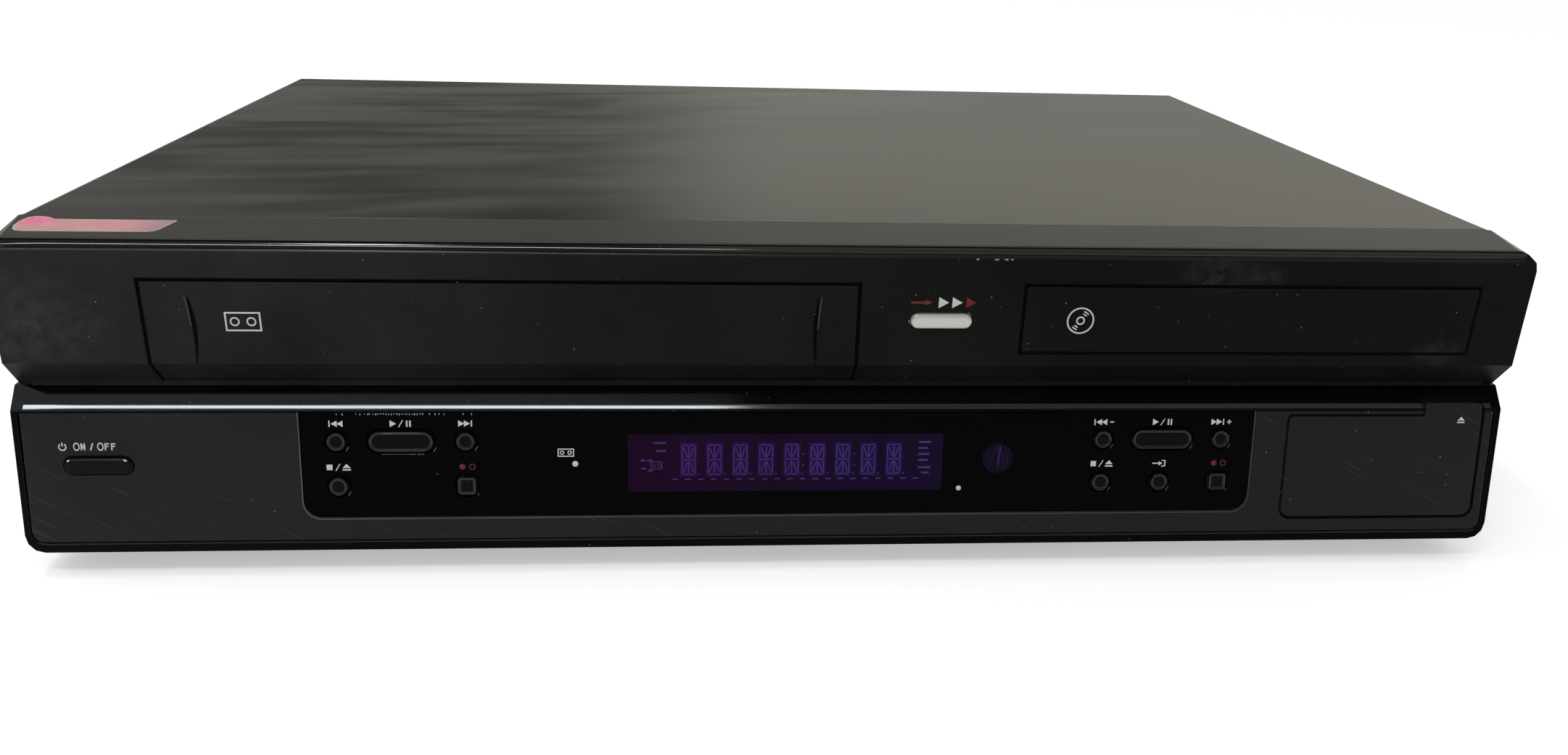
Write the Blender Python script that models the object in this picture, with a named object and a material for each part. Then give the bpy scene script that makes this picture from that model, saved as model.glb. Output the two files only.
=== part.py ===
"""Disc and video cassette combination player, full-width, with a front flip door.

Pieces are drawn in millimetre-named sizes in a sketch frame: x runs to the right,
y runs from the upper front face (y = 0) to the back, z runs up from the floor.
An empty carries the whole player so that the origin ends up on the floor under its middle.
The lower front leans back, so its pieces are drawn in a leaning frame of their own.
"""
import math

import bmesh
import bpy
from mathutils import Matrix, Vector

MM = 0.001
DEGREE = math.pi / 180

# Clearance between pieces, sinking of a joined part into its base, and overrun of a cut
GAP = 0.3 * MM
OVERLAP = 0.5 * MM
OVERRUN = 5 * MM

# Across the player: the cassette holder and the disc tray set the openings, the margins the rest
HOLDER_HALF = 95.6 * MM
TRAY_HALF = 63 * MM
DOOR_UNDERCUT = 0.5 * MM
TRAY_FRONT_REACH = 2.75 * MM
LEFT_MARGIN = 41.8 * MM
MIDDLE_SPACE = 47.5 * MM
RIGHT_MARGIN = 19 * MM
FACE_TAPER = 3.2 * MM
LOWER_TAPER = 1 * MM
DOOR_WIDTH = 2 * (HOLDER_HALF - DOOR_UNDERCUT)
TRAY_FRONT_WIDTH = 2 * (TRAY_HALF + TRAY_FRONT_REACH)
PLAYER_WIDTH = LEFT_MARGIN + DOOR_WIDTH + MIDDLE_SPACE + TRAY_FRONT_WIDTH + RIGHT_MARGIN
FACE_WIDTH = PLAYER_WIDTH - 2 * FACE_TAPER
LOWER_WIDTH = PLAYER_WIDTH - 2 * LOWER_TAPER
DOOR_LEFT = LEFT_MARGIN - PLAYER_WIDTH / 2
DOOR_RIGHT = DOOR_LEFT + DOOR_WIDTH
TRAY_FRONT_LEFT = DOOR_RIGHT + MIDDLE_SPACE
TRAY_FRONT_RIGHT = TRAY_FRONT_LEFT + TRAY_FRONT_WIDTH
DECK_MIDDLE = DOOR_LEFT + DOOR_WIDTH / 2
LOADER_MIDDLE = TRAY_FRONT_LEFT + TRAY_FRONT_WIDTH / 2

# Up the player: feet, lower front, shoulder, bevel, upper face and its chamfer
FOOT_HEIGHT = 8 * MM
LOWER_HEIGHT = 40.1 * MM
SHOULDER_RISE = 5.8 * MM
BEVEL_HEIGHT = 9.4 * MM
TRAY_FRONT_RISE = 4.1 * MM
TRAY_FRONT_HEIGHT = 18.9 * MM
DOOR_TOP_DROP = 8.2 * MM
CHAMFER_RISE = 2.1 * MM
CHAMFER_DROP = 0.4 * MM
SHOULDER_FOOT = FOOT_HEIGHT + LOWER_HEIGHT
NOTCH_HEIGHT = SHOULDER_FOOT + SHOULDER_RISE
FACE_BOTTOM = NOTCH_HEIGHT + BEVEL_HEIGHT
TRAY_FRONT_BOTTOM = FACE_BOTTOM + TRAY_FRONT_RISE
TRAY_FRONT_TOP = TRAY_FRONT_BOTTOM + TRAY_FRONT_HEIGHT
DOOR_TOP = TRAY_FRONT_TOP
FACE_TOP = DOOR_TOP + DOOR_TOP_DROP
PLAYER_HEIGHT = FACE_TOP + CHAMFER_RISE + CHAMFER_DROP

# Along the player: front mouldings, cassette holder and its travel, head drum, rear connections
SEAM = 27.7 * MM
DECK_SETBACK = 6.3 * MM
HOLDER_SETBACK = 2 * MM
HOLDER_LENGTH = 50 * MM
HOLDER_IN = 55 * MM
DRUM_SETBACK = 1.5 * MM
DRUM_RADIUS = 31 * MM
DECK_TAIL = 27.5 * MM
REAR_SPACE = 62.3 * MM
DECK_FRONT = SEAM + DECK_SETBACK
HOLDER_FRONT = DECK_FRONT + HOLDER_SETBACK
HOLDER_BACK = HOLDER_FRONT + HOLDER_LENGTH
DRUM_Y = HOLDER_BACK + HOLDER_IN + DRUM_SETBACK + DRUM_RADIUS
DECK_BACK = DRUM_Y + DRUM_RADIUS + DECK_TAIL
COVER_BACK = DECK_BACK + REAR_SPACE

# Front profile, from the top strip down to the lower lip
STRIP_THICKNESS = 2.2 * MM
GROOVE_WIDTH = 0.4 * MM
FACE_CHAMFER = 2.2 * MM
NOTCH_DEPTH = 8.2 * MM
SHOULDER_FRONT = 3.04 * MM
LOWER_LEAN = 9.75 * DEGREE
SIDE_ROUND_FRONT = 5 * MM
SIDE_ROUND_BACK = 0.8 * MM
LOWER_CORNER = 5 * MM
FACE_WALL = 2.5 * MM
RIM_WIDTH = 1.6 * MM
SHELF_THICKNESS = 2.2 * MM
LIP_HEIGHT = 2.3 * MM

# Sheet steel of the case
COVER_STEEL = 0.9 * MM
COVER_BEND = 2 * MM
PAN_STEEL = 1 * MM
PAN_WALL_HEIGHT = 9 * MM
PANEL_STEEL = 1 * MM
PANEL_INSET = 0.6 * MM
VENT_LENGTH = 26 * MM
VENT_WIDTH = 2.6 * MM
VENT_PITCH = 7.5 * MM
SIDE_VENT_COUNT = 9
SIDE_VENT_SETBACK = 122.3 * MM
SIDE_VENT_DROP = 37 * MM
FLOOR_VENT_SETBACK = 102.3 * MM
SIDE_VENT_START = SEAM + SIDE_VENT_SETBACK
SIDE_VENT_HEIGHT = PLAYER_HEIGHT - SIDE_VENT_DROP
FLOOR_VENT_COUNT = 8
FLOOR_VENT_START = SEAM + FLOOR_VENT_SETBACK

# Feet
FOOT_RADIUS = 17 * MM
FOOT_NECK = 15 * MM
FOOT_PAD = 2 * MM
FOOT_SIDE_INSET = 50 * MM
FOOT_FRONT_INSET = 24.3 * MM
FOOT_BACK_INSET = 44.3 * MM
FOOT_PLACE_X = PLAYER_WIDTH / 2 - FOOT_SIDE_INSET
FOOT_FRONT_Y = SEAM + FOOT_FRONT_INSET
FOOT_BACK_Y = COVER_BACK - FOOT_BACK_INSET

# Cassette door
DOOR_FOOT_RISE = 2.5 * MM
DOOR_BOTTOM = NOTCH_HEIGHT + DOOR_FOOT_RISE
DOOR_WALL = 2 * MM
DOOR_PIVOT_Y = 3.2 * MM
DOOR_PIVOT_DROP = 1.9 * MM
DOOR_PIVOT_Z = DOOR_TOP - DOOR_PIVOT_DROP
DOOR_PIN = 1.1 * MM
DOOR_BOSS = 1.7 * MM
DOOR_BOSS_LENGTH = 6 * MM
DOOR_PIN_LENGTH = 3.4 * MM
EAR_THICKNESS = 4 * MM
EAR_HEIGHT = 6.5 * MM
EAR_DEPTH = 5.5 * MM
LIP_FLANGE_DEPTH = 5.8 * MM
LIP_FLANGE_THICKNESS = 1.6 * MM

# Disc tray front
TRAY_FRONT_THICKNESS = 2.6 * MM

# Copy button
COPY_DROP = 9.9 * MM
COPY_CENTRE_X = (DOOR_RIGHT + TRAY_FRONT_LEFT) / 2
COPY_CENTRE_Z = DOOR_TOP - COPY_DROP
COPY_WIDTH = 17.8 * MM
COPY_HEIGHT = 4.7 * MM
COPY_PROUD = 1.3 * MM
COPY_TRAVEL = 0.8 * MM

# Lower front panel, in the leaning frame: x, depth behind its face, drop down its slope
PANEL_THICKNESS = 2.2 * MM
PANEL_TOP = 0.6 * MM
PANEL_FOOT = 3.1 * MM
PANEL_CORNER = 3 * MM
PANEL_BOTTOM = (SHOULDER_FOOT - FOOT_HEIGHT) / math.cos(LOWER_LEAN) - PANEL_FOOT
WINDOW_INSET = 76.6 * MM
WINDOW_FOOT = 6.9 * MM
WINDOW_CORNER = 4.6 * MM
WINDOW_LEFT = WINDOW_INSET - LOWER_WIDTH / 2
WINDOW_RIGHT = -WINDOW_LEFT
WINDOW_BOTTOM = PANEL_BOTTOM - WINDOW_FOOT
WINDOW_THICKNESS = 2 * MM
SHOULDER_LIP = 0.3 * MM

# Flip door over the front jacks
FLIP_INSET = 5.2 * MM
FLIP_PLACE_INSET = 11 * MM
FLIP_TAB_WIDTH = 18.4 * MM
FLIP_TOP = 1.9 * MM
FLIP_FOOT = 4.1 * MM
FLIP_CORNER = 3.2 * MM
FLIP_LEFT = WINDOW_RIGHT + FLIP_PLACE_INSET
FLIP_RIGHT = LOWER_WIDTH / 2 - FLIP_INSET
FLIP_TAB_LEFT = FLIP_RIGHT - FLIP_TAB_WIDTH
FLIP_BOTTOM = PANEL_BOTTOM - FLIP_FOOT
FLIP_TAB_RISE = 4.1 * MM
FLIP_THICKNESS = 2.2 * MM
FLIP_BEVEL = 0.5 * MM
FLIP_PIVOT_DEPTH = 1.3 * MM
FLIP_PIVOT_MARGIN = 0.2 * MM
FLIP_PIVOT_RISE = FLIP_CORNER + FLIP_PIVOT_MARGIN
FLIP_PIN = 0.7 * MM
FLIP_PIN_LENGTH = 1.5 * MM
POCKET_DEPTH = 11 * MM
POCKET_WALL = 1.2 * MM
POCKET_MARGIN = 0.5 * MM

# Buttons of the lower front
BUTTON_PROUD = 0.9 * MM
BUTTON_TRAVEL = 0.7 * MM
BUTTON_FLANGE = 0.9 * MM
BUTTON_FLANGE_THICKNESS = 0.8 * MM
BUTTON_BEVEL = 0.6 * MM
STEM_RADIUS = 1.2 * MM
ROUND_RADIUS = 3.05 * MM
SQUARE_HALF = 3.05 * MM
SQUARE_CORNER = 1.4 * MM
BAR_LENGTH = 18.8 * MM
BAR_HEIGHT = 6.7 * MM
POWER_LENGTH = 18.6 * MM
POWER_HEIGHT = 5.1 * MM
POWER_PROUD = 1.3 * MM
UPPER_ROW_SHARE = 0.287
LOWER_ROW_SHARE = 0.711
POWER_SHARE = 0.412
UPPER_ROW = WINDOW_BOTTOM * UPPER_ROW_SHARE
LOWER_ROW = WINDOW_BOTTOM * LOWER_ROW_SHARE
POWER_DROP = PANEL_BOTTOM * POWER_SHARE
POWER_INSET = 21.8 * MM
BUTTON_INSET = 9.7 * MM
BUTTON_PITCH = 17.8 * MM
POWER_X = POWER_INSET - LOWER_WIDTH / 2
TAPE_BACK_X = WINDOW_LEFT + BUTTON_INSET
TAPE_PLAY_X = TAPE_BACK_X + BUTTON_PITCH
TAPE_FORWARD_X = TAPE_PLAY_X + BUTTON_PITCH
DISC_UP_X = WINDOW_RIGHT - BUTTON_INSET
DISC_PLAY_X = DISC_UP_X - BUTTON_PITCH
DISC_DOWN_X = DISC_PLAY_X - BUTTON_PITCH

# Front board, display tube and front jacks
BOARD_STEEL = 1.6 * MM
FRONT_BOARD_DEPTH = 11.5 * MM
FRONT_BOARD_MARGIN = 3.3 * MM
FRONT_BOARD_TOP = 4.5 * MM
FRONT_BOARD_FOOT = 2.4 * MM
FRONT_BOARD_LEFT = POWER_X - POWER_LENGTH / 2 - FRONT_BOARD_MARGIN
FRONT_BOARD_RIGHT = WINDOW_RIGHT + FRONT_BOARD_MARGIN
FRONT_BOARD_BOTTOM = PANEL_BOTTOM - FRONT_BOARD_FOOT
KEY_HALF = 3 * MM
KEY_HEIGHT = 3.5 * MM
BOARD_BOSS_RADIUS = 2 * MM
BOARD_BOSS_FOOT = 4.2 * MM
BOARD_BOSS_DROP = PANEL_BOTTOM - BOARD_BOSS_FOOT
TAPE_BOSS_X = (TAPE_FORWARD_X + TAPE_PLAY_X) / 2
DISC_BOSS_X = (DISC_DOWN_X + DISC_PLAY_X) / 2
TUBE_HALF = 51 * MM
TUBE_TOP = 5 * MM
TUBE_FOOT_RISE = 10.6 * MM
TUBE_LEFT = -TUBE_HALF
TUBE_RIGHT = TUBE_HALF
TUBE_BOTTOM = PANEL_BOTTOM - TUBE_FOOT_RISE
TUBE_FRONT = 2.6 * MM
TUBE_BACK = 9.6 * MM
TUBE_FOOT = 1.5 * MM
JACK_RADIUS = 4.1 * MM
JACK_BORE = 3 * MM
JACK_LENGTH = 8 * MM
JACK_PLACE_SHARES = (0.17, 0.4, 0.63)
S_JACK_PLACE_SHARE = 0.87
JACK_DROP = (FLIP_TOP + FLIP_BOTTOM) / 2
JACK_BODY_HALF = 5.5 * MM
S_JACK_RADIUS = 5 * MM

# Tape deck
CARRIAGE_GAP = 0.5 * MM
CARRIAGE_SHEET = 1.2 * MM
DECK_STEEL = 1.2 * MM
DECK_SIDE_GAP = 0.7 * MM
DECK_HALF = HOLDER_HALF + CARRIAGE_GAP + CARRIAGE_SHEET + DECK_SIDE_GAP + DECK_STEEL
DECK_RISE = 23.2 * MM
DECK_TOP = FOOT_HEIGHT + DECK_RISE
DECK_WALL_LENGTH = 132 * MM
DECK_WALL_BACK = DECK_FRONT + DECK_WALL_LENGTH
DECK_LEG = 7 * MM
HOLDER_SHEET = 1 * MM
HOLDER_SINK = 0.4 * MM
HOLDER_HEIGHT = 28 * MM
HOLDER_FLOOR = DOOR_BOTTOM - HOLDER_SINK
HOLDER_TOP = HOLDER_FLOOR + HOLDER_HEIGHT
HOLDER_LEDGE = 13 * MM
HOLDER_STOP = 14 * MM
HOLDER_NOTCH = 6 * MM
HOLDER_LID_BACK = HOLDER_BACK - HOLDER_NOTCH
HOLDER_DOWN = 23.5 * MM
HOLDER_PIN = 1.6 * MM
HOLDER_PIN_LENGTH = 1.4 * MM
HOLDER_PIN_INSET = 14 * MM
HOLDER_PIN_BACK_INSET = 8 * MM
HOLDER_PIN_FRONT = HOLDER_FRONT + HOLDER_PIN_INSET
HOLDER_PIN_BACK = HOLDER_BACK - HOLDER_PIN_BACK_INSET
HOLDER_PIN_Z = (HOLDER_FLOOR + HOLDER_TOP) / 2
CARRIAGE_SETBACK = 4 * MM
CARRIAGE_OVERHANG = 6 * MM
CARRIAGE_RISE = 8.8 * MM
CARRIAGE_HEADROOM = 3.6 * MM
CARRIAGE_FRONT = HOLDER_FRONT + CARRIAGE_SETBACK
CARRIAGE_BACK = HOLDER_BACK + CARRIAGE_OVERHANG
CARRIAGE_LOW = DECK_TOP + CARRIAGE_RISE
CARRIAGE_TOP = HOLDER_TOP + CARRIAGE_HEADROOM
CARRIAGE_BAR_SETBACK = 10 * MM
CARRIAGE_BAR_WIDTH = 14 * MM
CARRIAGE_BAR_FRONT = HOLDER_PIN_FRONT + CARRIAGE_BAR_SETBACK
CARRIAGE_BAR_BACK = CARRIAGE_BAR_FRONT + CARRIAGE_BAR_WIDTH
CARRIAGE_BAR_SHEET = 1.5 * MM
DECK_WALL_HEADROOM = 0.4 * MM
DECK_WALL_TOP = CARRIAGE_TOP + DECK_WALL_HEADROOM
RAIL_RISE = 4 * MM
RAIL_THICKNESS = 3 * MM
RAIL_LOW = CARRIAGE_LOW + RAIL_RISE
RAIL_HIGH = RAIL_LOW + RAIL_THICKNESS
RAIL_LEFT_REACH = 4.2 * MM
LOADING_MODULE = 1 * MM
LOADING_TEETH = 18
LOADING_REACH = 2.9 * MM
LOADING_PITCH_X = DECK_MIDDLE + DECK_HALF + LOADING_REACH
LOADING_Y = CARRIAGE_BACK
RACK_SETBACK = 2.5 * MM
RACK_OVERHANG = 5 * MM
RACK_FRONT = DECK_FRONT + RACK_SETBACK
RACK_BACK = CARRIAGE_BACK + RACK_OVERHANG

# Tape path
DRUM_TILT = 6 * DEGREE
DRUM_RISE = 4.8 * MM
DRUM_HALF_HEIGHT = 19 * MM
DRUM_BASE_LOW = DECK_TOP + DRUM_RISE
DRUM_SPLIT = DRUM_BASE_LOW + DRUM_HALF_HEIGHT
DRUM_TOP = DRUM_SPLIT + DRUM_HALF_HEIGHT
DRUM_SHAFT = 3 * MM
DRUM_WALL = 6 * MM
DRUM_FOOT_HALF = 20 * MM
PINCH_PIVOT_INSET = 17.1 * MM
PINCH_PIVOT_AHEAD = 13.5 * MM
PINCH_REACH = 14 * MM
PINCH_FORWARD = 22 * MM
CAPSTAN_REACH = 14 * MM
CAPSTAN_BEHIND = 14 * MM
PINCH_PIVOT_X = DECK_MIDDLE + DECK_HALF - PINCH_PIVOT_INSET
PINCH_PIVOT_Y = DRUM_Y - PINCH_PIVOT_AHEAD
PINCH_AXLE_X = PINCH_PIVOT_X - PINCH_REACH
PINCH_AXLE_Y = PINCH_PIVOT_Y - PINCH_FORWARD
PINCH_ARM_RISE = 8.8 * MM
PINCH_ARM_SHEET = 2 * MM
PINCH_ARM_LOW = DECK_TOP + PINCH_ARM_RISE
PINCH_ARM_HIGH = PINCH_ARM_LOW + PINCH_ARM_SHEET
PINCH_ARM_HALF = 3.4 * MM
PINCH_AXLE = 1 * MM
PINCH_ROLLER = 6.5 * MM
PINCH_ROLLER_HEIGHT = 11 * MM
PINCH_ROLLER_TOP = PINCH_ARM_HIGH + PINCH_ROLLER_HEIGHT
CAPSTAN_X = PINCH_AXLE_X - CAPSTAN_REACH
CAPSTAN_Y = PINCH_AXLE_Y + CAPSTAN_BEHIND
CAPSTAN_RADIUS = 2 * MM
CAPSTAN_RISE = 28.8 * MM
CAPSTAN_TOP = DECK_TOP + CAPSTAN_RISE
FLYWHEEL_RADIUS = 20 * MM
FLYWHEEL_DROP = 4.2 * MM
FLYWHEEL_THICKNESS = 6 * MM
FLYWHEEL_HIGH = DECK_TOP - FLYWHEEL_DROP
FLYWHEEL_LOW = FLYWHEEL_HIGH - FLYWHEEL_THICKNESS
POST_RADIUS = 2 * MM
REEL_HALF_SPAN = 46 * MM
REEL_AHEAD = 2 * MM
REEL_Y = HOLDER_BACK - REEL_AHEAD
REEL_RADIUS = 18 * MM
REEL_RISE = 1 * MM
REEL_HEIGHT = 12.8 * MM
REEL_LOW = DECK_TOP + REEL_RISE
REEL_TOP = REEL_LOW + REEL_HEIGHT
REEL_DISC = 3 * MM
REEL_HUB = 5.5 * MM
REEL_SPLINES = 6
REEL_SPLINE_REACH = 2.2 * MM
REEL_SPLINE_HALF = 0.7 * MM
GUIDE_PIN = 1.4 * MM
GUIDE_BASE = 4 * MM
GUIDE_POST = 2 * MM
GUIDE_CAP = 3 * MM
GUIDE_HEIGHT = 18.8 * MM
GUIDE_TOP = DECK_TOP + GUIDE_HEIGHT
GUIDE_REST_OFFSET = 26 * MM
GUIDE_END_OFFSET = 48 * MM
GUIDE_REST_AHEAD = 39.5 * MM
GUIDE_END_BEHIND = 6.5 * MM
GUIDE_REST_Y = DRUM_Y - GUIDE_REST_AHEAD
GUIDE_END_Y = DRUM_Y + GUIDE_END_BEHIND

# Disc loader
LOADER_FRONT = 13.2 * MM
LOADER_CLEARANCE = 0.5 * MM
LOADER_LOW = NOTCH_HEIGHT + LOADER_CLEARANCE
LOADER_FLOOR = 2 * MM
LOADER_WALL = 2 * MM
LOADER_LEG = 8 * MM
LOADER_LEG_SETBACK = 27.7 * MM
TRAY_FRONT = 2.9 * MM
TRAY_LENGTH = 182.1 * MM
TRAY_BACK = TRAY_FRONT + TRAY_LENGTH
LOADER_OVERHANG = 20 * MM
LOADER_BACK = TRAY_BACK + LOADER_OVERHANG
TRAY_RISE = 4.6 * MM
TRAY_DEPTH = 7 * MM
TRAY_LOW = TRAY_FRONT_BOTTOM + TRAY_RISE
TRAY_HIGH = TRAY_LOW + TRAY_DEPTH
TRAY_SKIN = 1.8 * MM
TRAY_RIB = 2.4 * MM
TRAY_TRAVEL = 138 * MM
LOADER_HEADROOM = 5 * MM
LOADER_TOP = TRAY_HIGH + LOADER_HEADROOM
DISC_MARGIN = 6.6 * MM
DISC_WELL = 60.5 * MM
DISC_Y = TRAY_FRONT + DISC_MARGIN + DISC_WELL
DISC_WELL_DEPTH = 2.4 * MM
DISC_WELL_FLOOR = TRAY_HIGH - DISC_WELL_DEPTH
SMALL_WELL = 41 * MM
SMALL_WELL_DEPTH = 1.4 * MM
SMALL_WELL_FLOOR = DISC_WELL_FLOOR - SMALL_WELL_DEPTH
SLOT_HALF = 17 * MM
SLOT_AHEAD = 20 * MM
SLOT_FRONT = DISC_Y - SLOT_AHEAD
LEDGE_WIDTH = 4 * MM
LEDGE_THICKNESS = 2 * MM
HOOK_THICKNESS = 1.8 * MM
RACK_RISE = 0.2 * MM
RACK_LOW = TRAY_FRONT_BOTTOM + RACK_RISE
RACK_INSET = 9 * MM
RACK_LINE = RACK_INSET - TRAY_HALF
RACK_SPINE = 2.6 * MM
TRAY_MODULE = 1.25 * MM
TRAY_PINION_TEETH = 20
PINION_SETBACK = 26.8 * MM
PINION_Y = LOADER_FRONT + PINION_SETBACK
PINION_SINK = 0.6 * MM
PINION_CLEARANCE = 0.8 * MM
PINION_LOW = RACK_LOW - PINION_SINK
PINION_HIGH = TRAY_LOW - PINION_CLEARANCE
PINION_BORE = 2 * MM
MOTOR_RADIUS = 11 * MM
MOTOR_HEIGHT = 10 * MM
MOTOR_SHAFT = 1.5 * MM
BRIDGE_HALF = 20 * MM
BRIDGE_FRONT = DISC_Y - BRIDGE_HALF
BRIDGE_BACK = DISC_Y + BRIDGE_HALF
BRIDGE_SHEET = 1.2 * MM
CLAMP_HOLE = 15.5 * MM
CLAMP_FLANGE = 18 * MM
CLAMP_NECK = 14.6 * MM
CLAMP_DROP = 2.4 * MM
CLAMP_HEIGHT = 6.8 * MM
CLAMP_LOW = LOADER_TOP - CLAMP_DROP
CLAMP_TOP = CLAMP_LOW + CLAMP_HEIGHT
CLAMP_BORE = 8 * MM
TRAVERSE_HALF = 34 * MM
TRAVERSE_AHEAD = 20 * MM
TRAVERSE_BEHIND = 78 * MM
TRAVERSE_RISE = 3.6 * MM
TRAVERSE_SHEET = 2 * MM
TRAVERSE_FRONT = DISC_Y - TRAVERSE_AHEAD
TRAVERSE_HINGE_Y = DISC_Y + TRAVERSE_BEHIND
TRAVERSE_LOW = LOADER_LOW + TRAVERSE_RISE
TRAVERSE_HIGH = TRAVERSE_LOW + TRAVERSE_SHEET
TRAVERSE_HINGE_Z = (TRAVERSE_LOW + TRAVERSE_HIGH) / 2
TRAVERSE_DROP = 5 * DEGREE
TRAVERSE_PIN = 1.5 * MM
TRAVERSE_EAR = 5 * MM
SPINDLE_CAN = 13 * MM
SPINDLE_CAN_HEIGHT = 10 * MM
SPINDLE_CAN_TOP = TRAVERSE_HIGH + SPINDLE_CAN_HEIGHT
TURNTABLE_RADIUS = 14.5 * MM
TURNTABLE_RISE = 4 * MM
TURNTABLE_THICKNESS = 2.2 * MM
TURNTABLE_LOW = SPINDLE_CAN_TOP + TURNTABLE_RISE
TURNTABLE_TOP = TURNTABLE_LOW + TURNTABLE_THICKNESS
TURNTABLE_HUB = 7.3 * MM
TURNTABLE_HUB_HEIGHT = 2 * MM
TURNTABLE_HUB_TOP = TURNTABLE_TOP + TURNTABLE_HUB_HEIGHT
SLED_HALF = 22.5 * MM
SLED_BEHIND = 16 * MM
SLED_FRONT = DISC_Y + SLED_BEHIND
SLED_LENGTH = 20 * MM
SLED_HEIGHT = 13 * MM
SLED_DROP = 3 * MM
SLED_LOW = TRAVERSE_LOW - SLED_DROP
SLED_HIGH = SLED_LOW + SLED_HEIGHT
SLED_TRAVEL = 32 * MM
LENS_RADIUS = 4 * MM
LENS_RISE = 3 * MM
LENS_TOP = SLED_HIGH + LENS_RISE
ROD_RADIUS = 1.5 * MM
ROD_X = 27.5 * MM
ROD_RISE = 3 * MM
ROD_Z = TRAVERSE_HIGH + ROD_RISE
ROD_SETBACK = 10 * MM
ROD_AHEAD = 3 * MM
ROD_FRONT = DISC_Y + ROD_SETBACK
ROD_BACK = TRAVERSE_HINGE_Y - ROD_AHEAD

# Boards and rear connections
BOARD_RISE = 6 * MM
BOARD_BACK_INSET = 6.3 * MM
BOARD_LOW = FOOT_HEIGHT + BOARD_RISE
MAIN_HALF = 54.5 * MM
MAIN_SHIFT = 0.25 * MM
MAIN_SETBACK = 18.3 * MM
MAIN_LEFT = LOADER_MIDDLE + MAIN_SHIFT - MAIN_HALF
MAIN_RIGHT = LOADER_MIDDLE + MAIN_SHIFT + MAIN_HALF
MAIN_FRONT = SEAM + MAIN_SETBACK
MAIN_BACK = COVER_BACK - BOARD_BACK_INSET
POST_INSET = 8.5 * MM
CHIP_SIZE = 26 * MM
CHIP_HEIGHT = 6.5 * MM
CHIP_SETBACK = 39 * MM
MEMORY_WIDTH = 13 * MM
CAN_COUNT = 3
CAN_RADIUS = 4.3 * MM
CAN_HEIGHT = 13 * MM
CAN_PITCH = 15.6 * MM
CAN_INSET = 39 * MM
POWER_BOARD_INSET = 9 * MM
POWER_BOARD_LENGTH = 142 * MM
POWER_BOARD_SETBACK = 6 * MM
POWER_LEFT = POWER_BOARD_INSET - PLAYER_WIDTH / 2
POWER_RIGHT = POWER_LEFT + POWER_BOARD_LENGTH
POWER_FRONT = DECK_BACK + POWER_BOARD_SETBACK
POWER_BACK = MAIN_BACK
CORE_SETBACK = 60 * MM
CORE_WIDTH = 30 * MM
CORE_HALF = 14 * MM
CORE_HEIGHT = 28 * MM
SINK_SPACE = 14 * MM
SINK_THICKNESS = 4 * MM
SINK_HALF = 20 * MM
SINK_HEIGHT = 24 * MM
BULK_SPACE = 14 * MM
BULK_RADIUS = 9 * MM
BULK_HEIGHT = 20 * MM
STANDOFF_RADIUS = 3 * MM
TUNER_SPACE = 18 * MM
TUNER_WIDTH = 28 * MM
TUNER_SETBACK = 8 * MM
TUNER_RISE = 4 * MM
TUNER_HEIGHT = 64 * MM
TUNER_LEFT = POWER_RIGHT + TUNER_SPACE
TUNER_RIGHT = TUNER_LEFT + TUNER_WIDTH
TUNER_FRONT = DECK_BACK + TUNER_SETBACK
TUNER_LOW = FOOT_HEIGHT + TUNER_RISE
TUNER_HIGH = TUNER_LOW + TUNER_HEIGHT
AERIAL_RADIUS = 4.8 * MM
AERIAL_BORE = 1.6 * MM
AERIAL_REACH = 9.6 * MM
AERIAL_PITCH = 24 * MM
AERIAL_RISE = 20 * MM
AERIAL_FIRST_Z = TUNER_LOW + AERIAL_RISE
PHONO_COLUMNS = 4
PHONO_ROWS = 3
PHONO_PITCH = 14 * MM
PHONO_RISE = 14 * MM
PHONO_FIRST_X = MAIN_LEFT
PHONO_FIRST_Z = BOARD_LOW + PHONO_RISE
PHONO_REACH = 7 * MM
PHONO_BLOCK_DEPTH = 12 * MM
PHONO_MARGIN = 7 * MM
INLET_INSET = 18 * MM
INLET_RISE = 16 * MM
INLET_X = POWER_LEFT + INLET_INSET
INLET_Z = BOARD_LOW + INLET_RISE
INLET_WIDTH = 20 * MM
INLET_HEIGHT = 11 * MM
INLET_DEPTH = 14 * MM
INLET_FLANGE = 2.5 * MM
INLET_PIN = 1.2 * MM
INLET_PIN_SPREAD = 4.2 * MM
FAN_INSET = 13 * MM
FAN_DROP = 33 * MM
FAN_X = MAIN_RIGHT - FAN_INSET
FAN_Z = PLAYER_HEIGHT - FAN_DROP
FAN_SIZE = 40 * MM
FAN_DEPTH = 10 * MM
FAN_BORE = 18.8 * MM
FAN_HUB = 8.5 * MM
FAN_BLADES = 7
FAN_STRUT = 2.4 * MM
FAN_BLADE_TWIST = 30 * DEGREE
GRILLE_SLOTS = 6

# Facets
BUTTON_STEPS = 12
ROUND_STEPS = 16
FINE_STEPS = 36
CORNER_STEPS = 3
SMOOTH_ANGLE = 35 * DEGREE
PRESSURE_ANGLE = 20 * DEGREE
FLANK_POINTS = 3
TOOTH_BACKLASH = 0.3 * MM

SPAN_BACK = COVER_BACK + AERIAL_REACH
LOWER_SLOPE = (SHOULDER_FOOT - FOOT_HEIGHT) / math.cos(LOWER_LEAN)
SPAN_FRONT = SHOULDER_FRONT - LOWER_SLOPE * math.sin(LOWER_LEAN)
BEVEL_SLOPE = (FACE_BOTTOM - NOTCH_HEIGHT - GAP) / NOTCH_DEPTH
LEANING = Matrix.Translation((0, SHOULDER_FRONT, SHOULDER_FOOT)) @ Matrix.Rotation(-LOWER_LEAN, 4, "X")


# Shapes

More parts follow.
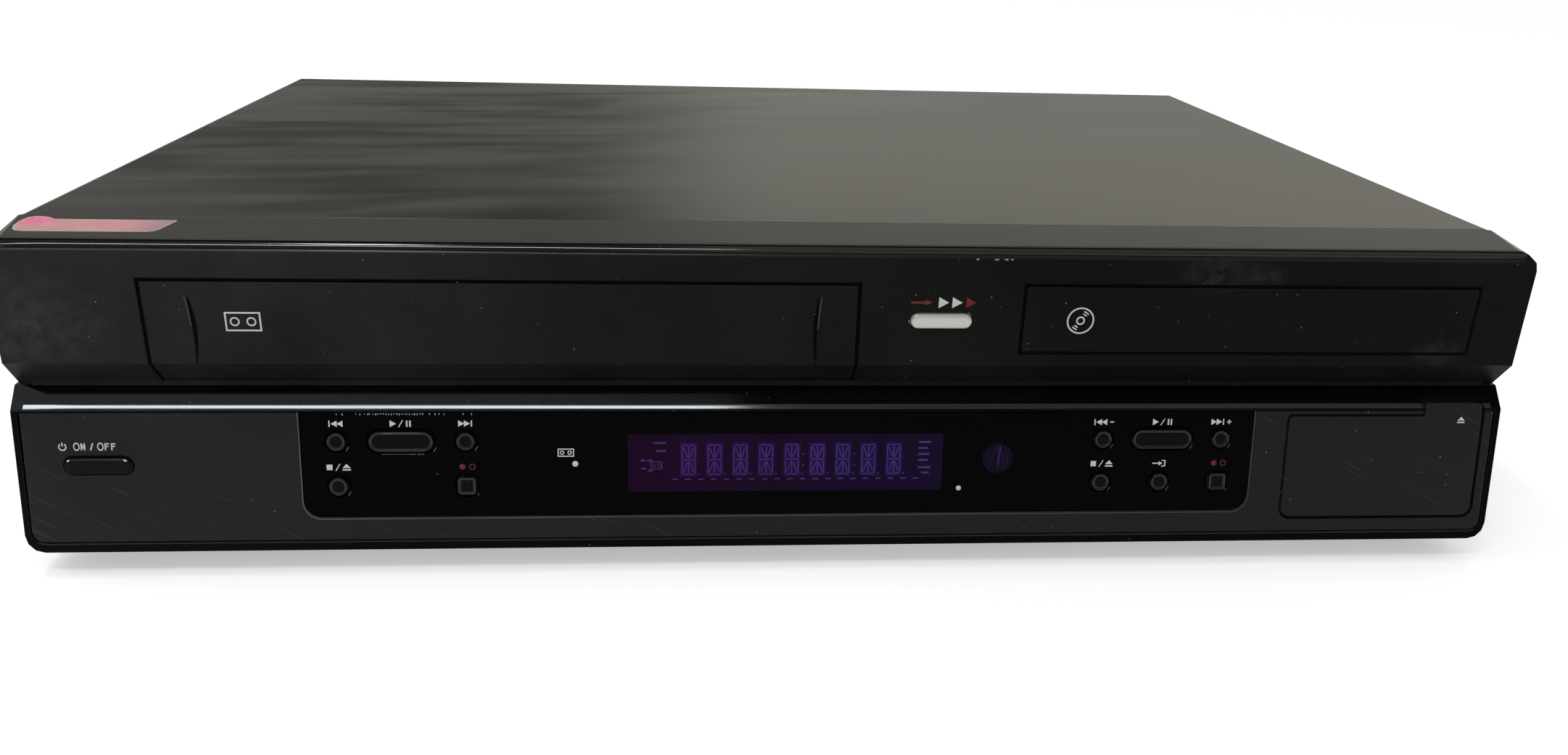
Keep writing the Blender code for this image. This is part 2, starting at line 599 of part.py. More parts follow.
def prism(outline, axis, low, high):
    """A closed outline in the two other axes, in X, Y, Z order, carried along axis from low to high."""
    place = {
        "X": lambda a, b: (low, a, b),
        "Y": lambda a, b: (a, low, b),
        "Z": lambda a, b: (a, b, low),
    }[axis]
    travel = {"X": Vector((1, 0, 0)), "Y": Vector((0, 1, 0)), "Z": Vector((0, 0, 1))}[axis]
    shape = bmesh.new()
    face = shape.faces.new([shape.verts.new(place(a, b)) for a, b in outline])
    made = bmesh.ops.extrude_face_region(shape, geom=[face])
    moved = [item for item in made["geom"] if isinstance(item, bmesh.types.BMVert)]
    bmesh.ops.translate(shape, verts=moved, vec=travel * (high - low))
    bmesh.ops.recalc_face_normals(shape, faces=shape.faces)
    return shape


def block(x, y, z):
    """A box between the pairs of limits x, y and z."""
    return prism([(x[0], y[0]), (x[1], y[0]), (x[1], y[1]), (x[0], y[1])], "Z", z[0], z[1])


def lofted(*outlines):
    """A closed solid through loops of as many points each."""
    shape = bmesh.new()
    loops = [[shape.verts.new(point) for point in outline] for outline in outlines]
    shape.faces.new(loops[0])
    shape.faces.new(loops[-1])
    count = len(outlines[0])
    for near, far in zip(loops, loops[1:]):
        for index in range(count):
            after = (index + 1) % count
            shape.faces.new((near[index], near[after], far[after], far[index]))
    bmesh.ops.recalc_face_normals(shape, faces=shape.faces)
    return shape


def turned(profile, steps=ROUND_STEPS, closed=False):
    """A profile of (radius, height) pairs turned round the Z axis; closed makes it a ring."""
    shape = bmesh.new()
    points = [shape.verts.new((radius, 0, height)) for radius, height in profile]
    edges = [shape.edges.new(pair) for pair in zip(points, points[1:])]
    if closed:
        edges.append(shape.edges.new((points[-1], points[0])))
    bmesh.ops.spin(
        shape, geom=points + edges, cent=(0, 0, 0), axis=(0, 0, 1), angle=2 * math.pi, steps=steps,
        use_merge=True, use_duplicate=False)
    bmesh.ops.remove_doubles(shape, verts=shape.verts, dist=GAP / 100)
    bmesh.ops.recalc_face_normals(shape, faces=shape.faces)
    return shape


def rod(radius, low, high, steps=ROUND_STEPS):
    """A plain round bar along Z."""
    return turned([(0, low), (radius, low), (radius, high), (0, high)], steps)


def moved(shape, x=0, y=0, z=0):
    """The shape, shifted."""
    bmesh.ops.translate(shape, verts=shape.verts, vec=(x, y, z))
    return shape


def turned_to(shape, axis):
    """The shape with its Z axis laid along X or Y."""
    turn = Matrix.Rotation(math.pi / 2, 4, "Y") if axis == "X" else Matrix.Rotation(-math.pi / 2, 4, "X")
    bmesh.ops.transform(shape, matrix=turn, verts=shape.verts)
    return shape


def leaned(shape):
    """The shape, carried from the leaning frame of the lower front to the sketch frame."""
    bmesh.ops.transform(shape, matrix=LEANING, verts=shape.verts)
    return shape


def together(*shapes):
    """Several shapes held in one mesh, for one cut."""
    whole = bmesh.new()
    for shape in shapes:
        carrier = bpy.data.meshes.new("carrier")
        shape.to_mesh(carrier)
        shape.free()
        whole.from_mesh(carrier)
        bpy.data.meshes.remove(carrier)
    return whole


def boolean(base, tool, operation):
    """Base and tool joined by Blender's exact Boolean modifier."""
    holders = []
    for label, shape in (("base", base), ("tool", tool)):
        mesh = bpy.data.meshes.new(label)
        shape.to_mesh(mesh)
        shape.free()
        holder = bpy.data.objects.new(label, mesh)
        bpy.context.scene.collection.objects.link(holder)
        holders.append(holder)
    modifier = holders[0].modifiers.new("join", "BOOLEAN")
    modifier.operation = operation
    modifier.solver = "EXACT"
    modifier.object = holders[1]
    depsgraph = bpy.context.evaluated_depsgraph_get()
    evaluated = holders[0].evaluated_get(depsgraph)
    result = bmesh.new()
    result.from_mesh(evaluated.to_mesh())
    evaluated.to_mesh_clear()
    bmesh.ops.remove_doubles(result, verts=result.verts, dist=GAP / 100)
    for holder in holders:
        mesh = holder.data
        bpy.data.objects.remove(holder)
        bpy.data.meshes.remove(mesh)
    return result


def cut(base, *tools):
    """Base less the tools."""
    return boolean(base, together(*tools), "DIFFERENCE")


def fused(base, *parts):
    """Base with each part joined to it."""
    for part in parts:
        base = boolean(base, part, "UNION")
    return base


def common(base, tool):
    """What base and tool share."""
    return boolean(base, tool, "INTERSECT")


def arc(centre_a, centre_b, radius, start, end, steps=CORNER_STEPS):
    """Points on an arc, both ends included, angles in degrees."""
    angles = [(start + (end - start) * index / steps) * DEGREE for index in range(steps + 1)]
    return [(centre_a + radius * math.cos(angle), centre_b + radius * math.sin(angle)) for angle in angles]


def rounded_rectangle(left, right, low, high, low_radius, high_radius=0):
    """A rectangle whose low and high corners are rounded, anticlockwise from the low left."""
    points = []
    if low_radius:
        points += arc(left + low_radius, low + low_radius, low_radius, 180, 270)
        points += arc(right - low_radius, low + low_radius, low_radius, 270, 360)
    else:
        points += [(left, low), (right, low)]
    if high_radius:
        points += arc(right - high_radius, high - high_radius, high_radius, 0, 90)
        points += arc(left + high_radius, high - high_radius, high_radius, 90, 180)
    else:
        points += [(right, high), (left, high)]
    return points


def capsule(x, z, length, height):
    """A bar with round ends, centred on x and z."""
    half = (length - height) / 2
    radius = height / 2
    right = arc(x + half, z, radius, -90, 90, 2 * CORNER_STEPS)
    left = arc(x - half, z, radius, 90, 270, 2 * CORNER_STEPS)
    return right + left


def gear_outline(teeth, module, phase=0):
    """A spur gear with involute flanks, thinned by the backlash; a tooth points along the phase angle."""
    pitch = teeth * module / 2
    base = pitch * math.cos(PRESSURE_ANGLE)
    tip = pitch + module
    root = pitch - 1.25 * module
    start = max(base, root)
    pitch_half = math.pi / (2 * teeth) - TOOTH_BACKLASH / 4 / pitch
    involute = math.tan(PRESSURE_ANGLE) - PRESSURE_ANGLE
    flank = []
    for index in range(FLANK_POINTS):
        radius = start + (tip - start) * index / (FLANK_POINTS - 1)
        at_radius = math.acos(min(1, base / radius))
        half = pitch_half + involute - (math.tan(at_radius) - at_radius)
        flank.append((radius, half))
    points = []
    for tooth in range(teeth):
        middle = phase + 2 * math.pi * tooth / teeth
        side = [(root, flank[0][1])] + flank if root < start else flank
        for radius, half in side:
            points.append((radius * math.cos(middle - half), radius * math.sin(middle - half)))
        for radius, half in reversed(side):
            points.append((radius * math.cos(middle + half), radius * math.sin(middle + half)))
    return points


def rack_outline(line, spine, start, end, module, space):
    """A straight rack in x and y with its teeth toward +x, a tooth space at y = space."""
    pitch = math.pi * module
    half = pitch / 4 - TOOTH_BACKLASH / 4
    lean = math.tan(PRESSURE_ANGLE)
    root = line - 1.25 * module
    tip = line + module
    first = math.ceil((start + half + 1.25 * module * lean - space) / pitch - 0.5)
    points = [(line - spine - 1.25 * module, end), (line - spine - 1.25 * module, start), (root, start)]
    centre = space + (first + 0.5) * pitch
    while centre + half + 1.25 * module * lean < end:
        wide = half + 1.25 * module * lean
        narrow = half - module * lean
        points += [(root, centre - wide), (tip, centre - narrow), (tip, centre + narrow),
            (root, centre + wide)]
        centre += pitch
    points.append((root, end))
    return points


# Materials and placing

def material(name, colour, roughness, metallic=0):
    """A plain finish for one kind of surface."""
    finish = bpy.data.materials.new(name)
    finish.use_nodes = True
    shader = finish.node_tree.nodes["Principled BSDF"]
    shader.inputs["Base Color"].default_value = (*colour, 1)
    shader.inputs["Roughness"].default_value = roughness
    shader.inputs["Metallic"].default_value = metallic
    return finish


def empty(name, parent=None, matrix=None):
    """An empty that carries pieces."""
    carrier = bpy.data.objects.new(name, None)
    bpy.context.scene.collection.objects.link(carrier)
    carrier.parent = parent
    if matrix is not None:
        carrier.matrix_local = matrix
    return carrier


def piece(name, shape, finish, parent, pivot=(0, 0, 0)):
    """One finished piece, with its origin at pivot."""
    bmesh.ops.translate(shape, verts=shape.verts, vec=-Vector(pivot))
    mesh = bpy.data.meshes.new(name)
    shape.to_mesh(mesh)
    shape.free()
    mesh.materials.append(finish)
    mesh.shade_smooth()
    mesh.set_sharp_from_angle(angle=SMOOTH_ANGLE)
    item = bpy.data.objects.new(name, mesh)
    bpy.context.scene.collection.objects.link(item)
    item.location = pivot
    item.parent = parent
    return item


# Case

def half_width(y, width):
    """Half the width of the front mouldings, which widen toward the seam."""
    return (width + (PLAYER_WIDTH - width) * y / SEAM) / 2


def upper_hull(inset=0):
    """The tapering block of the upper front, its top side edges rounded less and less toward the back."""
    loops = []
    for y in (-OVERRUN, SEAM + OVERRUN):
        half = half_width(y, FACE_WIDTH) - inset
        radius = SIDE_ROUND_FRONT + (SIDE_ROUND_BACK - SIDE_ROUND_FRONT) * y / SEAM
        radius = max(radius - inset, SIDE_ROUND_BACK / 4)
        low = NOTCH_HEIGHT - SHELF_THICKNESS / 2
        outline = rounded_rectangle(-half, half, low, PLAYER_HEIGHT - inset, 0, radius)
        loops.append([(x, y, z) for x, z in outline])
    return lofted(*loops)


def lower_hull(inset=0, floor=0):
    """The tapering block of the lower front, with rounded bottom corners."""
    loops = []
    for y in (SPAN_FRONT - OVERRUN, SEAM + OVERRUN):
        half = half_width(y, LOWER_WIDTH) - inset
        outline = rounded_rectangle(-half, half, FOOT_HEIGHT + floor, NOTCH_HEIGHT, LOWER_CORNER - inset)
        loops.append([(x, y, z) for x, z in outline])
    return lofted(*loops)


def on_slope(drop, depth=0):
    """The y and z of a point on the leaning front."""
    y = SHOULDER_FRONT - drop * math.sin(LOWER_LEAN) + depth * math.cos(LOWER_LEAN)
    z = SHOULDER_FOOT - drop * math.cos(LOWER_LEAN) - depth * math.sin(LOWER_LEAN)
    return y, z


def make_front_bezel(finish, parent):
    """Glossy moulding: top strip, side walls, shelf with its sloped shoulder, and the rim below."""
    back = SEAM - GAP
    strip_low = PLAYER_HEIGHT - STRIP_THICKNESS
    upper_side = [
        (FACE_CHAMFER + GROOVE_WIDTH, strip_low), (FACE_CHAMFER + GROOVE_WIDTH, PLAYER_HEIGHT + OVERRUN),
        (back, PLAYER_HEIGHT + OVERRUN), (back, NOTCH_HEIGHT - OVERLAP * 2),
        (NOTCH_DEPTH + GAP, NOTCH_HEIGHT - OVERLAP * 2), (NOTCH_DEPTH + GAP, strip_low)]
    upper = common(upper_hull(), prism(upper_side, "X", -PLAYER_WIDTH, PLAYER_WIDTH))
    inner_half = half_width(0, FACE_WIDTH) - FACE_WALL
    hollow = block(
        (-inner_half, inner_half), (-OVERRUN, SEAM + OVERRUN), (NOTCH_HEIGHT, strip_low))
    upper = cut(upper, hollow)
    lower_side = [
        (NOTCH_DEPTH, NOTCH_HEIGHT), (SHOULDER_FRONT, SHOULDER_FOOT), (SPAN_FRONT, FOOT_HEIGHT),
        (SPAN_FRONT, FOOT_HEIGHT - OVERRUN), (back, FOOT_HEIGHT - OVERRUN), (back, NOTCH_HEIGHT)]
    lower = common(lower_hull(), prism(lower_side, "X", -PLAYER_WIDTH, PLAYER_WIDTH))
    lip = on_slope(SHOULDER_LIP)
    lip_out = on_slope(SHOULDER_LIP, -OVERRUN)
    lip_in = on_slope(SHOULDER_LIP, SHELF_THICKNESS)
    shelf_low = NOTCH_HEIGHT - SHELF_THICKNESS
    run = (shelf_low - lip_in[1]) * (NOTCH_DEPTH - SHOULDER_FRONT) / (NOTCH_HEIGHT - SHOULDER_FOOT)
    hollow_side = [
        lip_out, lip, lip_in, (lip_in[0] + run, shelf_low), (SEAM + OVERRUN, shelf_low),
        (SEAM + OVERRUN, FOOT_HEIGHT - OVERRUN), (lip_out[0] - OVERRUN, FOOT_HEIGHT - OVERRUN)]
    hollow = common(lower_hull(RIM_WIDTH, LIP_HEIGHT), prism(hollow_side, "X", -PLAYER_WIDTH, PLAYER_WIDTH))
    lower = cut(lower, hollow)
    shape = fused(lower, upper)
    notch = block(
        (FLIP_TAB_LEFT - GAP, FLIP_RIGHT + GAP), (-OVERRUN, FLIP_THICKNESS + GAP),
        (-PANEL_TOP, FLIP_TAB_RISE - FLIP_TOP + GAP))
    shape = cut(shape, leaned(notch))
    return piece("front_bezel", shape, finish, parent)


def make_upper_fascia(finish, parent):
    """Satin face with its bevel, the cassette mouth, the tray mouth and the copy button's hole."""
    strip_under = PLAYER_HEIGHT - STRIP_THICKNESS - GAP
    side = [
        (0, FACE_TOP), (FACE_CHAMFER, PLAYER_HEIGHT - CHAMFER_DROP), (FACE_CHAMFER, strip_under),
        (NOTCH_DEPTH, strip_under), (NOTCH_DEPTH, NOTCH_HEIGHT + GAP), (0, FACE_BOTTOM)]
    shape = common(upper_hull(), prism(side, "X", -PLAYER_WIDTH, PLAYER_WIDTH))
    rise = FACE_WALL * math.sqrt(1 + BEVEL_SLOPE ** 2)
    inside = [
        (FACE_WALL, strip_under - FACE_WALL),
        (FACE_WALL, FACE_BOTTOM - BEVEL_SLOPE * FACE_WALL + rise),
        (NOTCH_DEPTH + OVERRUN, FACE_BOTTOM - BEVEL_SLOPE * (NOTCH_DEPTH + OVERRUN) + rise),
        (NOTCH_DEPTH + OVERRUN, strip_under - FACE_WALL)]
    inner_half = half_width(0, FACE_WIDTH) - FACE_WALL
    shape = cut(shape, prism(inside, "X", -inner_half, inner_half))
    flange_front = NOTCH_DEPTH - FACE_WALL / 2
    flange = block(
        (-inner_half + GAP, inner_half - GAP), (flange_front, flange_front + LIP_FLANGE_DEPTH),
        (NOTCH_HEIGHT + GAP, NOTCH_HEIGHT + GAP + LIP_FLANGE_THICKNESS))
    ears = []
    for side_x, way in ((DOOR_LEFT, -1), (DOOR_RIGHT, 1)):
        near = side_x + way * 2 * GAP
        ear = block(
            sorted((near, near + way * EAR_THICKNESS)), (FACE_WALL - OVERLAP, FACE_WALL + EAR_DEPTH),
            (DOOR_PIVOT_Z - EAR_HEIGHT / 2, DOOR_PIVOT_Z + EAR_HEIGHT / 2))
        ears.append(ear)
    shape = fused(shape, flange, *ears)
    mouth = block(
        (DOOR_LEFT - GAP, DOOR_RIGHT + GAP), (-OVERRUN, NOTCH_DEPTH + OVERRUN),
        (DOOR_BOTTOM - GAP, DOOR_TOP + GAP))
    tray_mouth = block(
        (TRAY_FRONT_LEFT - GAP, TRAY_FRONT_RIGHT + GAP), (-OVERRUN, NOTCH_DEPTH + OVERRUN),
        (TRAY_FRONT_BOTTOM - GAP, TRAY_FRONT_TOP + GAP))
    copy_outline = capsule(COPY_CENTRE_X, COPY_CENTRE_Z, COPY_WIDTH + 2 * GAP, COPY_HEIGHT + 2 * GAP)
    copy_hole = prism(copy_outline, "Y", -OVERRUN, NOTCH_DEPTH)
    pin_holes = []
    for side_x, way in ((DOOR_LEFT, -1), (DOOR_RIGHT, 1)):
        hole = rod(DOOR_PIN + GAP, -OVERRUN, OVERRUN, CORNER_STEPS * 3)
        pin_holes.append(moved(turned_to(hole, "X"), side_x + way * EAR_THICKNESS / 2, DOOR_PIVOT_Y,
            DOOR_PIVOT_Z))
    shape = cut(shape, mouth, tray_mouth, copy_hole)
    shape = cut(shape, *pin_holes)
    return piece("upper_fascia", shape, finish, parent)


def make_lower_fascia(finish, parent):
    """Matte panel of the lower front, with the window's opening and the pocket for the front jacks."""
    half = half_width(on_slope(PANEL_BOTTOM)[0], LOWER_WIDTH) - RIM_WIDTH - GAP * 1.5
    outline = rounded_rectangle(-half, half, -PANEL_BOTTOM, -PANEL_TOP, PANEL_CORNER)
    shape = prism(outline, "Y", 0, PANEL_THICKNESS)
    pocket_left = FLIP_LEFT - POCKET_MARGIN - POCKET_WALL
    pocket_right = FLIP_RIGHT + POCKET_MARGIN
    pocket_low = -FLIP_BOTTOM - POCKET_MARGIN
    pocket = block(
        (pocket_left, pocket_right + POCKET_WALL), (PANEL_THICKNESS - OVERLAP, POCKET_DEPTH + POCKET_WALL),
        (pocket_low - POCKET_WALL, -FLIP_TOP + POCKET_WALL))
    bosses = []
    for x in (TAPE_BOSS_X, 0, DISC_BOSS_X):
        boss = rod(BOARD_BOSS_RADIUS, PANEL_THICKNESS - OVERLAP, FRONT_BOARD_DEPTH - GAP, CORNER_STEPS * 3)
        bosses.append(moved(turned_to(boss, "Y"), x, 0, -BOARD_BOSS_DROP))
    shape = fused(shape, pocket, *bosses)
    window = rounded_rectangle(
        WINDOW_LEFT - GAP, WINDOW_RIGHT + GAP, -WINDOW_BOTTOM - GAP, OVERRUN, WINDOW_CORNER + GAP)
    power = capsule(POWER_X, -POWER_DROP, POWER_LENGTH + 2 * GAP, POWER_HEIGHT + 2 * GAP)
    flip = flip_outline(GAP)
    inside = block(
        (pocket_left + POCKET_WALL, pocket_right), (PANEL_THICKNESS, POCKET_DEPTH),
        (pocket_low, -FLIP_TOP - POCKET_MARGIN))
    shape = cut(shape, prism(window, "Y", -OVERRUN, FRONT_BOARD_DEPTH / 2),
        prism(flip, "Y", -OVERRUN, PANEL_THICKNESS + OVERLAP))
    shape = cut(shape, inside, prism(power, "Y", -OVERRUN, OVERRUN))
    jack_holes = []
    for x, radius in jack_places():
        hole = rod(radius + GAP, 0, OVERRUN)
        jack_holes.append(moved(turned_to(hole, "Y"), x, POCKET_DEPTH - POCKET_WALL, -JACK_DROP))
    pins = rod(FLIP_PIN + GAP, FLIP_LEFT - FLIP_PIN_LENGTH - GAP, FLIP_RIGHT + FLIP_PIN_LENGTH + GAP,
        CORNER_STEPS * 3)
    pins = moved(turned_to(pins, "X"), 0, FLIP_PIVOT_DEPTH, -FLIP_BOTTOM + FLIP_PIVOT_RISE)
    shape = cut(shape, *jack_holes, pins)
    return piece("lower_fascia", shape, finish, parent)


def jack_places():
    """The x and radius of each jack behind the flip door."""
    width = FLIP_RIGHT - FLIP_LEFT
    places = [(FLIP_LEFT + width * share, JACK_RADIUS) for share in JACK_PLACE_SHARES]
    return places + [(FLIP_LEFT + width * S_JACK_PLACE_SHARE, S_JACK_RADIUS)]


def flip_outline(spread=0):
    """The flip door's stepped outline, its right part rising over the shoulder."""
    left = FLIP_LEFT - spread
    right = FLIP_RIGHT + spread
    low = -FLIP_BOTTOM - spread
    top = -FLIP_TOP + spread
    high = -FLIP_TOP + FLIP_TAB_RISE + spread
    step = FLIP_TAB_LEFT - spread
    radius = FLIP_CORNER + spread
    small = FLIP_CORNER / 2
    points = arc(left + radius, low + radius, radius, 180, 270)
    points += arc(right - radius, low + radius, radius, 270, 360)
    points += arc(right - radius, high - radius, radius, 0, 90)
    points += [(step, high)]
    points += [(step, top)]
    points += arc(left + small, top - small, small, 90, 180)
    return points


def make_window(finish, parent):
    """Smoked window in the lower panel, with a hole for each button."""
    outline = rounded_rectangle(WINDOW_LEFT, WINDOW_RIGHT, -WINDOW_BOTTOM, -PANEL_TOP, WINDOW_CORNER)
    shape = prism(outline, "Y", 0, WINDOW_THICKNESS)
    holes = [prism(button_outline(kind, x, drop, GAP), "Y", -OVERRUN, OVERRUN) for _, kind, x,
        drop in WINDOW_BUTTONS]
    shape = cut(shape, *holes)
    return piece("display_window", shape, finish, parent)


WINDOW_BUTTONS = (
    ("vcr_skip_back_button", "round", TAPE_BACK_X, UPPER_ROW),
    ("vcr_play_button", "bar", TAPE_PLAY_X, UPPER_ROW),
    ("vcr_skip_forward_button", "round", TAPE_FORWARD_X, UPPER_ROW),
    ("vcr_stop_button", "round", TAPE_BACK_X, LOWER_ROW),
    ("vcr_record_button", "square", TAPE_FORWARD_X, LOWER_ROW),
    ("dvd_channel_down_button", "round", DISC_DOWN_X, UPPER_ROW),
    ("dvd_play_button", "bar", DISC_PLAY_X, UPPER_ROW),
    ("dvd_channel_up_button", "round", DISC_UP_X, UPPER_ROW),
    ("dvd_stop_button", "round", DISC_DOWN_X, LOWER_ROW),
    ("dvd_input_button", "round", DISC_PLAY_X, LOWER_ROW),
    ("dvd_record_button", "square", DISC_UP_X, LOWER_ROW),
)


def button_outline(kind, x, drop, spread=0):
    """Outline of a button of the lower front, widened by spread."""
    if kind == "round":
        return arc(x, -drop, ROUND_RADIUS + spread, 0, 360, BUTTON_STEPS)[:-1]
    if kind == "square":
        half = SQUARE_HALF + spread
        corner = SQUARE_CORNER + spread
        return rounded_rectangle(x - half, x + half, -drop - half, -drop + half, corner, corner)
    if kind == "power":
        return capsule(x, -drop, POWER_LENGTH + 2 * spread, POWER_HEIGHT + 2 * spread)
    return capsule(x, -drop, BAR_LENGTH + 2 * spread, BAR_HEIGHT + 2 * spread)


def make_button(name, kind, x, drop, panel, proud, finish, parent):
    """A button: bevelled cap, the flange that holds it behind its panel, and the stem to its key."""
    cap = lofted(
        [(a, -proud, b) for a, b in button_outline(kind, x, drop, -BUTTON_BEVEL)],
        [(a, -proud + BUTTON_BEVEL, b) for a, b in button_outline(kind, x, drop)])
    body = prism(button_outline(kind, x, drop), "Y", -proud + BUTTON_BEVEL, panel + GAP + OVERLAP)
    flange_front = panel + GAP
    flange_back = flange_front + BUTTON_FLANGE_THICKNESS
    flange = prism(button_outline(kind, x, drop, BUTTON_FLANGE), "Y", flange_front, flange_back)
    stem_end = FRONT_BOARD_DEPTH - KEY_HEIGHT - BUTTON_TRAVEL - GAP
    stem = moved(turned_to(rod(STEM_RADIUS, flange_back - OVERLAP, stem_end, CORNER_STEPS * 2), "Y"), x, 0,
        -drop)
    for face in list(cap.faces):
        if all(abs(vertex.co.y - (-proud + BUTTON_BEVEL)) < GAP / 10 for vertex in face.verts):
            for vertex in face.verts:
                vertex.co.y += OVERLAP / 10
    shape = fused(body, cap, flange, stem)
    return piece(name, shape, finish, parent, (x, 0, -drop))


def make_copy_button(finish, parent):
    """Silver capsule in the upper fascia."""
    outline = capsule(COPY_CENTRE_X, COPY_CENTRE_Z, COPY_WIDTH, COPY_HEIGHT)
    inner = capsule(COPY_CENTRE_X, COPY_CENTRE_Z, COPY_WIDTH - 2 * BUTTON_BEVEL,
        COPY_HEIGHT - 2 * BUTTON_BEVEL)
    outer = capsule(
        COPY_CENTRE_X, COPY_CENTRE_Z, COPY_WIDTH + 2 * BUTTON_FLANGE, COPY_HEIGHT + 2 * BUTTON_FLANGE)
    cap = lofted(
        [(x, -COPY_PROUD, z) for x, z in inner], [(x, -COPY_PROUD + BUTTON_BEVEL, z) for x, z in outline])
    body = prism(outline, "Y", -COPY_PROUD + BUTTON_BEVEL - OVERLAP / 10, FACE_WALL + GAP + OVERLAP)
    flange = prism(outer, "Y", FACE_WALL + GAP, FACE_WALL + GAP + BUTTON_FLANGE_THICKNESS)
    shape = fused(body, cap, flange)
    return piece("copy_button", shape, finish, parent, (COPY_CENTRE_X, 0, COPY_CENTRE_Z))


def make_cassette_door(finish, parent):
    """Flap that follows the face and its bevel, with a pin at each end of its top edge."""
    rise = DOOR_WALL * math.sqrt(1 + BEVEL_SLOPE ** 2)
    outer_foot = (FACE_BOTTOM - DOOR_BOTTOM) / BEVEL_SLOPE
    inner_foot = (FACE_BOTTOM + rise - DOOR_BOTTOM) / BEVEL_SLOPE
    side = [
        (0, DOOR_TOP), (0, FACE_BOTTOM), (outer_foot, DOOR_BOTTOM), (inner_foot, DOOR_BOTTOM),
        (DOOR_WALL, FACE_BOTTOM + rise - BEVEL_SLOPE * DOOR_WALL), (DOOR_WALL, DOOR_TOP)]
    shape = prism(side, "X", DOOR_LEFT, DOOR_RIGHT)
    parts = []
    for start, way in ((DOOR_LEFT, 1), (DOOR_RIGHT, -1)):
        ends = sorted((start + way * OVERLAP, start + way * DOOR_BOSS_LENGTH))
        boss = rod(DOOR_BOSS, ends[0], ends[1], CORNER_STEPS * 3)
        pin_ends = sorted((start + way * OVERLAP * 2, start - way * DOOR_PIN_LENGTH))
        pin = rod(DOOR_PIN, pin_ends[0], pin_ends[1], CORNER_STEPS * 3)
        for part in (boss, pin):
            parts.append(moved(turned_to(part, "X"), 0, DOOR_PIVOT_Y, DOOR_PIVOT_Z))
    shape = fused(shape, *parts)
    return piece("cassette_door", shape, finish, parent, (DECK_MIDDLE, DOOR_PIVOT_Y, DOOR_PIVOT_Z))


def make_jack_door(finish, parent):
    """Flip door: stepped outline, bevelled front edge, a hinge pin at each side above the corners."""
    pivot_drop = FLIP_BOTTOM - FLIP_PIVOT_RISE
    shape = lofted(
        [(x, 0, z) for x, z in flip_outline(-FLIP_BEVEL)], [(x, FLIP_BEVEL, z) for x, z in flip_outline()],
        [(x, FLIP_THICKNESS, z) for x, z in flip_outline()])
    reach = FLIP_CORNER * 2
    pins = []
    for start, way in ((FLIP_LEFT, -1), (FLIP_RIGHT, 1)):
        ends = sorted((start - way * reach, start + way * FLIP_PIN_LENGTH))
        pin = rod(FLIP_PIN, ends[0], ends[1], CORNER_STEPS * 2)
        pins.append(moved(turned_to(pin, "X"), 0, FLIP_PIVOT_DEPTH, -pivot_drop))
    shape = fused(shape, *pins)
    return piece("jack_door", shape, finish, parent, (FLIP_LEFT, FLIP_PIVOT_DEPTH, -pivot_drop))


def make_top_cover(finish, parent):
    """Steel cover folded down at both sides, with vent slots in the sides."""
    half = PLAYER_WIDTH / 2
    outer = rounded_rectangle(-half, half, FOOT_HEIGHT + PAN_STEEL, PLAYER_HEIGHT, 0, COVER_BEND)
    inner_half = half - COVER_STEEL
    inner = rounded_rectangle(
        -inner_half, inner_half, FOOT_HEIGHT - OVERRUN, PLAYER_HEIGHT - COVER_STEEL, 0,
        COVER_BEND - COVER_STEEL)
    shape = cut(prism(outer, "Y", SEAM, COVER_BACK), prism(inner, "Y", SEAM - OVERRUN, COVER_BACK + OVERRUN))
    slots = []
    for index in range(SIDE_VENT_COUNT):
        y = SIDE_VENT_START + VENT_PITCH * index
        slots.append(block(
            (-half - OVERRUN, half + OVERRUN), (y, y + VENT_WIDTH),
            (SIDE_VENT_HEIGHT, SIDE_VENT_HEIGHT + VENT_LENGTH)))
    shape = cut(shape, *slots)
    return piece("top_cover", shape, finish, parent)


def post(x, y, low, high, radius=STANDOFF_RADIUS):
    """A round standoff on a floor."""
    return moved(rod(radius, low, high, CORNER_STEPS * 3), x, y)


def make_base_pan(finish, parent):
    """Steel pan with low side walls, vent slots, and standoffs for what it carries."""
    half = PLAYER_WIDTH / 2 - COVER_STEEL - GAP
    low = FOOT_HEIGHT + GAP
    floor = low + PAN_STEEL
    front = SEAM + GAP
    back = COVER_BACK - PANEL_INSET - PANEL_STEEL - GAP
    shape = block((-half, half), (front, back), (low, floor + PAN_WALL_HEIGHT))
    hollow = block(
        (-half + PAN_STEEL, half - PAN_STEEL), (front - OVERRUN, back + OVERRUN),
        (floor, floor + PAN_WALL_HEIGHT + OVERRUN))
    shape = cut(shape, hollow)
    slots = []
    for index in range(FLOOR_VENT_COUNT):
        y = FLOOR_VENT_START + VENT_PITCH * index
        for x in (-PLAYER_WIDTH / 4, PLAYER_WIDTH / 4):
            slots.append(block(
                (x - VENT_LENGTH / 2, x + VENT_LENGTH / 2), (y, y + VENT_WIDTH),
                (low - OVERRUN, floor + OVERRUN)))
    shape = cut(shape, *slots)
    board_top = BOARD_LOW - GAP
    root = floor - PAN_STEEL / 2
    posts = []
    for x in (MAIN_LEFT + POST_INSET, MAIN_RIGHT - POST_INSET):
        for y in (MAIN_FRONT + POST_INSET, MAIN_BACK - POST_INSET):
            posts.append(post(x, y, root, board_top))
    for x in (POWER_LEFT + POST_INSET, POWER_RIGHT - POST_INSET):
        posts.append(post(x, (POWER_FRONT + POWER_BACK) / 2, root, board_top))
    shape = fused(shape, *posts)
    return piece("base_pan", shape, finish, parent)


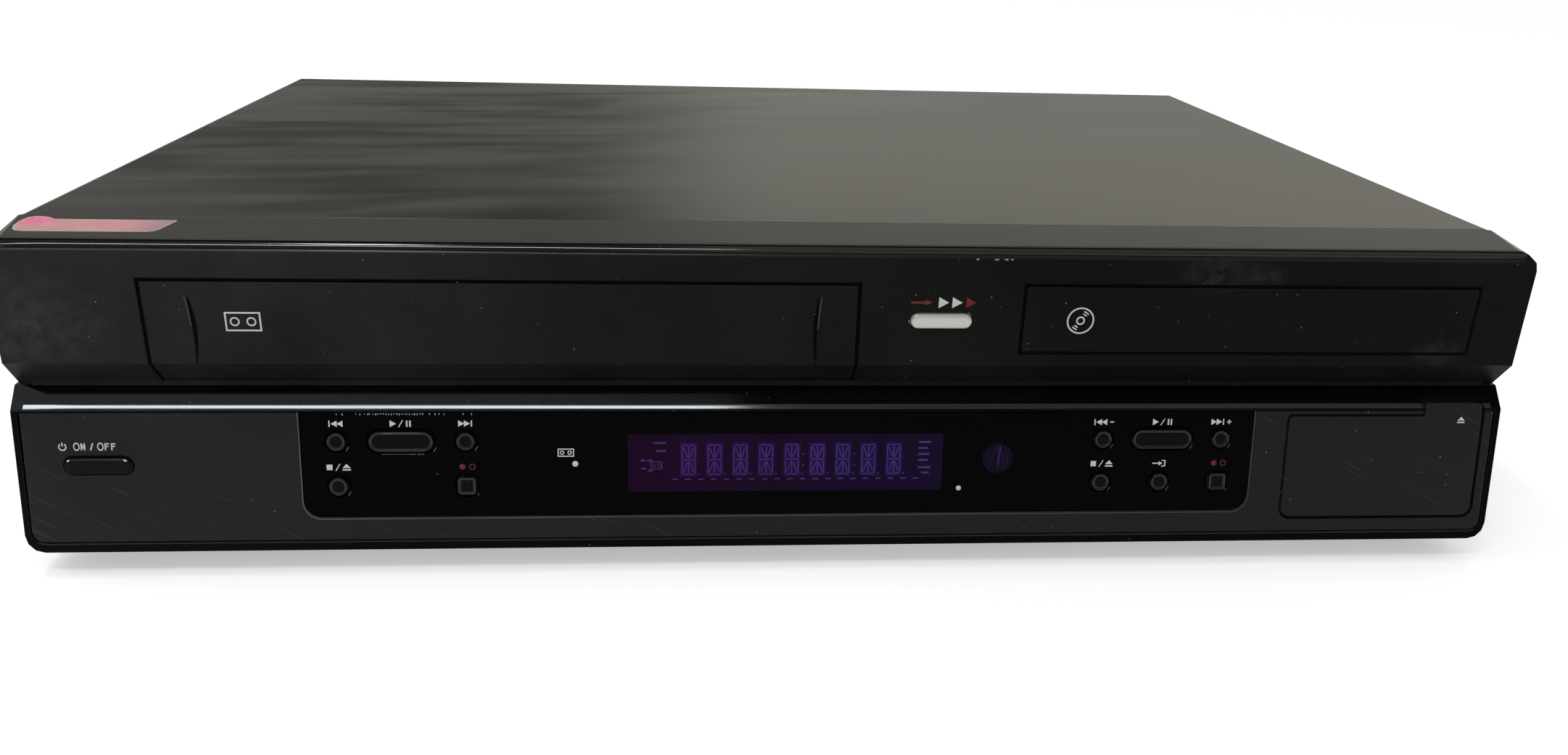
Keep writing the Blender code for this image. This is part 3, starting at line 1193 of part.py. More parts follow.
def make_rear_panel(finish, parent):
    """Steel back with the fan grille and an opening for each connector."""
    half = PLAYER_WIDTH / 2 - COVER_STEEL - GAP
    back = COVER_BACK - PANEL_INSET
    front = back - PANEL_STEEL
    low = FOOT_HEIGHT + GAP
    outline = rounded_rectangle(-half, half, low, PLAYER_HEIGHT - COVER_STEEL - GAP, 0, COVER_BEND)
    shape = prism(outline, "Y", front, back)
    cuts = []
    for z in aerial_heights():
        hole = rod(AERIAL_RADIUS + GAP, -OVERRUN, OVERRUN)
        cuts.append(moved(turned_to(hole, "Y"), (TUNER_LEFT + TUNER_RIGHT) / 2, back, z))
    for x, z in phono_places():
        hole = rod(JACK_RADIUS + GAP, -OVERRUN, OVERRUN, CORNER_STEPS * 4)
        cuts.append(moved(turned_to(hole, "Y"), x, back, z))
    cuts.append(block(
        (INLET_X - INLET_WIDTH / 2 - GAP, INLET_X + INLET_WIDTH / 2 + GAP), (front - OVERRUN, back + OVERRUN),
        (INLET_Z - INLET_HEIGHT / 2 - GAP, INLET_Z + INLET_HEIGHT / 2 + GAP)))
    bar = FAN_SIZE / GRILLE_SLOTS / 2
    for index in range(GRILLE_SLOTS):
        z = FAN_Z - FAN_SIZE / 2 + bar * (2 * index + 0.5)
        reach = math.sqrt(max(FAN_BORE ** 2 - (z + bar / 2 - FAN_Z) ** 2, 0))
        cuts.append(block((FAN_X - reach, FAN_X + reach), (front - OVERRUN, back + OVERRUN), (z, z + bar)))
    shape = cut(shape, *cuts)
    return piece("rear_panel", shape, finish, parent)


def make_foot(name, x, y, finish, parent):
    """Round foot with a soft pad, its flat underside on the floor."""
    profile = [
        (0, 0), (FOOT_NECK, 0), (FOOT_NECK, FOOT_PAD), (FOOT_RADIUS, FOOT_PAD + OVERLAP),
        (FOOT_RADIUS, FOOT_HEIGHT), (0, FOOT_HEIGHT)]
    return piece(name, moved(turned(profile), x, y), finish, parent)


# Tape deck

def make_deck_plate(finish, parent):
    """Steel chassis of the tape deck: plate, slotted side walls, legs and posts."""
    low = DECK_TOP - DECK_STEEL
    motor_side = LOADING_PITCH_X + LOADING_TEETH * LOADING_MODULE / 2 + MOTOR_RADIUS
    shape = block(
        (DECK_MIDDLE - DECK_HALF, DECK_MIDDLE + DECK_HALF), (DECK_FRONT, DECK_BACK), (low, DECK_TOP))
    wing = block(
        (DECK_MIDDLE + DECK_HALF - OVERLAP * 2, motor_side),
        (LOADING_Y - MOTOR_RADIUS, LOADING_Y + MOTOR_RADIUS),
        (low, DECK_TOP))
    parts = [wing]
    for way in (-1, 1):
        edge = DECK_MIDDLE + way * DECK_HALF
        wall_x = sorted((edge, edge - way * DECK_STEEL))
        parts.append(block(wall_x, (DECK_FRONT, DECK_WALL_BACK), (low, DECK_WALL_TOP)))
        for y in (DECK_FRONT, DECK_BACK - DECK_LEG):
            leg_x = sorted((edge, edge - way * DECK_LEG))
            parts.append(block(leg_x, (y, y + DECK_LEG),
                (FOOT_HEIGHT + PAN_STEEL + 2 * GAP, DECK_TOP - DECK_STEEL / 2)))
    for way in (-1, 1):
        parts.append(post(DECK_MIDDLE + way * REEL_HALF_SPAN, REEL_Y, low, REEL_TOP - REEL_DISC / 2,
            POST_RADIUS))
    parts.append(post(PINCH_PIVOT_X, PINCH_PIVOT_Y, low, PINCH_ARM_HIGH + POST_RADIUS, POST_RADIUS))
    shape = fused(shape, *parts)
    cuts = []
    rail = (RAIL_LOW - GAP, RAIL_HIGH + GAP)
    cuts.append(block(
        (DECK_MIDDLE - DECK_HALF - OVERRUN, DECK_MIDDLE + DECK_HALF + OVERRUN - OVERRUN / 2),
        (DECK_FRONT + 2 * DECK_STEEL, RACK_BACK + HOLDER_IN + DECK_STEEL), rail))
    cuts.append(moved(rod(CAPSTAN_RADIUS + GAP, low - OVERRUN, DECK_TOP + OVERRUN), CAPSTAN_X, CAPSTAN_Y))
    cuts.append(moved(
        rod(MOTOR_SHAFT + 2 * GAP, low - OVERRUN, DECK_TOP + OVERRUN),
        LOADING_PITCH_X + LOADING_TEETH * LOADING_MODULE / 2, LOADING_Y))
    shape = cut(shape, *cuts)
    shape = cut(shape, guide_slot(-1, low), guide_slot(1, low))
    return piece("deck_plate", shape, finish, parent)


def guide_path(way):
    """Rest and end of a tape guide's base on its slot."""
    rest = Vector((DECK_MIDDLE + way * GUIDE_REST_OFFSET, GUIDE_REST_Y, 0))
    end = Vector((DECK_MIDDLE + way * GUIDE_END_OFFSET, GUIDE_END_Y, 0))
    return rest, end


def guide_slot(way, low):
    """The slot in the deck plate that a tape guide slides along."""
    rest, end = guide_path(way)
    length = (end - rest).length
    width = 2 * (GUIDE_PIN + GAP)
    slot = prism(capsule(length / 2, 0, length + width, width), "Z", low - OVERRUN, DECK_TOP + OVERRUN)
    angle = math.atan2(end.y - rest.y, end.x - rest.x)
    bmesh.ops.transform(slot, matrix=Matrix.Rotation(angle, 4, "Z"), verts=slot.verts)
    return moved(slot, rest.x, rest.y)


def make_holder(finish, parent):
    """Cassette holder: lid, sides and floor ledges folded from sheet, stops behind, pins at the sides."""
    left = DECK_MIDDLE - HOLDER_HALF
    right = DECK_MIDDLE + HOLDER_HALF
    inner = HOLDER_HALF - HOLDER_SHEET
    ledge = HOLDER_HALF - HOLDER_LEDGE
    ledge_top = HOLDER_FLOOR + HOLDER_SHEET
    lid_low = HOLDER_TOP - HOLDER_SHEET
    fold = [
        (left, HOLDER_FLOOR), (DECK_MIDDLE - ledge, HOLDER_FLOOR), (DECK_MIDDLE - ledge, ledge_top),
        (DECK_MIDDLE - inner, ledge_top), (DECK_MIDDLE - inner, lid_low), (DECK_MIDDLE + inner, lid_low),
        (DECK_MIDDLE + inner, ledge_top), (DECK_MIDDLE + ledge, ledge_top),
        (DECK_MIDDLE + ledge, HOLDER_FLOOR),
        (right, HOLDER_FLOOR), (right, HOLDER_TOP), (left, HOLDER_TOP)]
    shape = prism(fold, "Y", HOLDER_FRONT, HOLDER_BACK)
    lid_end = block(
        (left + HOLDER_STOP, right - HOLDER_STOP), (HOLDER_LID_BACK, HOLDER_BACK + OVERRUN),
        (lid_low - HOLDER_SHEET, HOLDER_TOP + HOLDER_SHEET))
    shape = cut(shape, lid_end)
    parts = []
    for edge, way in ((left, 1), (right, -1)):
        parts.append(block(
            sorted((edge + way * HOLDER_SHEET / 2, edge + way * (HOLDER_STOP - HOLDER_SHEET))),
            (HOLDER_BACK - HOLDER_SHEET * 2, HOLDER_BACK - HOLDER_SHEET),
            (HOLDER_FLOOR + HOLDER_SHEET / 2, HOLDER_TOP - HOLDER_SHEET / 2)))
        for y in (HOLDER_PIN_FRONT, HOLDER_PIN_BACK):
            ends = sorted((edge + way * HOLDER_SHEET / 2, edge - way * HOLDER_PIN_LENGTH))
            pin = rod(HOLDER_PIN, ends[0], ends[1], CORNER_STEPS * 3)
            parts.append(moved(turned_to(pin, "X"), 0, y, HOLDER_PIN_Z))
    shape = fused(shape, *parts)
    return piece("cassette_holder", shape, finish, parent, (DECK_MIDDLE, HOLDER_FRONT, HOLDER_PIN_Z))


def make_carriage(finish, parent):
    """Carriage that brings the holder in: side plates with upright slots, cross bar, and a toothed rail."""
    inner = HOLDER_HALF + CARRIAGE_GAP
    outer = inner + CARRIAGE_SHEET
    bar_low = CARRIAGE_TOP - CARRIAGE_BAR_SHEET
    shape = block(
        (DECK_MIDDLE - outer, DECK_MIDDLE + outer), (CARRIAGE_BAR_FRONT, CARRIAGE_BAR_BACK),
        (bar_low, CARRIAGE_TOP))
    parts = []
    for way in (-1, 1):
        plate_x = sorted((DECK_MIDDLE + way * inner, DECK_MIDDLE + way * outer))
        parts.append(block(plate_x, (CARRIAGE_FRONT, CARRIAGE_BACK), (CARRIAGE_LOW, CARRIAGE_TOP)))
    left_edge = DECK_MIDDLE - outer
    parts.append(block(
        (left_edge - RAIL_LEFT_REACH, left_edge + CARRIAGE_SHEET / 2), (RACK_FRONT, RACK_BACK),
        (RAIL_LOW, RAIL_HIGH)))
    right_edge = DECK_MIDDLE + outer
    spine = LOADING_PITCH_X - 1.25 * LOADING_MODULE - right_edge + CARRIAGE_SHEET / 2
    teeth = rack_outline(LOADING_PITCH_X, spine, RACK_FRONT, RACK_BACK, LOADING_MODULE, LOADING_Y)
    parts.append(prism(teeth, "Z", RAIL_LOW, RAIL_HIGH))
    shape = fused(shape, *parts)
    slots = []
    for y in (HOLDER_PIN_FRONT, HOLDER_PIN_BACK):
        reach = HOLDER_PIN + GAP
        low = HOLDER_PIN_Z - HOLDER_DOWN - reach
        high = HOLDER_PIN_Z + reach
        outline = [(y - reach, low), (y + reach, low), (y + reach, high), (y - reach, high)]
        for way in (-1, 1):
            near = DECK_MIDDLE + way * (inner - OVERLAP)
            far = DECK_MIDDLE + way * (outer + OVERLAP)
            slots.append(prism(outline, "X", min(near, far), max(near, far)))
    shape = cut(shape, *slots)
    return piece("cassette_carriage", shape, finish, parent, (DECK_MIDDLE, CARRIAGE_FRONT, CARRIAGE_LOW))


def make_loading_gear(finish, parent):
    """Gear that drives the carriage's toothed rail, with a bore on the loading motor's shaft."""
    x = LOADING_PITCH_X + LOADING_TEETH * LOADING_MODULE / 2
    shape = prism(gear_outline(LOADING_TEETH, LOADING_MODULE), "Z", RAIL_LOW, RAIL_HIGH)
    hub = rod(MOTOR_SHAFT * 2.5, DECK_TOP + GAP, RAIL_LOW + OVERLAP)
    shape = cut(fused(shape, hub), rod(MOTOR_SHAFT + GAP, 0, PLAYER_HEIGHT))
    return piece("loading_gear", moved(shape, x, LOADING_Y), finish, parent, (x, LOADING_Y, RAIL_LOW))


def make_loading_motor(finish, parent):
    """Motor that hangs under the deck plate and carries the loading gear on its shaft."""
    x = LOADING_PITCH_X + LOADING_TEETH * LOADING_MODULE / 2
    high = DECK_TOP - DECK_STEEL - GAP
    low = high - MOTOR_HEIGHT
    profile = [
        (0, low), (MOTOR_RADIUS, low), (MOTOR_RADIUS, high), (MOTOR_SHAFT, high),
        (MOTOR_SHAFT, RAIL_HIGH + GAP),
        (0, RAIL_HIGH + GAP)]
    return piece("loading_motor", moved(turned(profile), x, LOADING_Y), finish, parent)


def make_drum(finish, rotor_finish, parent):
    """Tilted head drum: a base on a bracket, and the rotor with its head windows above it."""
    tilted = empty(
        "drum_frame", parent,
        Matrix.Translation((DECK_MIDDLE, DRUM_Y, DRUM_SPLIT)) @ Matrix.Rotation(-DRUM_TILT, 4, "X"))
    low = DRUM_BASE_LOW - DRUM_SPLIT
    base = rod(DRUM_RADIUS, low, 0, FINE_STEPS)
    level = Matrix.Rotation(DRUM_TILT, 4, "X") @ Matrix.Translation((0, 0, DECK_TOP + GAP - DRUM_SPLIT))
    stand = block(
        (-DRUM_FOOT_HALF, DRUM_FOOT_HALF), (-DRUM_FOOT_HALF / 2, DRUM_FOOT_HALF),
        (0, DRUM_BASE_LOW - DECK_TOP + DRUM_WALL))
    bmesh.ops.transform(stand, matrix=level, verts=stand.verts)
    bore = rod(DRUM_SHAFT + GAP, low + DRUM_WALL * 2 - GAP, OVERRUN)
    base = cut(fused(base, stand), bore)
    piece("drum_base", base, finish, tilted)
    top = DRUM_TOP - DRUM_SPLIT
    rotor_profile = [
        (0, low + DRUM_WALL * 2), (DRUM_SHAFT, low + DRUM_WALL * 2), (DRUM_SHAFT, GAP), (DRUM_RADIUS, GAP),
        (DRUM_RADIUS, top), (DRUM_RADIUS - DRUM_WALL, top), (DRUM_RADIUS - DRUM_WALL, top - DRUM_WALL),
        (DRUM_WALL * 2, top - DRUM_WALL), (DRUM_WALL * 2, top - GAP), (0, top - GAP)]
    rotor = turned(rotor_profile, FINE_STEPS)
    windows = []
    for turn in (0, 90, 180, 270):
        window = block(
            (DRUM_RADIUS - DRUM_WALL / 3, DRUM_RADIUS + OVERRUN), (-DRUM_WALL / 3, DRUM_WALL / 3),
            (-OVERRUN, DRUM_WALL / 3))
        bmesh.ops.transform(window, matrix=Matrix.Rotation((turn + 45) * DEGREE, 4, "Z"), verts=window.verts)
        windows.append(window)
    rotor = cut(rotor, *windows)
    piece("drum_rotor", rotor, rotor_finish, tilted)


def make_capstan(finish, parent):
    """Capstan shaft through the deck plate, with its flywheel below."""
    profile = [
        (0, FLYWHEEL_LOW), (FLYWHEEL_RADIUS, FLYWHEEL_LOW), (FLYWHEEL_RADIUS, FLYWHEEL_HIGH),
        (CAPSTAN_RADIUS, FLYWHEEL_HIGH), (CAPSTAN_RADIUS, CAPSTAN_TOP), (0, CAPSTAN_TOP)]
    shape = turned(profile, FINE_STEPS // 2)
    return piece(
        "capstan", moved(shape, CAPSTAN_X, CAPSTAN_Y), finish, parent, (CAPSTAN_X, CAPSTAN_Y, FLYWHEEL_LOW))


def make_pinch(arm_finish, roller_finish, parent):
    """Pinch arm on its post, and the rubber roller on the arm's axle."""
    span = Vector((PINCH_AXLE_X - PINCH_PIVOT_X, PINCH_AXLE_Y - PINCH_PIVOT_Y))
    arm = prism(
        capsule(span.length / 2, 0, span.length + 2 * PINCH_ARM_HALF, 2 * PINCH_ARM_HALF), "Z",
        PINCH_ARM_LOW, PINCH_ARM_HIGH)
    hub = rod(PINCH_ARM_HALF - GAP, DECK_TOP + GAP, PINCH_ARM_LOW + OVERLAP)
    axle = moved(rod(PINCH_AXLE, PINCH_ARM_LOW + OVERLAP, PINCH_ROLLER_TOP + GAP, CORNER_STEPS * 3),
        span.length)
    arm = fused(arm, hub, axle)
    arm = cut(arm, rod(POST_RADIUS + GAP, 0, PLAYER_HEIGHT))
    turn = Matrix.Rotation(math.atan2(span.y, span.x), 4, "Z")
    bmesh.ops.transform(arm, matrix=turn, verts=arm.verts)
    pivot = (PINCH_PIVOT_X, PINCH_PIVOT_Y, PINCH_ARM_LOW)
    piece("pinch_arm", moved(arm, PINCH_PIVOT_X, PINCH_PIVOT_Y), arm_finish, parent, pivot)
    low = PINCH_ARM_HIGH + GAP
    profile = [
        (PINCH_AXLE + GAP, low), (PINCH_ROLLER, low), (PINCH_ROLLER, PINCH_ROLLER_TOP),
        (PINCH_AXLE + GAP, PINCH_ROLLER_TOP)]
    roller = moved(turned(profile, closed=True), PINCH_AXLE_X, PINCH_AXLE_Y)
    piece("pinch_roller", roller, roller_finish, parent, (PINCH_AXLE_X, PINCH_AXLE_Y, low))


def make_reel(name, way, finish, parent):
    """Reel table: a disc with a splined hub that turns on a post of the deck plate."""
    x = DECK_MIDDLE + way * REEL_HALF_SPAN
    bore = POST_RADIUS + GAP
    profile = [
        (bore, REEL_LOW), (REEL_RADIUS, REEL_LOW), (REEL_RADIUS, REEL_LOW + REEL_DISC),
        (REEL_HUB, REEL_LOW + REEL_DISC), (REEL_HUB, REEL_TOP - REEL_SPLINE_REACH), (bore, REEL_TOP)]
    shape = turned(profile, closed=True)
    for index in range(REEL_SPLINES):
        spline = block(
            (REEL_HUB - OVERLAP * 2, REEL_HUB + REEL_SPLINE_REACH), (-REEL_SPLINE_HALF, REEL_SPLINE_HALF),
            (REEL_LOW + REEL_DISC / 2, REEL_TOP - REEL_SPLINE_REACH * 2))
        turn = Matrix.Rotation((index + 0.5) * 2 * math.pi / REEL_SPLINES, 4, "Z")
        bmesh.ops.transform(spline, matrix=turn, verts=spline.verts)
        shape = fused(shape, spline)
    return piece(name, moved(shape, x, REEL_Y), finish, parent, (x, REEL_Y, REEL_LOW))


def make_guide(name, way, finish, parent):
    """Tape guide: a post on a base that slides in its slot of the deck plate."""
    rest, _ = guide_path(way)
    base_low = DECK_TOP + GAP
    profile = [
        (0, DECK_TOP - 2 * DECK_STEEL), (GUIDE_PIN, DECK_TOP - 2 * DECK_STEEL), (GUIDE_PIN, base_low),
        (GUIDE_BASE, base_low), (GUIDE_BASE, base_low + GUIDE_POST), (GUIDE_POST, base_low + GUIDE_POST),
        (GUIDE_POST, GUIDE_TOP - GUIDE_POST), (GUIDE_CAP, GUIDE_TOP - GUIDE_POST), (GUIDE_CAP, GUIDE_TOP),
        (0, GUIDE_TOP)]
    shape = moved(turned(profile, CORNER_STEPS * 4), rest.x, rest.y)
    return piece(name, shape, finish, parent, (rest.x, rest.y, base_low))


# Disc loader

def loader_x(offset):
    """An x place given from the loader's middle."""
    return LOADER_MIDDLE + offset


def make_loader_frame(finish, parent):
    """Plastic frame of the disc loader: tub open above, tray ledges and hooks, legs to the pan."""
    inner = TRAY_HALF + GAP
    outer = inner + LOADER_WALL
    shape = block((loader_x(-outer), loader_x(outer)), (LOADER_FRONT, LOADER_BACK), (LOADER_LOW, LOADER_TOP))
    floor = LOADER_LOW + LOADER_FLOOR
    hollow = block(
        (loader_x(-inner), loader_x(inner)), (LOADER_FRONT - OVERRUN, LOADER_BACK - LOADER_WALL),
        (floor, LOADER_TOP + OVERRUN))
    well = block(
        (loader_x(-TRAVERSE_HALF - TRAVERSE_EAR), loader_x(TRAVERSE_HALF + TRAVERSE_EAR)),
        (TRAVERSE_FRONT - TRAVERSE_EAR, TRAVERSE_HINGE_Y + TRAVERSE_EAR),
        (LOADER_LOW - OVERRUN, floor + OVERRUN))
    shape = cut(shape, hollow)
    shape = cut(shape, well)
    parts = []
    for way in (-1, 1):
        edge = loader_x(way * (inner + OVERLAP))
        ledge = sorted((edge, loader_x(way * (inner - LEDGE_WIDTH))))
        ledge_top = TRAY_LOW - GAP
        parts.append(block(
            ledge, (LOADER_FRONT, LOADER_BACK - LOADER_WALL + OVERLAP),
            (ledge_top - LEDGE_THICKNESS, ledge_top)))
        hook_low = TRAY_HIGH + GAP
        parts.append(block(
            ledge, (LOADER_FRONT, BRIDGE_FRONT - LOADER_WALL), (hook_low, hook_low + HOOK_THICKNESS)))
        leg = sorted((loader_x(way * outer), loader_x(way * (outer - LOADER_LEG))))
        for y in (LOADER_FRONT + LOADER_LEG_SETBACK, LOADER_BACK - LOADER_LEG):
            parts.append(block(
                leg, (y, y + LOADER_LEG), (FOOT_HEIGHT + PAN_STEEL + 2 * GAP, LOADER_LOW + OVERLAP)))
        ear = sorted((loader_x(way * (TRAVERSE_HALF + GAP * 2)),
            loader_x(way * (TRAVERSE_HALF + TRAVERSE_EAR))))
        ear = (ear[0], ear[1] + OVERLAP) if way > 0 else (ear[0] - OVERLAP, ear[1])
        parts.append(block(
            ear, (TRAVERSE_HINGE_Y - TRAVERSE_EAR, TRAVERSE_HINGE_Y + TRAVERSE_EAR + OVERLAP),
            (LOADER_LOW, TRAVERSE_HINGE_Z + TRAVERSE_EAR)))
    motor_top = floor + OVERLAP
    shape = fused(shape, *parts)
    pin_hole = rod(TRAVERSE_PIN + GAP, loader_x(-TRAY_HALF + LEDGE_WIDTH),
        loader_x(TRAY_HALF - LEDGE_WIDTH), CORNER_STEPS * 3)
    pin_hole = moved(turned_to(pin_hole, "X"), 0, TRAVERSE_HINGE_Y, TRAVERSE_HINGE_Z)
    shaft_hole = moved(rod(MOTOR_SHAFT + 2 * GAP, LOADER_LOW - OVERRUN, motor_top + GAP), pinion_x(),
        PINION_Y)
    shape = cut(shape, pin_hole)
    shape = cut(shape, shaft_hole)
    return piece("loader_frame", shape, finish, parent)


def pinion_x():
    """The x of the tray pinion's axis, in mesh with the tray's rack."""
    return loader_x(RACK_LINE + TRAY_PINION_TEETH * TRAY_MODULE / 2)


def make_disc_tray(finish, parent):
    """Tray with its two disc wells, the slot for the turntable, and the rack under its left side."""
    shape = block((loader_x(-TRAY_HALF), loader_x(TRAY_HALF)), (TRAY_FRONT, TRAY_BACK), (TRAY_LOW, TRAY_HIGH))
    rib_half = TRAY_HALF - TRAY_RIB * 2
    under = block(
        (loader_x(RACK_LINE + TRAY_RIB * 2), loader_x(rib_half)),
        (TRAY_FRONT + TRAY_RIB, TRAY_BACK - TRAY_RIB),
        (TRAY_LOW - OVERRUN, SMALL_WELL_FLOOR - TRAY_SKIN))
    profile = [
        (0, SMALL_WELL_FLOOR), (SMALL_WELL, SMALL_WELL_FLOOR), (SMALL_WELL, DISC_WELL_FLOOR),
        (DISC_WELL, DISC_WELL_FLOOR), (DISC_WELL, TRAY_HIGH + OVERRUN), (0, TRAY_HIGH + OVERRUN)]
    wells = moved(turned(profile, FINE_STEPS), LOADER_MIDDLE, DISC_Y)
    slot = block(
        (loader_x(-SLOT_HALF), loader_x(SLOT_HALF)), (SLOT_FRONT, TRAY_BACK + OVERRUN),
        (TRAY_LOW - OVERRUN, TRAY_HIGH + OVERRUN))
    shape = cut(shape, under)
    shape = cut(shape, wells)
    shape = cut(shape, slot)
    outline = rack_outline(
        loader_x(RACK_LINE), RACK_SPINE, TRAY_FRONT + TRAY_RIB / 2, TRAY_BACK - GAP, TRAY_MODULE, PINION_Y)
    rack = prism(outline, "Z", RACK_LOW, TRAY_LOW + OVERLAP)
    shape = fused(shape, rack)
    return piece("disc_tray", shape, finish, parent, (LOADER_MIDDLE, TRAY_FRONT, TRAY_LOW))


def make_tray_front(finish, parent):
    """Front of the tray, flush with the upper fascia."""
    outline = rounded_rectangle(TRAY_FRONT_LEFT, TRAY_FRONT_RIGHT, TRAY_FRONT_BOTTOM, TRAY_FRONT_TOP, GAP,
        GAP)
    return piece("tray_fascia", prism(outline, "Y", 0, TRAY_FRONT_THICKNESS), finish, parent,
                 (LOADER_MIDDLE, 0, TRAY_FRONT_BOTTOM))


def make_tray_pinion(finish, parent):
    """Pinion in mesh with the tray's rack, on the tray motor's shaft."""
    shape = prism(gear_outline(TRAY_PINION_TEETH, TRAY_MODULE), "Z", PINION_LOW, PINION_HIGH)
    hub = rod(PINION_BORE * 2.5, LOADER_LOW + LOADER_FLOOR + GAP, PINION_LOW + OVERLAP)
    shape = cut(fused(shape, hub), rod(MOTOR_SHAFT + GAP, 0, PLAYER_HEIGHT))
    return piece("tray_pinion", moved(shape, pinion_x(), PINION_Y), finish, parent,
        (pinion_x(), PINION_Y, PINION_LOW))


def make_tray_motor(finish, parent):
    """Geared motor under the loader frame, its shaft up through the pinion."""
    high = LOADER_LOW - GAP
    low = high - MOTOR_HEIGHT
    profile = [
        (0, low), (MOTOR_RADIUS, low), (MOTOR_RADIUS, high), (MOTOR_SHAFT, high),
        (MOTOR_SHAFT, PINION_HIGH + GAP),
        (0, PINION_HIGH + GAP)]
    return piece("tray_motor", moved(turned(profile), pinion_x(), PINION_Y), finish, parent)


def make_clamp_bridge(finish, parent):
    """Steel bridge over the tray, with the hole that holds the clamper."""
    outer = TRAY_HALF + GAP + LOADER_WALL
    low = LOADER_TOP + GAP
    shape = block((loader_x(-outer), loader_x(outer)), (BRIDGE_FRONT, BRIDGE_BACK), (low, low + BRIDGE_SHEET))
    hole = moved(rod(CLAMP_HOLE, low - OVERRUN, low + OVERRUN, FINE_STEPS), LOADER_MIDDLE, DISC_Y)
    return piece("clamp_bridge", cut(shape, hole), finish, parent)


def make_clamper(finish, parent):
    """Clamper that hangs by its flange in the bridge and turns with the disc."""
    seat = LOADER_TOP + BRIDGE_SHEET + 2 * GAP
    profile = [
        (CLAMP_BORE, CLAMP_LOW), (CLAMP_NECK, CLAMP_LOW), (CLAMP_NECK, seat), (CLAMP_FLANGE, seat),
        (CLAMP_FLANGE, CLAMP_TOP), (CLAMP_BORE, CLAMP_TOP)]
    shape = moved(turned(profile, FINE_STEPS, closed=True), LOADER_MIDDLE, DISC_Y)
    return piece("disc_clamper", shape, finish, parent, (LOADER_MIDDLE, DISC_Y, seat))


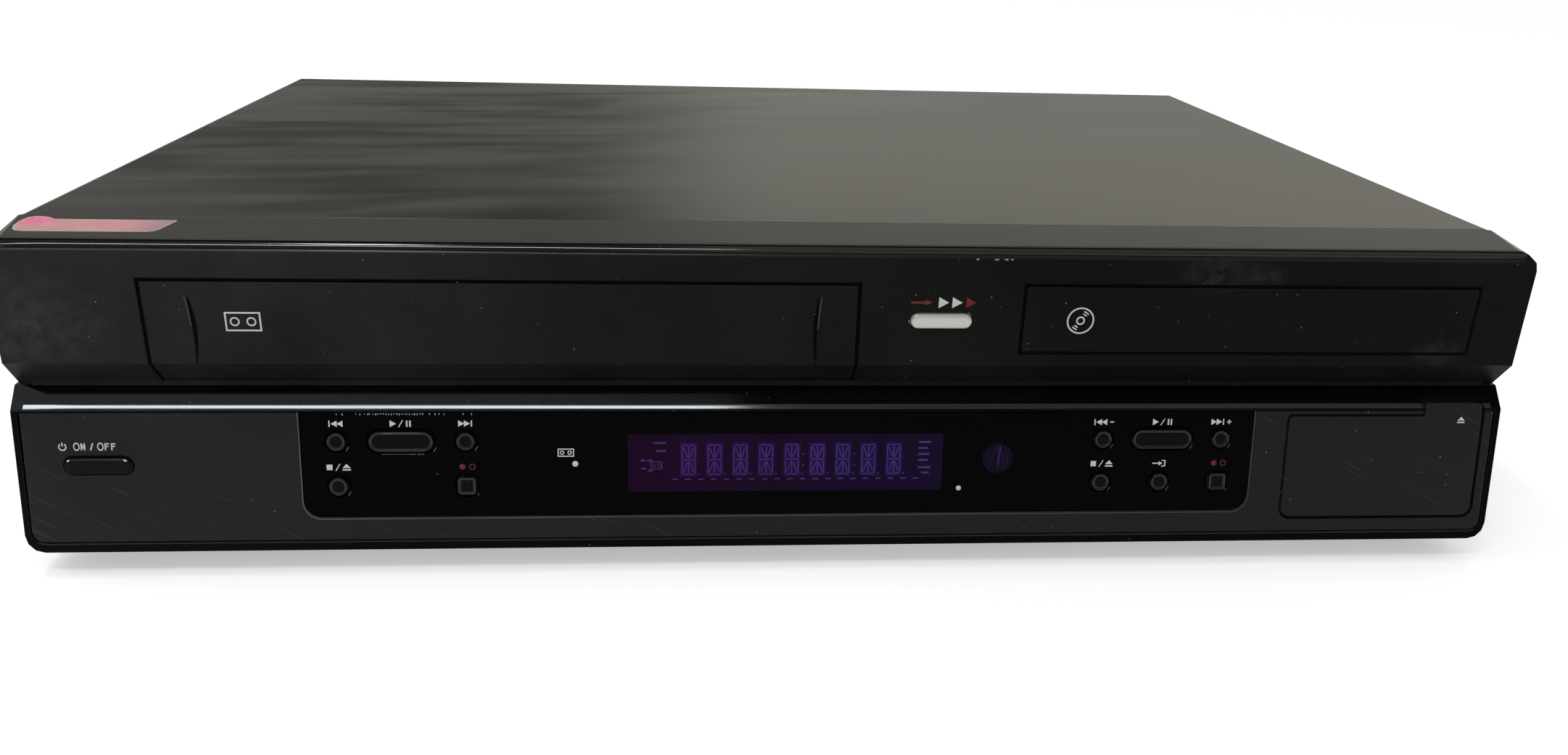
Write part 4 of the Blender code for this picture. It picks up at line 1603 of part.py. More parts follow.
def make_traverse(finish, spindle_finish, sled_finish, parent):
    """Traverse hinged at its back and stored lowered, with turntable, guide rods and pickup sled."""
    hinge = Matrix.Translation((LOADER_MIDDLE, TRAVERSE_HINGE_Y, TRAVERSE_HINGE_Z))
    lowered = empty("traverse_frame", parent, hinge @ Matrix.Rotation(TRAVERSE_DROP, 4, "X"))
    back_to_hinge = Matrix.Translation((-LOADER_MIDDLE, -TRAVERSE_HINGE_Y, -TRAVERSE_HINGE_Z))
    plate = block(
        (loader_x(-TRAVERSE_HALF), loader_x(TRAVERSE_HALF)),
        (TRAVERSE_FRONT, TRAVERSE_HINGE_Y + TRAVERSE_PIN * 2),
        (TRAVERSE_LOW, TRAVERSE_HIGH))
    opening = block(
        (loader_x(-SLED_HALF - 2 * GAP), loader_x(SLED_HALF + 2 * GAP)),
        (SLED_FRONT - 2 * GAP, SLED_FRONT + SLED_LENGTH + SLED_TRAVEL + 2 * GAP),
        (TRAVERSE_LOW - OVERRUN, TRAVERSE_HIGH + OVERRUN))
    shape = cut(plate, opening)
    can = moved(rod(SPINDLE_CAN, TRAVERSE_HIGH - OVERLAP, SPINDLE_CAN_TOP), LOADER_MIDDLE, DISC_Y)
    parts = [can]
    for way in (-1, 1):
        bar = rod(ROD_RADIUS, ROD_FRONT, ROD_BACK, CORNER_STEPS * 2)
        parts.append(moved(turned_to(bar, "Y"), loader_x(way * ROD_X), 0, ROD_Z))
        for y in (ROD_FRONT, ROD_BACK):
            parts.append(block(
                (loader_x(way * ROD_X) - ROD_RADIUS * 1.5, loader_x(way * ROD_X) + ROD_RADIUS * 1.5),
                (y - ROD_RADIUS, y + ROD_RADIUS), (TRAVERSE_HIGH - OVERLAP, ROD_Z + ROD_RADIUS * 1.5)))
    ends = sorted((TRAVERSE_HALF - OVERLAP, TRAVERSE_HALF + TRAVERSE_EAR - GAP))
    for way in (-1, 1):
        low, high = sorted((loader_x(way * ends[0]), loader_x(way * ends[1])))
        pin = rod(TRAVERSE_PIN, low, high, CORNER_STEPS * 3)
        parts.append(moved(turned_to(pin, "X"), 0, TRAVERSE_HINGE_Y, TRAVERSE_HINGE_Z))
    shape = fused(shape, *parts)
    bore = moved(rod(MOTOR_SHAFT + GAP, TRAVERSE_HIGH + OVERLAP, PLAYER_HEIGHT), LOADER_MIDDLE, DISC_Y)
    shape = cut(shape, bore)
    bmesh.ops.transform(shape, matrix=back_to_hinge, verts=shape.verts)
    piece("traverse", shape, finish, lowered)
    profile = [
        (0, SPINDLE_CAN_TOP - SPINDLE_CAN / 2), (MOTOR_SHAFT, SPINDLE_CAN_TOP - SPINDLE_CAN / 2),
        (MOTOR_SHAFT, SPINDLE_CAN_TOP + GAP), (TURNTABLE_HUB, SPINDLE_CAN_TOP + GAP),
        (TURNTABLE_HUB, TURNTABLE_LOW),
        (TURNTABLE_RADIUS, TURNTABLE_LOW), (TURNTABLE_RADIUS, TURNTABLE_TOP), (TURNTABLE_HUB, TURNTABLE_TOP),
        (TURNTABLE_HUB - MOTOR_SHAFT, TURNTABLE_HUB_TOP), (0, TURNTABLE_HUB_TOP)]
    table = moved(turned(profile, FINE_STEPS // 2 + CORNER_STEPS), LOADER_MIDDLE, DISC_Y)
    bmesh.ops.transform(table, matrix=back_to_hinge, verts=table.verts)
    piece("turntable", table, spindle_finish, lowered, (0, DISC_Y - TRAVERSE_HINGE_Y, 0))
    sled = block(
        (loader_x(-SLED_HALF), loader_x(SLED_HALF)), (SLED_FRONT, SLED_FRONT + SLED_LENGTH),
        (SLED_LOW, SLED_HIGH))
    lens = moved(rod(LENS_RADIUS, SLED_HIGH - OVERLAP, LENS_TOP, CORNER_STEPS * 4), LOADER_MIDDLE,
        SLED_FRONT + SLED_LENGTH / 2)
    lug = block(
        (loader_x(-ROD_X - ROD_RADIUS * 2), loader_x(ROD_X + ROD_RADIUS * 2)),
        (SLED_FRONT + SLED_LENGTH / 4, SLED_FRONT + SLED_LENGTH * 3 / 4),
        (TRAVERSE_HIGH + GAP * 2, ROD_Z + ROD_RADIUS * 2))
    sled = fused(sled, lens, lug)
    bores = []
    for way in (-1, 1):
        bar = rod(ROD_RADIUS + GAP, SLED_FRONT - OVERRUN, SLED_FRONT + SLED_LENGTH + OVERRUN,
            CORNER_STEPS * 3)
        bores.append(moved(turned_to(bar, "Y"), loader_x(way * ROD_X), 0, ROD_Z))
    sled = cut(sled, *bores)
    bmesh.ops.transform(sled, matrix=back_to_hinge, verts=sled.verts)
    piece("pickup_sled", sled, sled_finish, lowered, (0, SLED_FRONT - TRAVERSE_HINGE_Y, 0))


# Boards and connections

def make_main_board(finish, parent):
    """Main board on the pan's standoffs, with its decoder, memory and capacitors."""
    top = BOARD_LOW + BOARD_STEEL
    shape = block((MAIN_LEFT, MAIN_RIGHT), (MAIN_FRONT, MAIN_BACK), (BOARD_LOW, top))
    middle = (MAIN_LEFT + MAIN_RIGHT) / 2
    root = top - BOARD_STEEL / 2
    chip_y = MAIN_FRONT + CHIP_SETBACK
    memory_x = middle + CHIP_SIZE
    memory_y = chip_y + CHIP_SIZE * 2
    parts = [
        block((middle - CHIP_SIZE / 2, middle + CHIP_SIZE / 2), (chip_y, chip_y + CHIP_SIZE),
        (root, top + CHIP_HEIGHT)),
        block((memory_x, memory_x + MEMORY_WIDTH), (memory_y, memory_y + CHIP_SIZE),
        (root, top + CHIP_HEIGHT / 2)),
    ]
    for index in range(CAN_COUNT):
        can = rod(CAN_RADIUS, root, top + CAN_HEIGHT, CORNER_STEPS * 3)
        parts.append(moved(can, MAIN_LEFT + CAN_PITCH * (index + 1), MAIN_BACK - CAN_INSET))
    return piece("main_board", fused(shape, *parts), finish, parent)


def make_power_board(finish, parent):
    """Power board at the back left, with transformer, capacitor and heat sink."""
    top = BOARD_LOW + BOARD_STEEL
    shape = block((POWER_LEFT, POWER_RIGHT), (POWER_FRONT, POWER_BACK), (BOARD_LOW, top))
    root = top - BOARD_STEEL / 2
    middle = (POWER_FRONT + POWER_BACK) / 2
    core_x = POWER_LEFT + CORE_SETBACK
    sink_x = core_x + CORE_WIDTH + SINK_SPACE
    parts = [
        block((core_x, core_x + CORE_WIDTH), (middle - CORE_HALF, middle + CORE_HALF),
        (root, top + CORE_HEIGHT)),
        block((sink_x, sink_x + SINK_THICKNESS), (middle - SINK_HALF, middle + SINK_HALF),
        (root, top + SINK_HEIGHT)),
        moved(rod(BULK_RADIUS, root, top + BULK_HEIGHT), core_x - BULK_SPACE, middle - BULK_RADIUS),
    ]
    return piece("power_board", fused(shape, *parts), finish, parent)


def make_front_board(finish, parent):
    """Board behind the lower front, with a key behind each button."""
    back = FRONT_BOARD_DEPTH + BOARD_STEEL
    shape = block(
        (FRONT_BOARD_LEFT, FRONT_BOARD_RIGHT), (FRONT_BOARD_DEPTH, back),
        (-FRONT_BOARD_BOTTOM, -FRONT_BOARD_TOP))
    front = FRONT_BOARD_DEPTH - KEY_HEIGHT
    keys = [(x, drop) for _, _, x, drop in WINDOW_BUTTONS] + [(POWER_X, POWER_DROP)]
    parts = []
    for x, drop in keys:
        parts.append(block(
            (x - KEY_HALF, x + KEY_HALF), (front, FRONT_BOARD_DEPTH + OVERLAP),
            (-drop - KEY_HALF, -drop + KEY_HALF)))
    return piece("front_board", fused(shape, *parts), finish, parent)


def make_display_tube(finish, parent):
    """Fluorescent display tube between the window and the front board."""
    shape = block((TUBE_LEFT, TUBE_RIGHT), (TUBE_FRONT, TUBE_BACK), (-TUBE_BOTTOM, -TUBE_TOP))
    foot = block(
        (TUBE_LEFT + TUBE_FOOT, TUBE_RIGHT - TUBE_FOOT), (TUBE_BACK - OVERLAP, FRONT_BOARD_DEPTH - GAP),
        (-TUBE_BOTTOM + TUBE_FOOT, -TUBE_BOTTOM + 2 * TUBE_FOOT))
    return piece("display_tube", fused(shape, foot), finish, parent)


def make_front_jacks(finish, parent):
    """Jacks on their small board, reaching through the pocket's back wall."""
    front = POCKET_DEPTH + POCKET_WALL + GAP
    places = jack_places()
    left = places[0][0] - JACK_BODY_HALF
    right = places[-1][0] + JACK_BODY_HALF
    shape = block((left, right), (front, front + BOARD_STEEL),
        (-JACK_DROP - JACK_LENGTH, -JACK_DROP + JACK_LENGTH))
    for x, radius in places:
        profile = [
            (JACK_BORE / 2, POCKET_DEPTH - JACK_LENGTH), (radius, POCKET_DEPTH - JACK_LENGTH),
            (radius, front + BOARD_STEEL / 2), (JACK_BORE / 2, front + BOARD_STEEL / 2)]
        barrel = moved(turned_to(turned(profile, CORNER_STEPS * 4, closed=True), "Y"), x, 0, -JACK_DROP)
        shape = fused(shape, barrel)
    return piece("front_jacks", shape, finish, parent)


def aerial_heights():
    """Heights of the two aerial sockets."""
    return [AERIAL_FIRST_Z, AERIAL_FIRST_Z + AERIAL_PITCH]


def phono_places():
    """The x and z of each rear phono socket."""
    places = []
    for column in range(PHONO_COLUMNS):
        for row in range(PHONO_ROWS):
            places.append((PHONO_FIRST_X + PHONO_PITCH * column, PHONO_FIRST_Z + PHONO_PITCH * row))
    return places


def make_tuner(finish, parent):
    """Tuner can with two threaded aerial sockets through the rear panel."""
    back = COVER_BACK - PANEL_INSET - PANEL_STEEL - GAP
    shape = block((TUNER_LEFT, TUNER_RIGHT), (TUNER_FRONT, back), (TUNER_LOW - 2 * GAP, TUNER_HIGH))
    for z in aerial_heights():
        profile = [
            (AERIAL_BORE, back - OVERLAP), (AERIAL_RADIUS, back - OVERLAP),
            (AERIAL_RADIUS, COVER_BACK + AERIAL_REACH), (AERIAL_BORE, COVER_BACK + AERIAL_REACH)]
        barrel = turned_to(turned(profile, CORNER_STEPS * 4, closed=True), "Y")
        shape = fused(shape, moved(barrel, (TUNER_LEFT + TUNER_RIGHT) / 2, 0, z))
    return piece("tuner", shape, finish, parent)


def make_rear_jacks(finish, parent):
    """Block of phono sockets that stands on the main board and reaches through the rear panel."""
    back = COVER_BACK - PANEL_INSET - PANEL_STEEL - GAP
    places = phono_places()
    left = places[0][0] - PHONO_MARGIN
    right = places[-1][0] + PHONO_MARGIN
    high = places[-1][1] + PHONO_MARGIN
    shape = block((left, right), (back - PHONO_BLOCK_DEPTH, back), (BOARD_LOW + BOARD_STEEL + GAP, high))
    for x, z in places:
        profile = [
            (JACK_BORE / 2, back - OVERLAP), (JACK_RADIUS, back - OVERLAP),
            (JACK_RADIUS, COVER_BACK + PHONO_REACH),
            (JACK_BORE / 2, COVER_BACK + PHONO_REACH)]
        barrel = turned_to(turned(profile, CORNER_STEPS * 3, closed=True), "Y")
        shape = fused(shape, moved(barrel, x, 0, z))
    return piece("rear_jacks", shape, finish, parent)


def make_power_inlet(finish, parent):
    """Two-pole inlet set into the rear panel; the cord is not part of the model."""
    back = COVER_BACK - PANEL_INSET
    low = INLET_Z - INLET_HEIGHT / 2
    high = INLET_Z + INLET_HEIGHT / 2
    x = (INLET_X - INLET_WIDTH / 2, INLET_X + INLET_WIDTH / 2)
    shape = block(x, (back - INLET_DEPTH, back + GAP), (low, high))
    flange = block(
        (x[0] - INLET_FLANGE, x[1] + INLET_FLANGE), (back + GAP, back + GAP + PANEL_STEEL),
        (low - INLET_FLANGE, high + INLET_FLANGE))
    shape = fused(shape, moved(flange, 0, -GAP / 2))
    socket = capsule(INLET_X, INLET_Z, INLET_WIDTH - INLET_FLANGE, INLET_HEIGHT - INLET_FLANGE)
    shape = cut(shape, prism(socket, "Y", back - INLET_DEPTH + 2 * PANEL_STEEL, back + OVERRUN))
    for way in (-1, 1):
        pin = rod(INLET_PIN, back - INLET_DEPTH + PANEL_STEEL, back - PANEL_STEEL, CORNER_STEPS * 2)
        shape = fused(shape, moved(turned_to(pin, "Y"), INLET_X + way * INLET_PIN_SPREAD, 0, INLET_Z))
    return piece("power_inlet", shape, finish, parent)


def make_fan(finish, rotor_finish, parent):
    """Small fan behind the rear grille: square frame with struts to its motor, and a bladed rotor."""
    back = COVER_BACK - PANEL_INSET - PANEL_STEEL - GAP
    front = back - FAN_DEPTH
    half = FAN_SIZE / 2
    shape = block((FAN_X - half, FAN_X + half), (front, back), (FAN_Z - half, FAN_Z + half))
    bore = moved(turned_to(rod(FAN_BORE, front - OVERRUN, back + OVERRUN, FINE_STEPS // 2), "Y"), FAN_X, 0,
        FAN_Z)
    shape = cut(shape, bore)
    seat = moved(turned_to(rod(FAN_HUB, front, front + FAN_STRUT), "Y"), FAN_X, 0, FAN_Z)
    strut_a = block(
        (FAN_X - FAN_BORE - OVERLAP, FAN_X + FAN_BORE + OVERLAP), (front, front + FAN_STRUT),
        (FAN_Z - FAN_STRUT / 2, FAN_Z + FAN_STRUT / 2))
    strut_b = block(
        (FAN_X - FAN_STRUT / 2, FAN_X + FAN_STRUT / 2), (front, front + FAN_STRUT),
        (FAN_Z - FAN_BORE - OVERLAP, FAN_Z + FAN_BORE + OVERLAP))
    axle = rod(MOTOR_SHAFT, front + OVERLAP, back - FAN_STRUT - GAP * 2, CORNER_STEPS * 2)
    axle = moved(turned_to(axle, "Y"), FAN_X, 0, FAN_Z)
    shape = fused(shape, seat, strut_a, strut_b, axle)
    piece("fan_frame", shape, finish, parent)
    low = front + FAN_STRUT + GAP
    high = back - FAN_STRUT / 2
    profile = [(MOTOR_SHAFT + GAP, low), (FAN_HUB, low), (FAN_HUB, high), (0, high),
        (0, high - FAN_STRUT / 2),
               (MOTOR_SHAFT + GAP, high - FAN_STRUT / 2)]
    rotor = turned(profile, CORNER_STEPS * 5, closed=True)
    blade_half = FAN_STRUT / 4
    for index in range(FAN_BLADES):
        blade = block(
            (FAN_HUB - OVERLAP * 2, FAN_BORE - FAN_STRUT / 2), (-blade_half, blade_half),
            (low + blade_half * 3, high - blade_half * 3))
        pitch = Matrix.Rotation(FAN_BLADE_TWIST, 4, "X")
        middle = Vector((0, 0, (low + high) / 2))
        tilt = Matrix.Translation(middle) @ pitch @ Matrix.Translation(-middle)
        spun = Matrix.Rotation(2 * math.pi * index / FAN_BLADES, 4, "Z")
        bmesh.ops.transform(blade, matrix=spun @ tilt, verts=blade.verts)
        rotor = fused(rotor, blade)
    rotor = moved(turned_to(rotor, "Y"), FAN_X, 0, FAN_Z)
    piece("fan_rotor", rotor, rotor_finish, parent, (FAN_X, low, FAN_Z))


def build():
    """Empty the scene, then make every piece."""
    for item in list(bpy.data.objects):
        bpy.data.objects.remove(item)
    middle = (SPAN_FRONT + SPAN_BACK) / 2
    player = empty("player", None, Matrix.Translation((0, -middle, 0)))
    leaning = empty("leaning_front", player, LEANING)
    gloss = material("gloss_moulding", (0.012, 0.012, 0.013), 0.12)
    satin = material("satin_moulding", (0.02, 0.02, 0.019), 0.4)
    matte = material("matte_moulding", (0.035, 0.035, 0.034), 0.6)
    smoked = material("smoked_window", (0.01, 0.009, 0.012), 0.06)
    painted = material("painted_steel", (0.018, 0.018, 0.017), 0.3, 0.1)
    zinc = material("zinc_steel", (0.5, 0.51, 0.5), 0.35, 1)
    silver = material("silver_button", (0.75, 0.74, 0.72), 0.3)
    rubber = material("rubber", (0.02, 0.02, 0.02), 0.8)
    grey = material("grey_plastic", (0.18, 0.18, 0.19), 0.5)
    white = material("white_plastic", (0.7, 0.7, 0.66), 0.45)
    bright = material("bright_metal", (0.72, 0.72, 0.72), 0.2, 1)
    board = material("circuit_board", (0.05, 0.16, 0.07), 0.5)
    glass = material("tube_glass", (0.06, 0.02, 0.1), 0.1)
    make_front_bezel(gloss, player)
    make_upper_fascia(satin, player)
    make_lower_fascia(matte, leaning)
    make_window(smoked, leaning)
    make_cassette_door(satin, player)
    make_jack_door(matte, leaning)
    for name, kind, x, drop in WINDOW_BUTTONS:
        make_button(name, kind, x, drop, WINDOW_THICKNESS, BUTTON_PROUD, gloss, leaning)
    make_button("power_button", "power", POWER_X, POWER_DROP, PANEL_THICKNESS, POWER_PROUD, matte, leaning)
    make_copy_button(silver, player)
    make_top_cover(painted, player)
    make_base_pan(zinc, player)
    make_rear_panel(zinc, player)
    for name, x, y in (
            ("foot_front_left", -FOOT_PLACE_X, FOOT_FRONT_Y),
            ("foot_front_right", FOOT_PLACE_X, FOOT_FRONT_Y),
            ("foot_back_left", -FOOT_PLACE_X, FOOT_BACK_Y), ("foot_back_right", FOOT_PLACE_X, FOOT_BACK_Y)):
        make_foot(name, x, y, rubber, player)
    make_deck_plate(zinc, player)
    make_carriage(zinc, player)
    make_holder(zinc, player)
    make_loading_gear(white, player)
    make_loading_motor(bright, player)
    make_drum(bright, bright, player)
    make_capstan(bright, player)
    make_pinch(zinc, rubber, player)
    make_reel("supply_reel", -1, white, player)
    make_reel("takeup_reel", 1, white, player)
    make_guide("tape_guide_left", -1, bright, player)
    make_guide("tape_guide_right", 1, bright, player)
    make_loader_frame(grey, player)
    make_disc_tray(grey, player)
    make_tray_front(satin, player)
    make_tray_pinion(white, player)
    make_tray_motor(bright, player)
    make_clamp_bridge(zinc, player)
    make_clamper(white, player)
    make_traverse(grey, bright, grey, player)
    make_main_board(board, player)
    make_power_board(board, player)
    make_front_board(board, leaning)
    make_display_tube(glass, leaning)
    make_front_jacks(grey, leaning)
    make_tuner(bright, player)
    make_rear_jacks(grey, player)
    make_power_inlet(grey, player)
    make_fan(grey, grey, player)
    bpy.context.view_layer.update()


build()
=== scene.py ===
import bmesh
import bpy
import numpy as np
from mathutils import Matrix, Vector


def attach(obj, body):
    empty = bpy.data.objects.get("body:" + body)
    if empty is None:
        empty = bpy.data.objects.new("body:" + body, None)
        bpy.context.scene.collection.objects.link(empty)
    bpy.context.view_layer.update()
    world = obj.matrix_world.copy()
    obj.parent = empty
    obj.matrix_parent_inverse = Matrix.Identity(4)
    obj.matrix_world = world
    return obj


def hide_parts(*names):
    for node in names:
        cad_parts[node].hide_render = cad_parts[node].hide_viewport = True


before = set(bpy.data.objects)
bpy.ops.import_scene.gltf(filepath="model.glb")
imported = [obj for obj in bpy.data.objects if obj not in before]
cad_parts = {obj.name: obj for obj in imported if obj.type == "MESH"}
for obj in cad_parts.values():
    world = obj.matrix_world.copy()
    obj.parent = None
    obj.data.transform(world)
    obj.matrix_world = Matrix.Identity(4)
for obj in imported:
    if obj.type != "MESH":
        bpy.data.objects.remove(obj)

for spare in ("Cube", "Light", "Camera"):
    if spare in bpy.data.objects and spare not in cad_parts:
        bpy.data.objects.remove(bpy.data.objects[spare])
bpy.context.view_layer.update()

# Base pan and rear panel.
# Both are stamped from zinc-plated sheet, folded at the edges and held by screws.
# The zinc gives a dull silver with a faint crystal pattern and rolling streaks.


def linear(code):
    """sRGB hex to linear light: c / 12.92 below 0.04045, else ((c + 0.055) / 1.055) to the power 2.4."""
    part = np.array([int(code[at:at + 2], 16) for at in (1, 3, 5)]) / 255
    part = np.where(part <= 0.04045, part / 12.92, ((part + 0.055) / 1.055) ** 2.4)
    return (*part.tolist(), 1.0)


def add(tree, kind, inputs=(), **settings):
    """Adds one shader node. inputs pairs a socket with a value, a hex colour, or the node or socket that feeds it."""
    made = tree.nodes.new("ShaderNode" + kind)
    for name, value in settings.items():
        setattr(made, name, value)
    for socket, value in dict(inputs).items():
        if isinstance(value, str):
            value = linear(value)
        if isinstance(value, bpy.types.Node):
            value = value.outputs[0]
        if isinstance(value, bpy.types.NodeSocket):
            tree.links.new(value, made.inputs[socket])
        else:
            made.inputs[socket].default_value = value
    return made


def new_finish(name):
    """An empty material, its node tree and the object's own coordinates."""
    made = bpy.data.materials.new(name)
    made.use_nodes = True
    tree = made.node_tree
    tree.nodes.clear()
    return made, tree, add(tree, "TexCoord").outputs["Object"]


def closed(made, skin):
    """Leads a material's last shader to its output."""
    add(made.node_tree, "OutputMaterial", {"Surface": skin})
    return made


def dress(material, *nodes):
    """Gives CAD nodes a finish in all their material slots."""
    for name in nodes:
        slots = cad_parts[name].data.materials
        for number in range(len(slots)):
            slots[number] = material


def zinc_sheet(name, light, dark, rough, crystal, streak):
    """Zinc plate: cells of crystal mm across shift the shade, and rolling marks streak along x."""
    made, tree, place = new_finish(name)
    spangle = add(tree, "TexVoronoi", {"Vector": place, "Scale": 1000 / crystal, "Randomness": 1.0})
    rolled = add(tree, "Mapping", {"Vector": place, "Scale": (40, 1000 / streak, 1000 / streak)})
    marks = add(tree, "TexNoise", {"Vector": rolled, "Scale": 1.0, "Detail": 3.0})
    worn = add(tree, "TexNoise", {"Vector": place, "Scale": 22.0, "Detail": 4.0})
    tone = add(tree, "Mix", {0: spangle.outputs["Color"], 6: dark, 7: light}, data_type="RGBA")
    streaked = add(tree, "Mix", {0: 0.35, 6: tone.outputs[2], 7: marks}, data_type="RGBA", blend_type="SOFT_LIGHT")
    patch = add(tree, "MapRange", {0: worn, 1: 0.35, 2: 0.75, 3: rough - 0.06, 4: rough + 0.12})
    relief = add(tree, "Bump", {"Height": marks, "Strength": 0.12, "Distance": 0.00005})
    skin = add(tree, "BsdfPrincipled", {"Base Color": streaked.outputs[2], "Metallic": 0.9, "Roughness": patch,
        "Normal": relief})
    return closed(made, skin)


pan_zinc = zinc_sheet("zinc_plated_pan", "#B4B5B3", "#9A9B9A", 0.42, 3.5, 0.8)
dress(pan_zinc, "base_pan", "rear_panel")


def on(origin, right, up):
    """Millimetres on a plane to metres in space: origin + u right + v up + h (right x up)."""
    right, up = np.array(right, float), np.array(up, float)
    out = np.cross(right, up)
    start = np.array(origin, float)
    return lambda u, v, h: start + 0.001 * (np.multiply.outer(u, right) + np.multiply.outer(v, up)
        + np.multiply.outer(np.broadcast_to(h, np.shape(u)), out))


def finished(name, points, faces, material, body="chassis", smooth=35):
    """Makes the mesh, merges its doubles, turns its faces outwards and seats it on a body. Edges sharper than
    smooth degrees stay hard."""
    mesh = bpy.data.meshes.new(name)
    mesh.from_pydata(points.tolist(), [], faces)
    soft = bmesh.new()
    soft.from_mesh(mesh)
    bmesh.ops.remove_doubles(soft, verts=soft.verts, dist=2e-6)
    bmesh.ops.recalc_face_normals(soft, faces=soft.faces)
    soft.to_mesh(mesh)
    soft.free()
    mesh.shade_smooth()
    mesh.set_sharp_from_angle(angle=np.radians(smooth))
    mesh.materials.append(material)
    piece = bpy.data.objects.new(name, mesh)
    bpy.context.scene.collection.objects.link(piece)
    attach(piece, body)
    return piece


def round_body(place, rows, centre=(0, 0), straight=(0, 0), steps=8):
    """Rows of (radius, height) carried round a rounded rectangle. A point is its corner's centre,
    at centre + (+-straight), plus radius times (cos a, sin a), and both ends are closed flat."""
    turn = np.linspace(0, 0.5 * np.pi, steps + 1)
    angle = np.concatenate([turn + quarter * 0.5 * np.pi for quarter in range(4)])
    way = np.repeat([(1, 1), (-1, 1), (-1, -1), (1, -1)], steps + 1, 0)
    rows = np.array(rows, float)
    u = centre[0] + way[:, 0] * straight[0] + rows[:, :1] * np.cos(angle)
    v = centre[1] + way[:, 1] * straight[1] + rows[:, :1] * np.sin(angle)
    points = place(u, v, rows[:, 1:] + 0 * u).reshape(-1, 3)
    index = np.arange(len(points)).reshape(len(rows), -1)
    low, high = index[:-1], index[1:]
    sides = np.stack([low, np.roll(low, -1, 1), np.roll(high, -1, 1), high], 2).reshape(-1, 4)
    return points, sides.tolist() + [index[0, ::-1].tolist(), index[-1].tolist()]


def gathered(*parts):
    """Several (points, faces) as one."""
    points, faces, count = [], [], 0
    for some, theirs in parts:
        points.append(some)
        faces += [[corner + count for corner in face] for face in theirs]
        count += len(some)
    return np.concatenate(points), faces


SINK = -0.02


def plates(place, loops, low=SINK, high=0.02):
    """Flat closed plates: each loop of (u, v) points stands from low to high, with walls between. A skin starts at
    SINK, just below the face that carries it."""
    parts = []
    for loop in loops:
        loop = np.array(loop, float)
        many = len(loop)
        points = np.concatenate([place(loop[:, 0], loop[:, 1], low), place(loop[:, 0], loop[:, 1], high)])
        here = np.arange(many)
        walls = np.stack([here, np.roll(here, -1), np.roll(here, -1) + many, here + many], 1)
        parts.append((points, walls.tolist() + [here[::-1].tolist(), (here + many).tolist()]))
    return gathered(*parts)


def disc(u, v, radius, steps=28):
    """A circle as a loop of points."""
    angle = np.linspace(0, 2 * np.pi, steps, endpoint=False)
    return np.stack([u + radius * np.cos(angle), v + radius * np.sin(angle)], 1)


def band(points, width):
    """A line of points with a width: the loop goes up one side and back down the other."""
    points = np.array(points, float)
    along = np.gradient(points, axis=0)
    aside = np.stack([-along[:, 1], along[:, 0]], 1)
    aside *= width / 2 / np.linalg.norm(aside, axis=1)[:, None]
    return np.concatenate([points + aside, (points - aside)[::-1]])


def arc(u, v, radius, start, end, steps=16):
    """Points of an arc, from start to end in degrees."""
    angle = np.radians(np.linspace(start, end, steps))
    return np.stack([u + radius * np.cos(angle), v + radius * np.sin(angle)], 1)


BACK = on((0, 0.143675, 0), (-1, 0, 0), (0, 0, 1))


def screw_metal():
    """Zinc-plated screw steel, passivated slightly warm, scuffed by the driver."""
    made, tree, place = new_finish("passivated_screw")
    scuff = add(tree, "TexNoise", {"Vector": place, "Scale": 900.0, "Detail": 3.0})
    tone = add(tree, "Mix", {0: scuff, 6: "#8F8B80", 7: "#C9C6BB"}, data_type="RGBA")
    rough = add(tree, "MapRange", {0: scuff, 3: 0.25, 4: 0.5})
    skin = add(tree, "BsdfPrincipled", {"Base Color": tone.outputs[2], "Metallic": 1.0, "Roughness": rough})
    return closed(made, skin)


def mottled(name, scale, detail, dark, light, coat):
    """A nearly even coat: noise with scale cells to the metre blends two shades. coat sets the shader's sockets."""
    made, tree, place = new_finish(name)
    grain = add(tree, "TexNoise", {"Vector": place, "Scale": scale, "Detail": detail})
    shade = add(tree, "Mix", {0: grain, 6: dark, 7: light}, data_type="RGBA")
    skin = add(tree, "BsdfPrincipled", {"Base Color": shade.outputs[2], **coat})
    return closed(made, skin)


screw_steel = screw_metal()
# The screws' cross recesses are not cut: a soot-black, matt plate with a little lint on each head paints the shade
# inside them.
recess_painted_shade = mottled("painted_recess_shade", 700.0, 2.0, "#050505", "#12110F",
    {"Roughness": 0.85, "Specular IOR Level": 0.1})
SLOT, TIP = 0.28, 1.3
CROSS = np.array(((-SLOT, -TIP), (SLOT, -TIP), (SLOT, -SLOT), (TIP, -SLOT), (TIP, SLOT), (SLOT, SLOT), (SLOT, TIP),
    (-SLOT, TIP), (-SLOT, SLOT), (-TIP, SLOT), (-TIP, -SLOT), (-SLOT, -SLOT)))
HEAD = [(3.0, -0.1), (3.0, 0.35), (2.85, 0.75), (2.4, 1.1), (1.7, 1.32), (0.9, 1.4), (0.0, 1.42)]
REAR_SCREWS = [(-206, 88), (-120, 88), (8, 88), (130, 88), (206, 88), (-206, 14), (-60, 14), (60, 14), (206, 14),
    (48, 60), (-128, 66), (-62, 66), (150, 22), (-186, 47), (-158, 81), (-158, 47), (-190, 81)]
heads = gathered(*[round_body(BACK, HEAD, spot, steps=5) for spot in REAR_SCREWS])
finished("rear_screws", *heads, screw_steel)
slots = gathered(*[plates(BACK, [CROSS * 0.9 + spot], 1.15, 1.43) for spot in REAR_SCREWS])
finished("rear_screw_recess_shade", *slots, recess_painted_shade)

# Feet.
# Four moulded feet with a soft elastomer pad, pushed up into the pan.
# They are black, matt and a little dusty where they meet the floor.


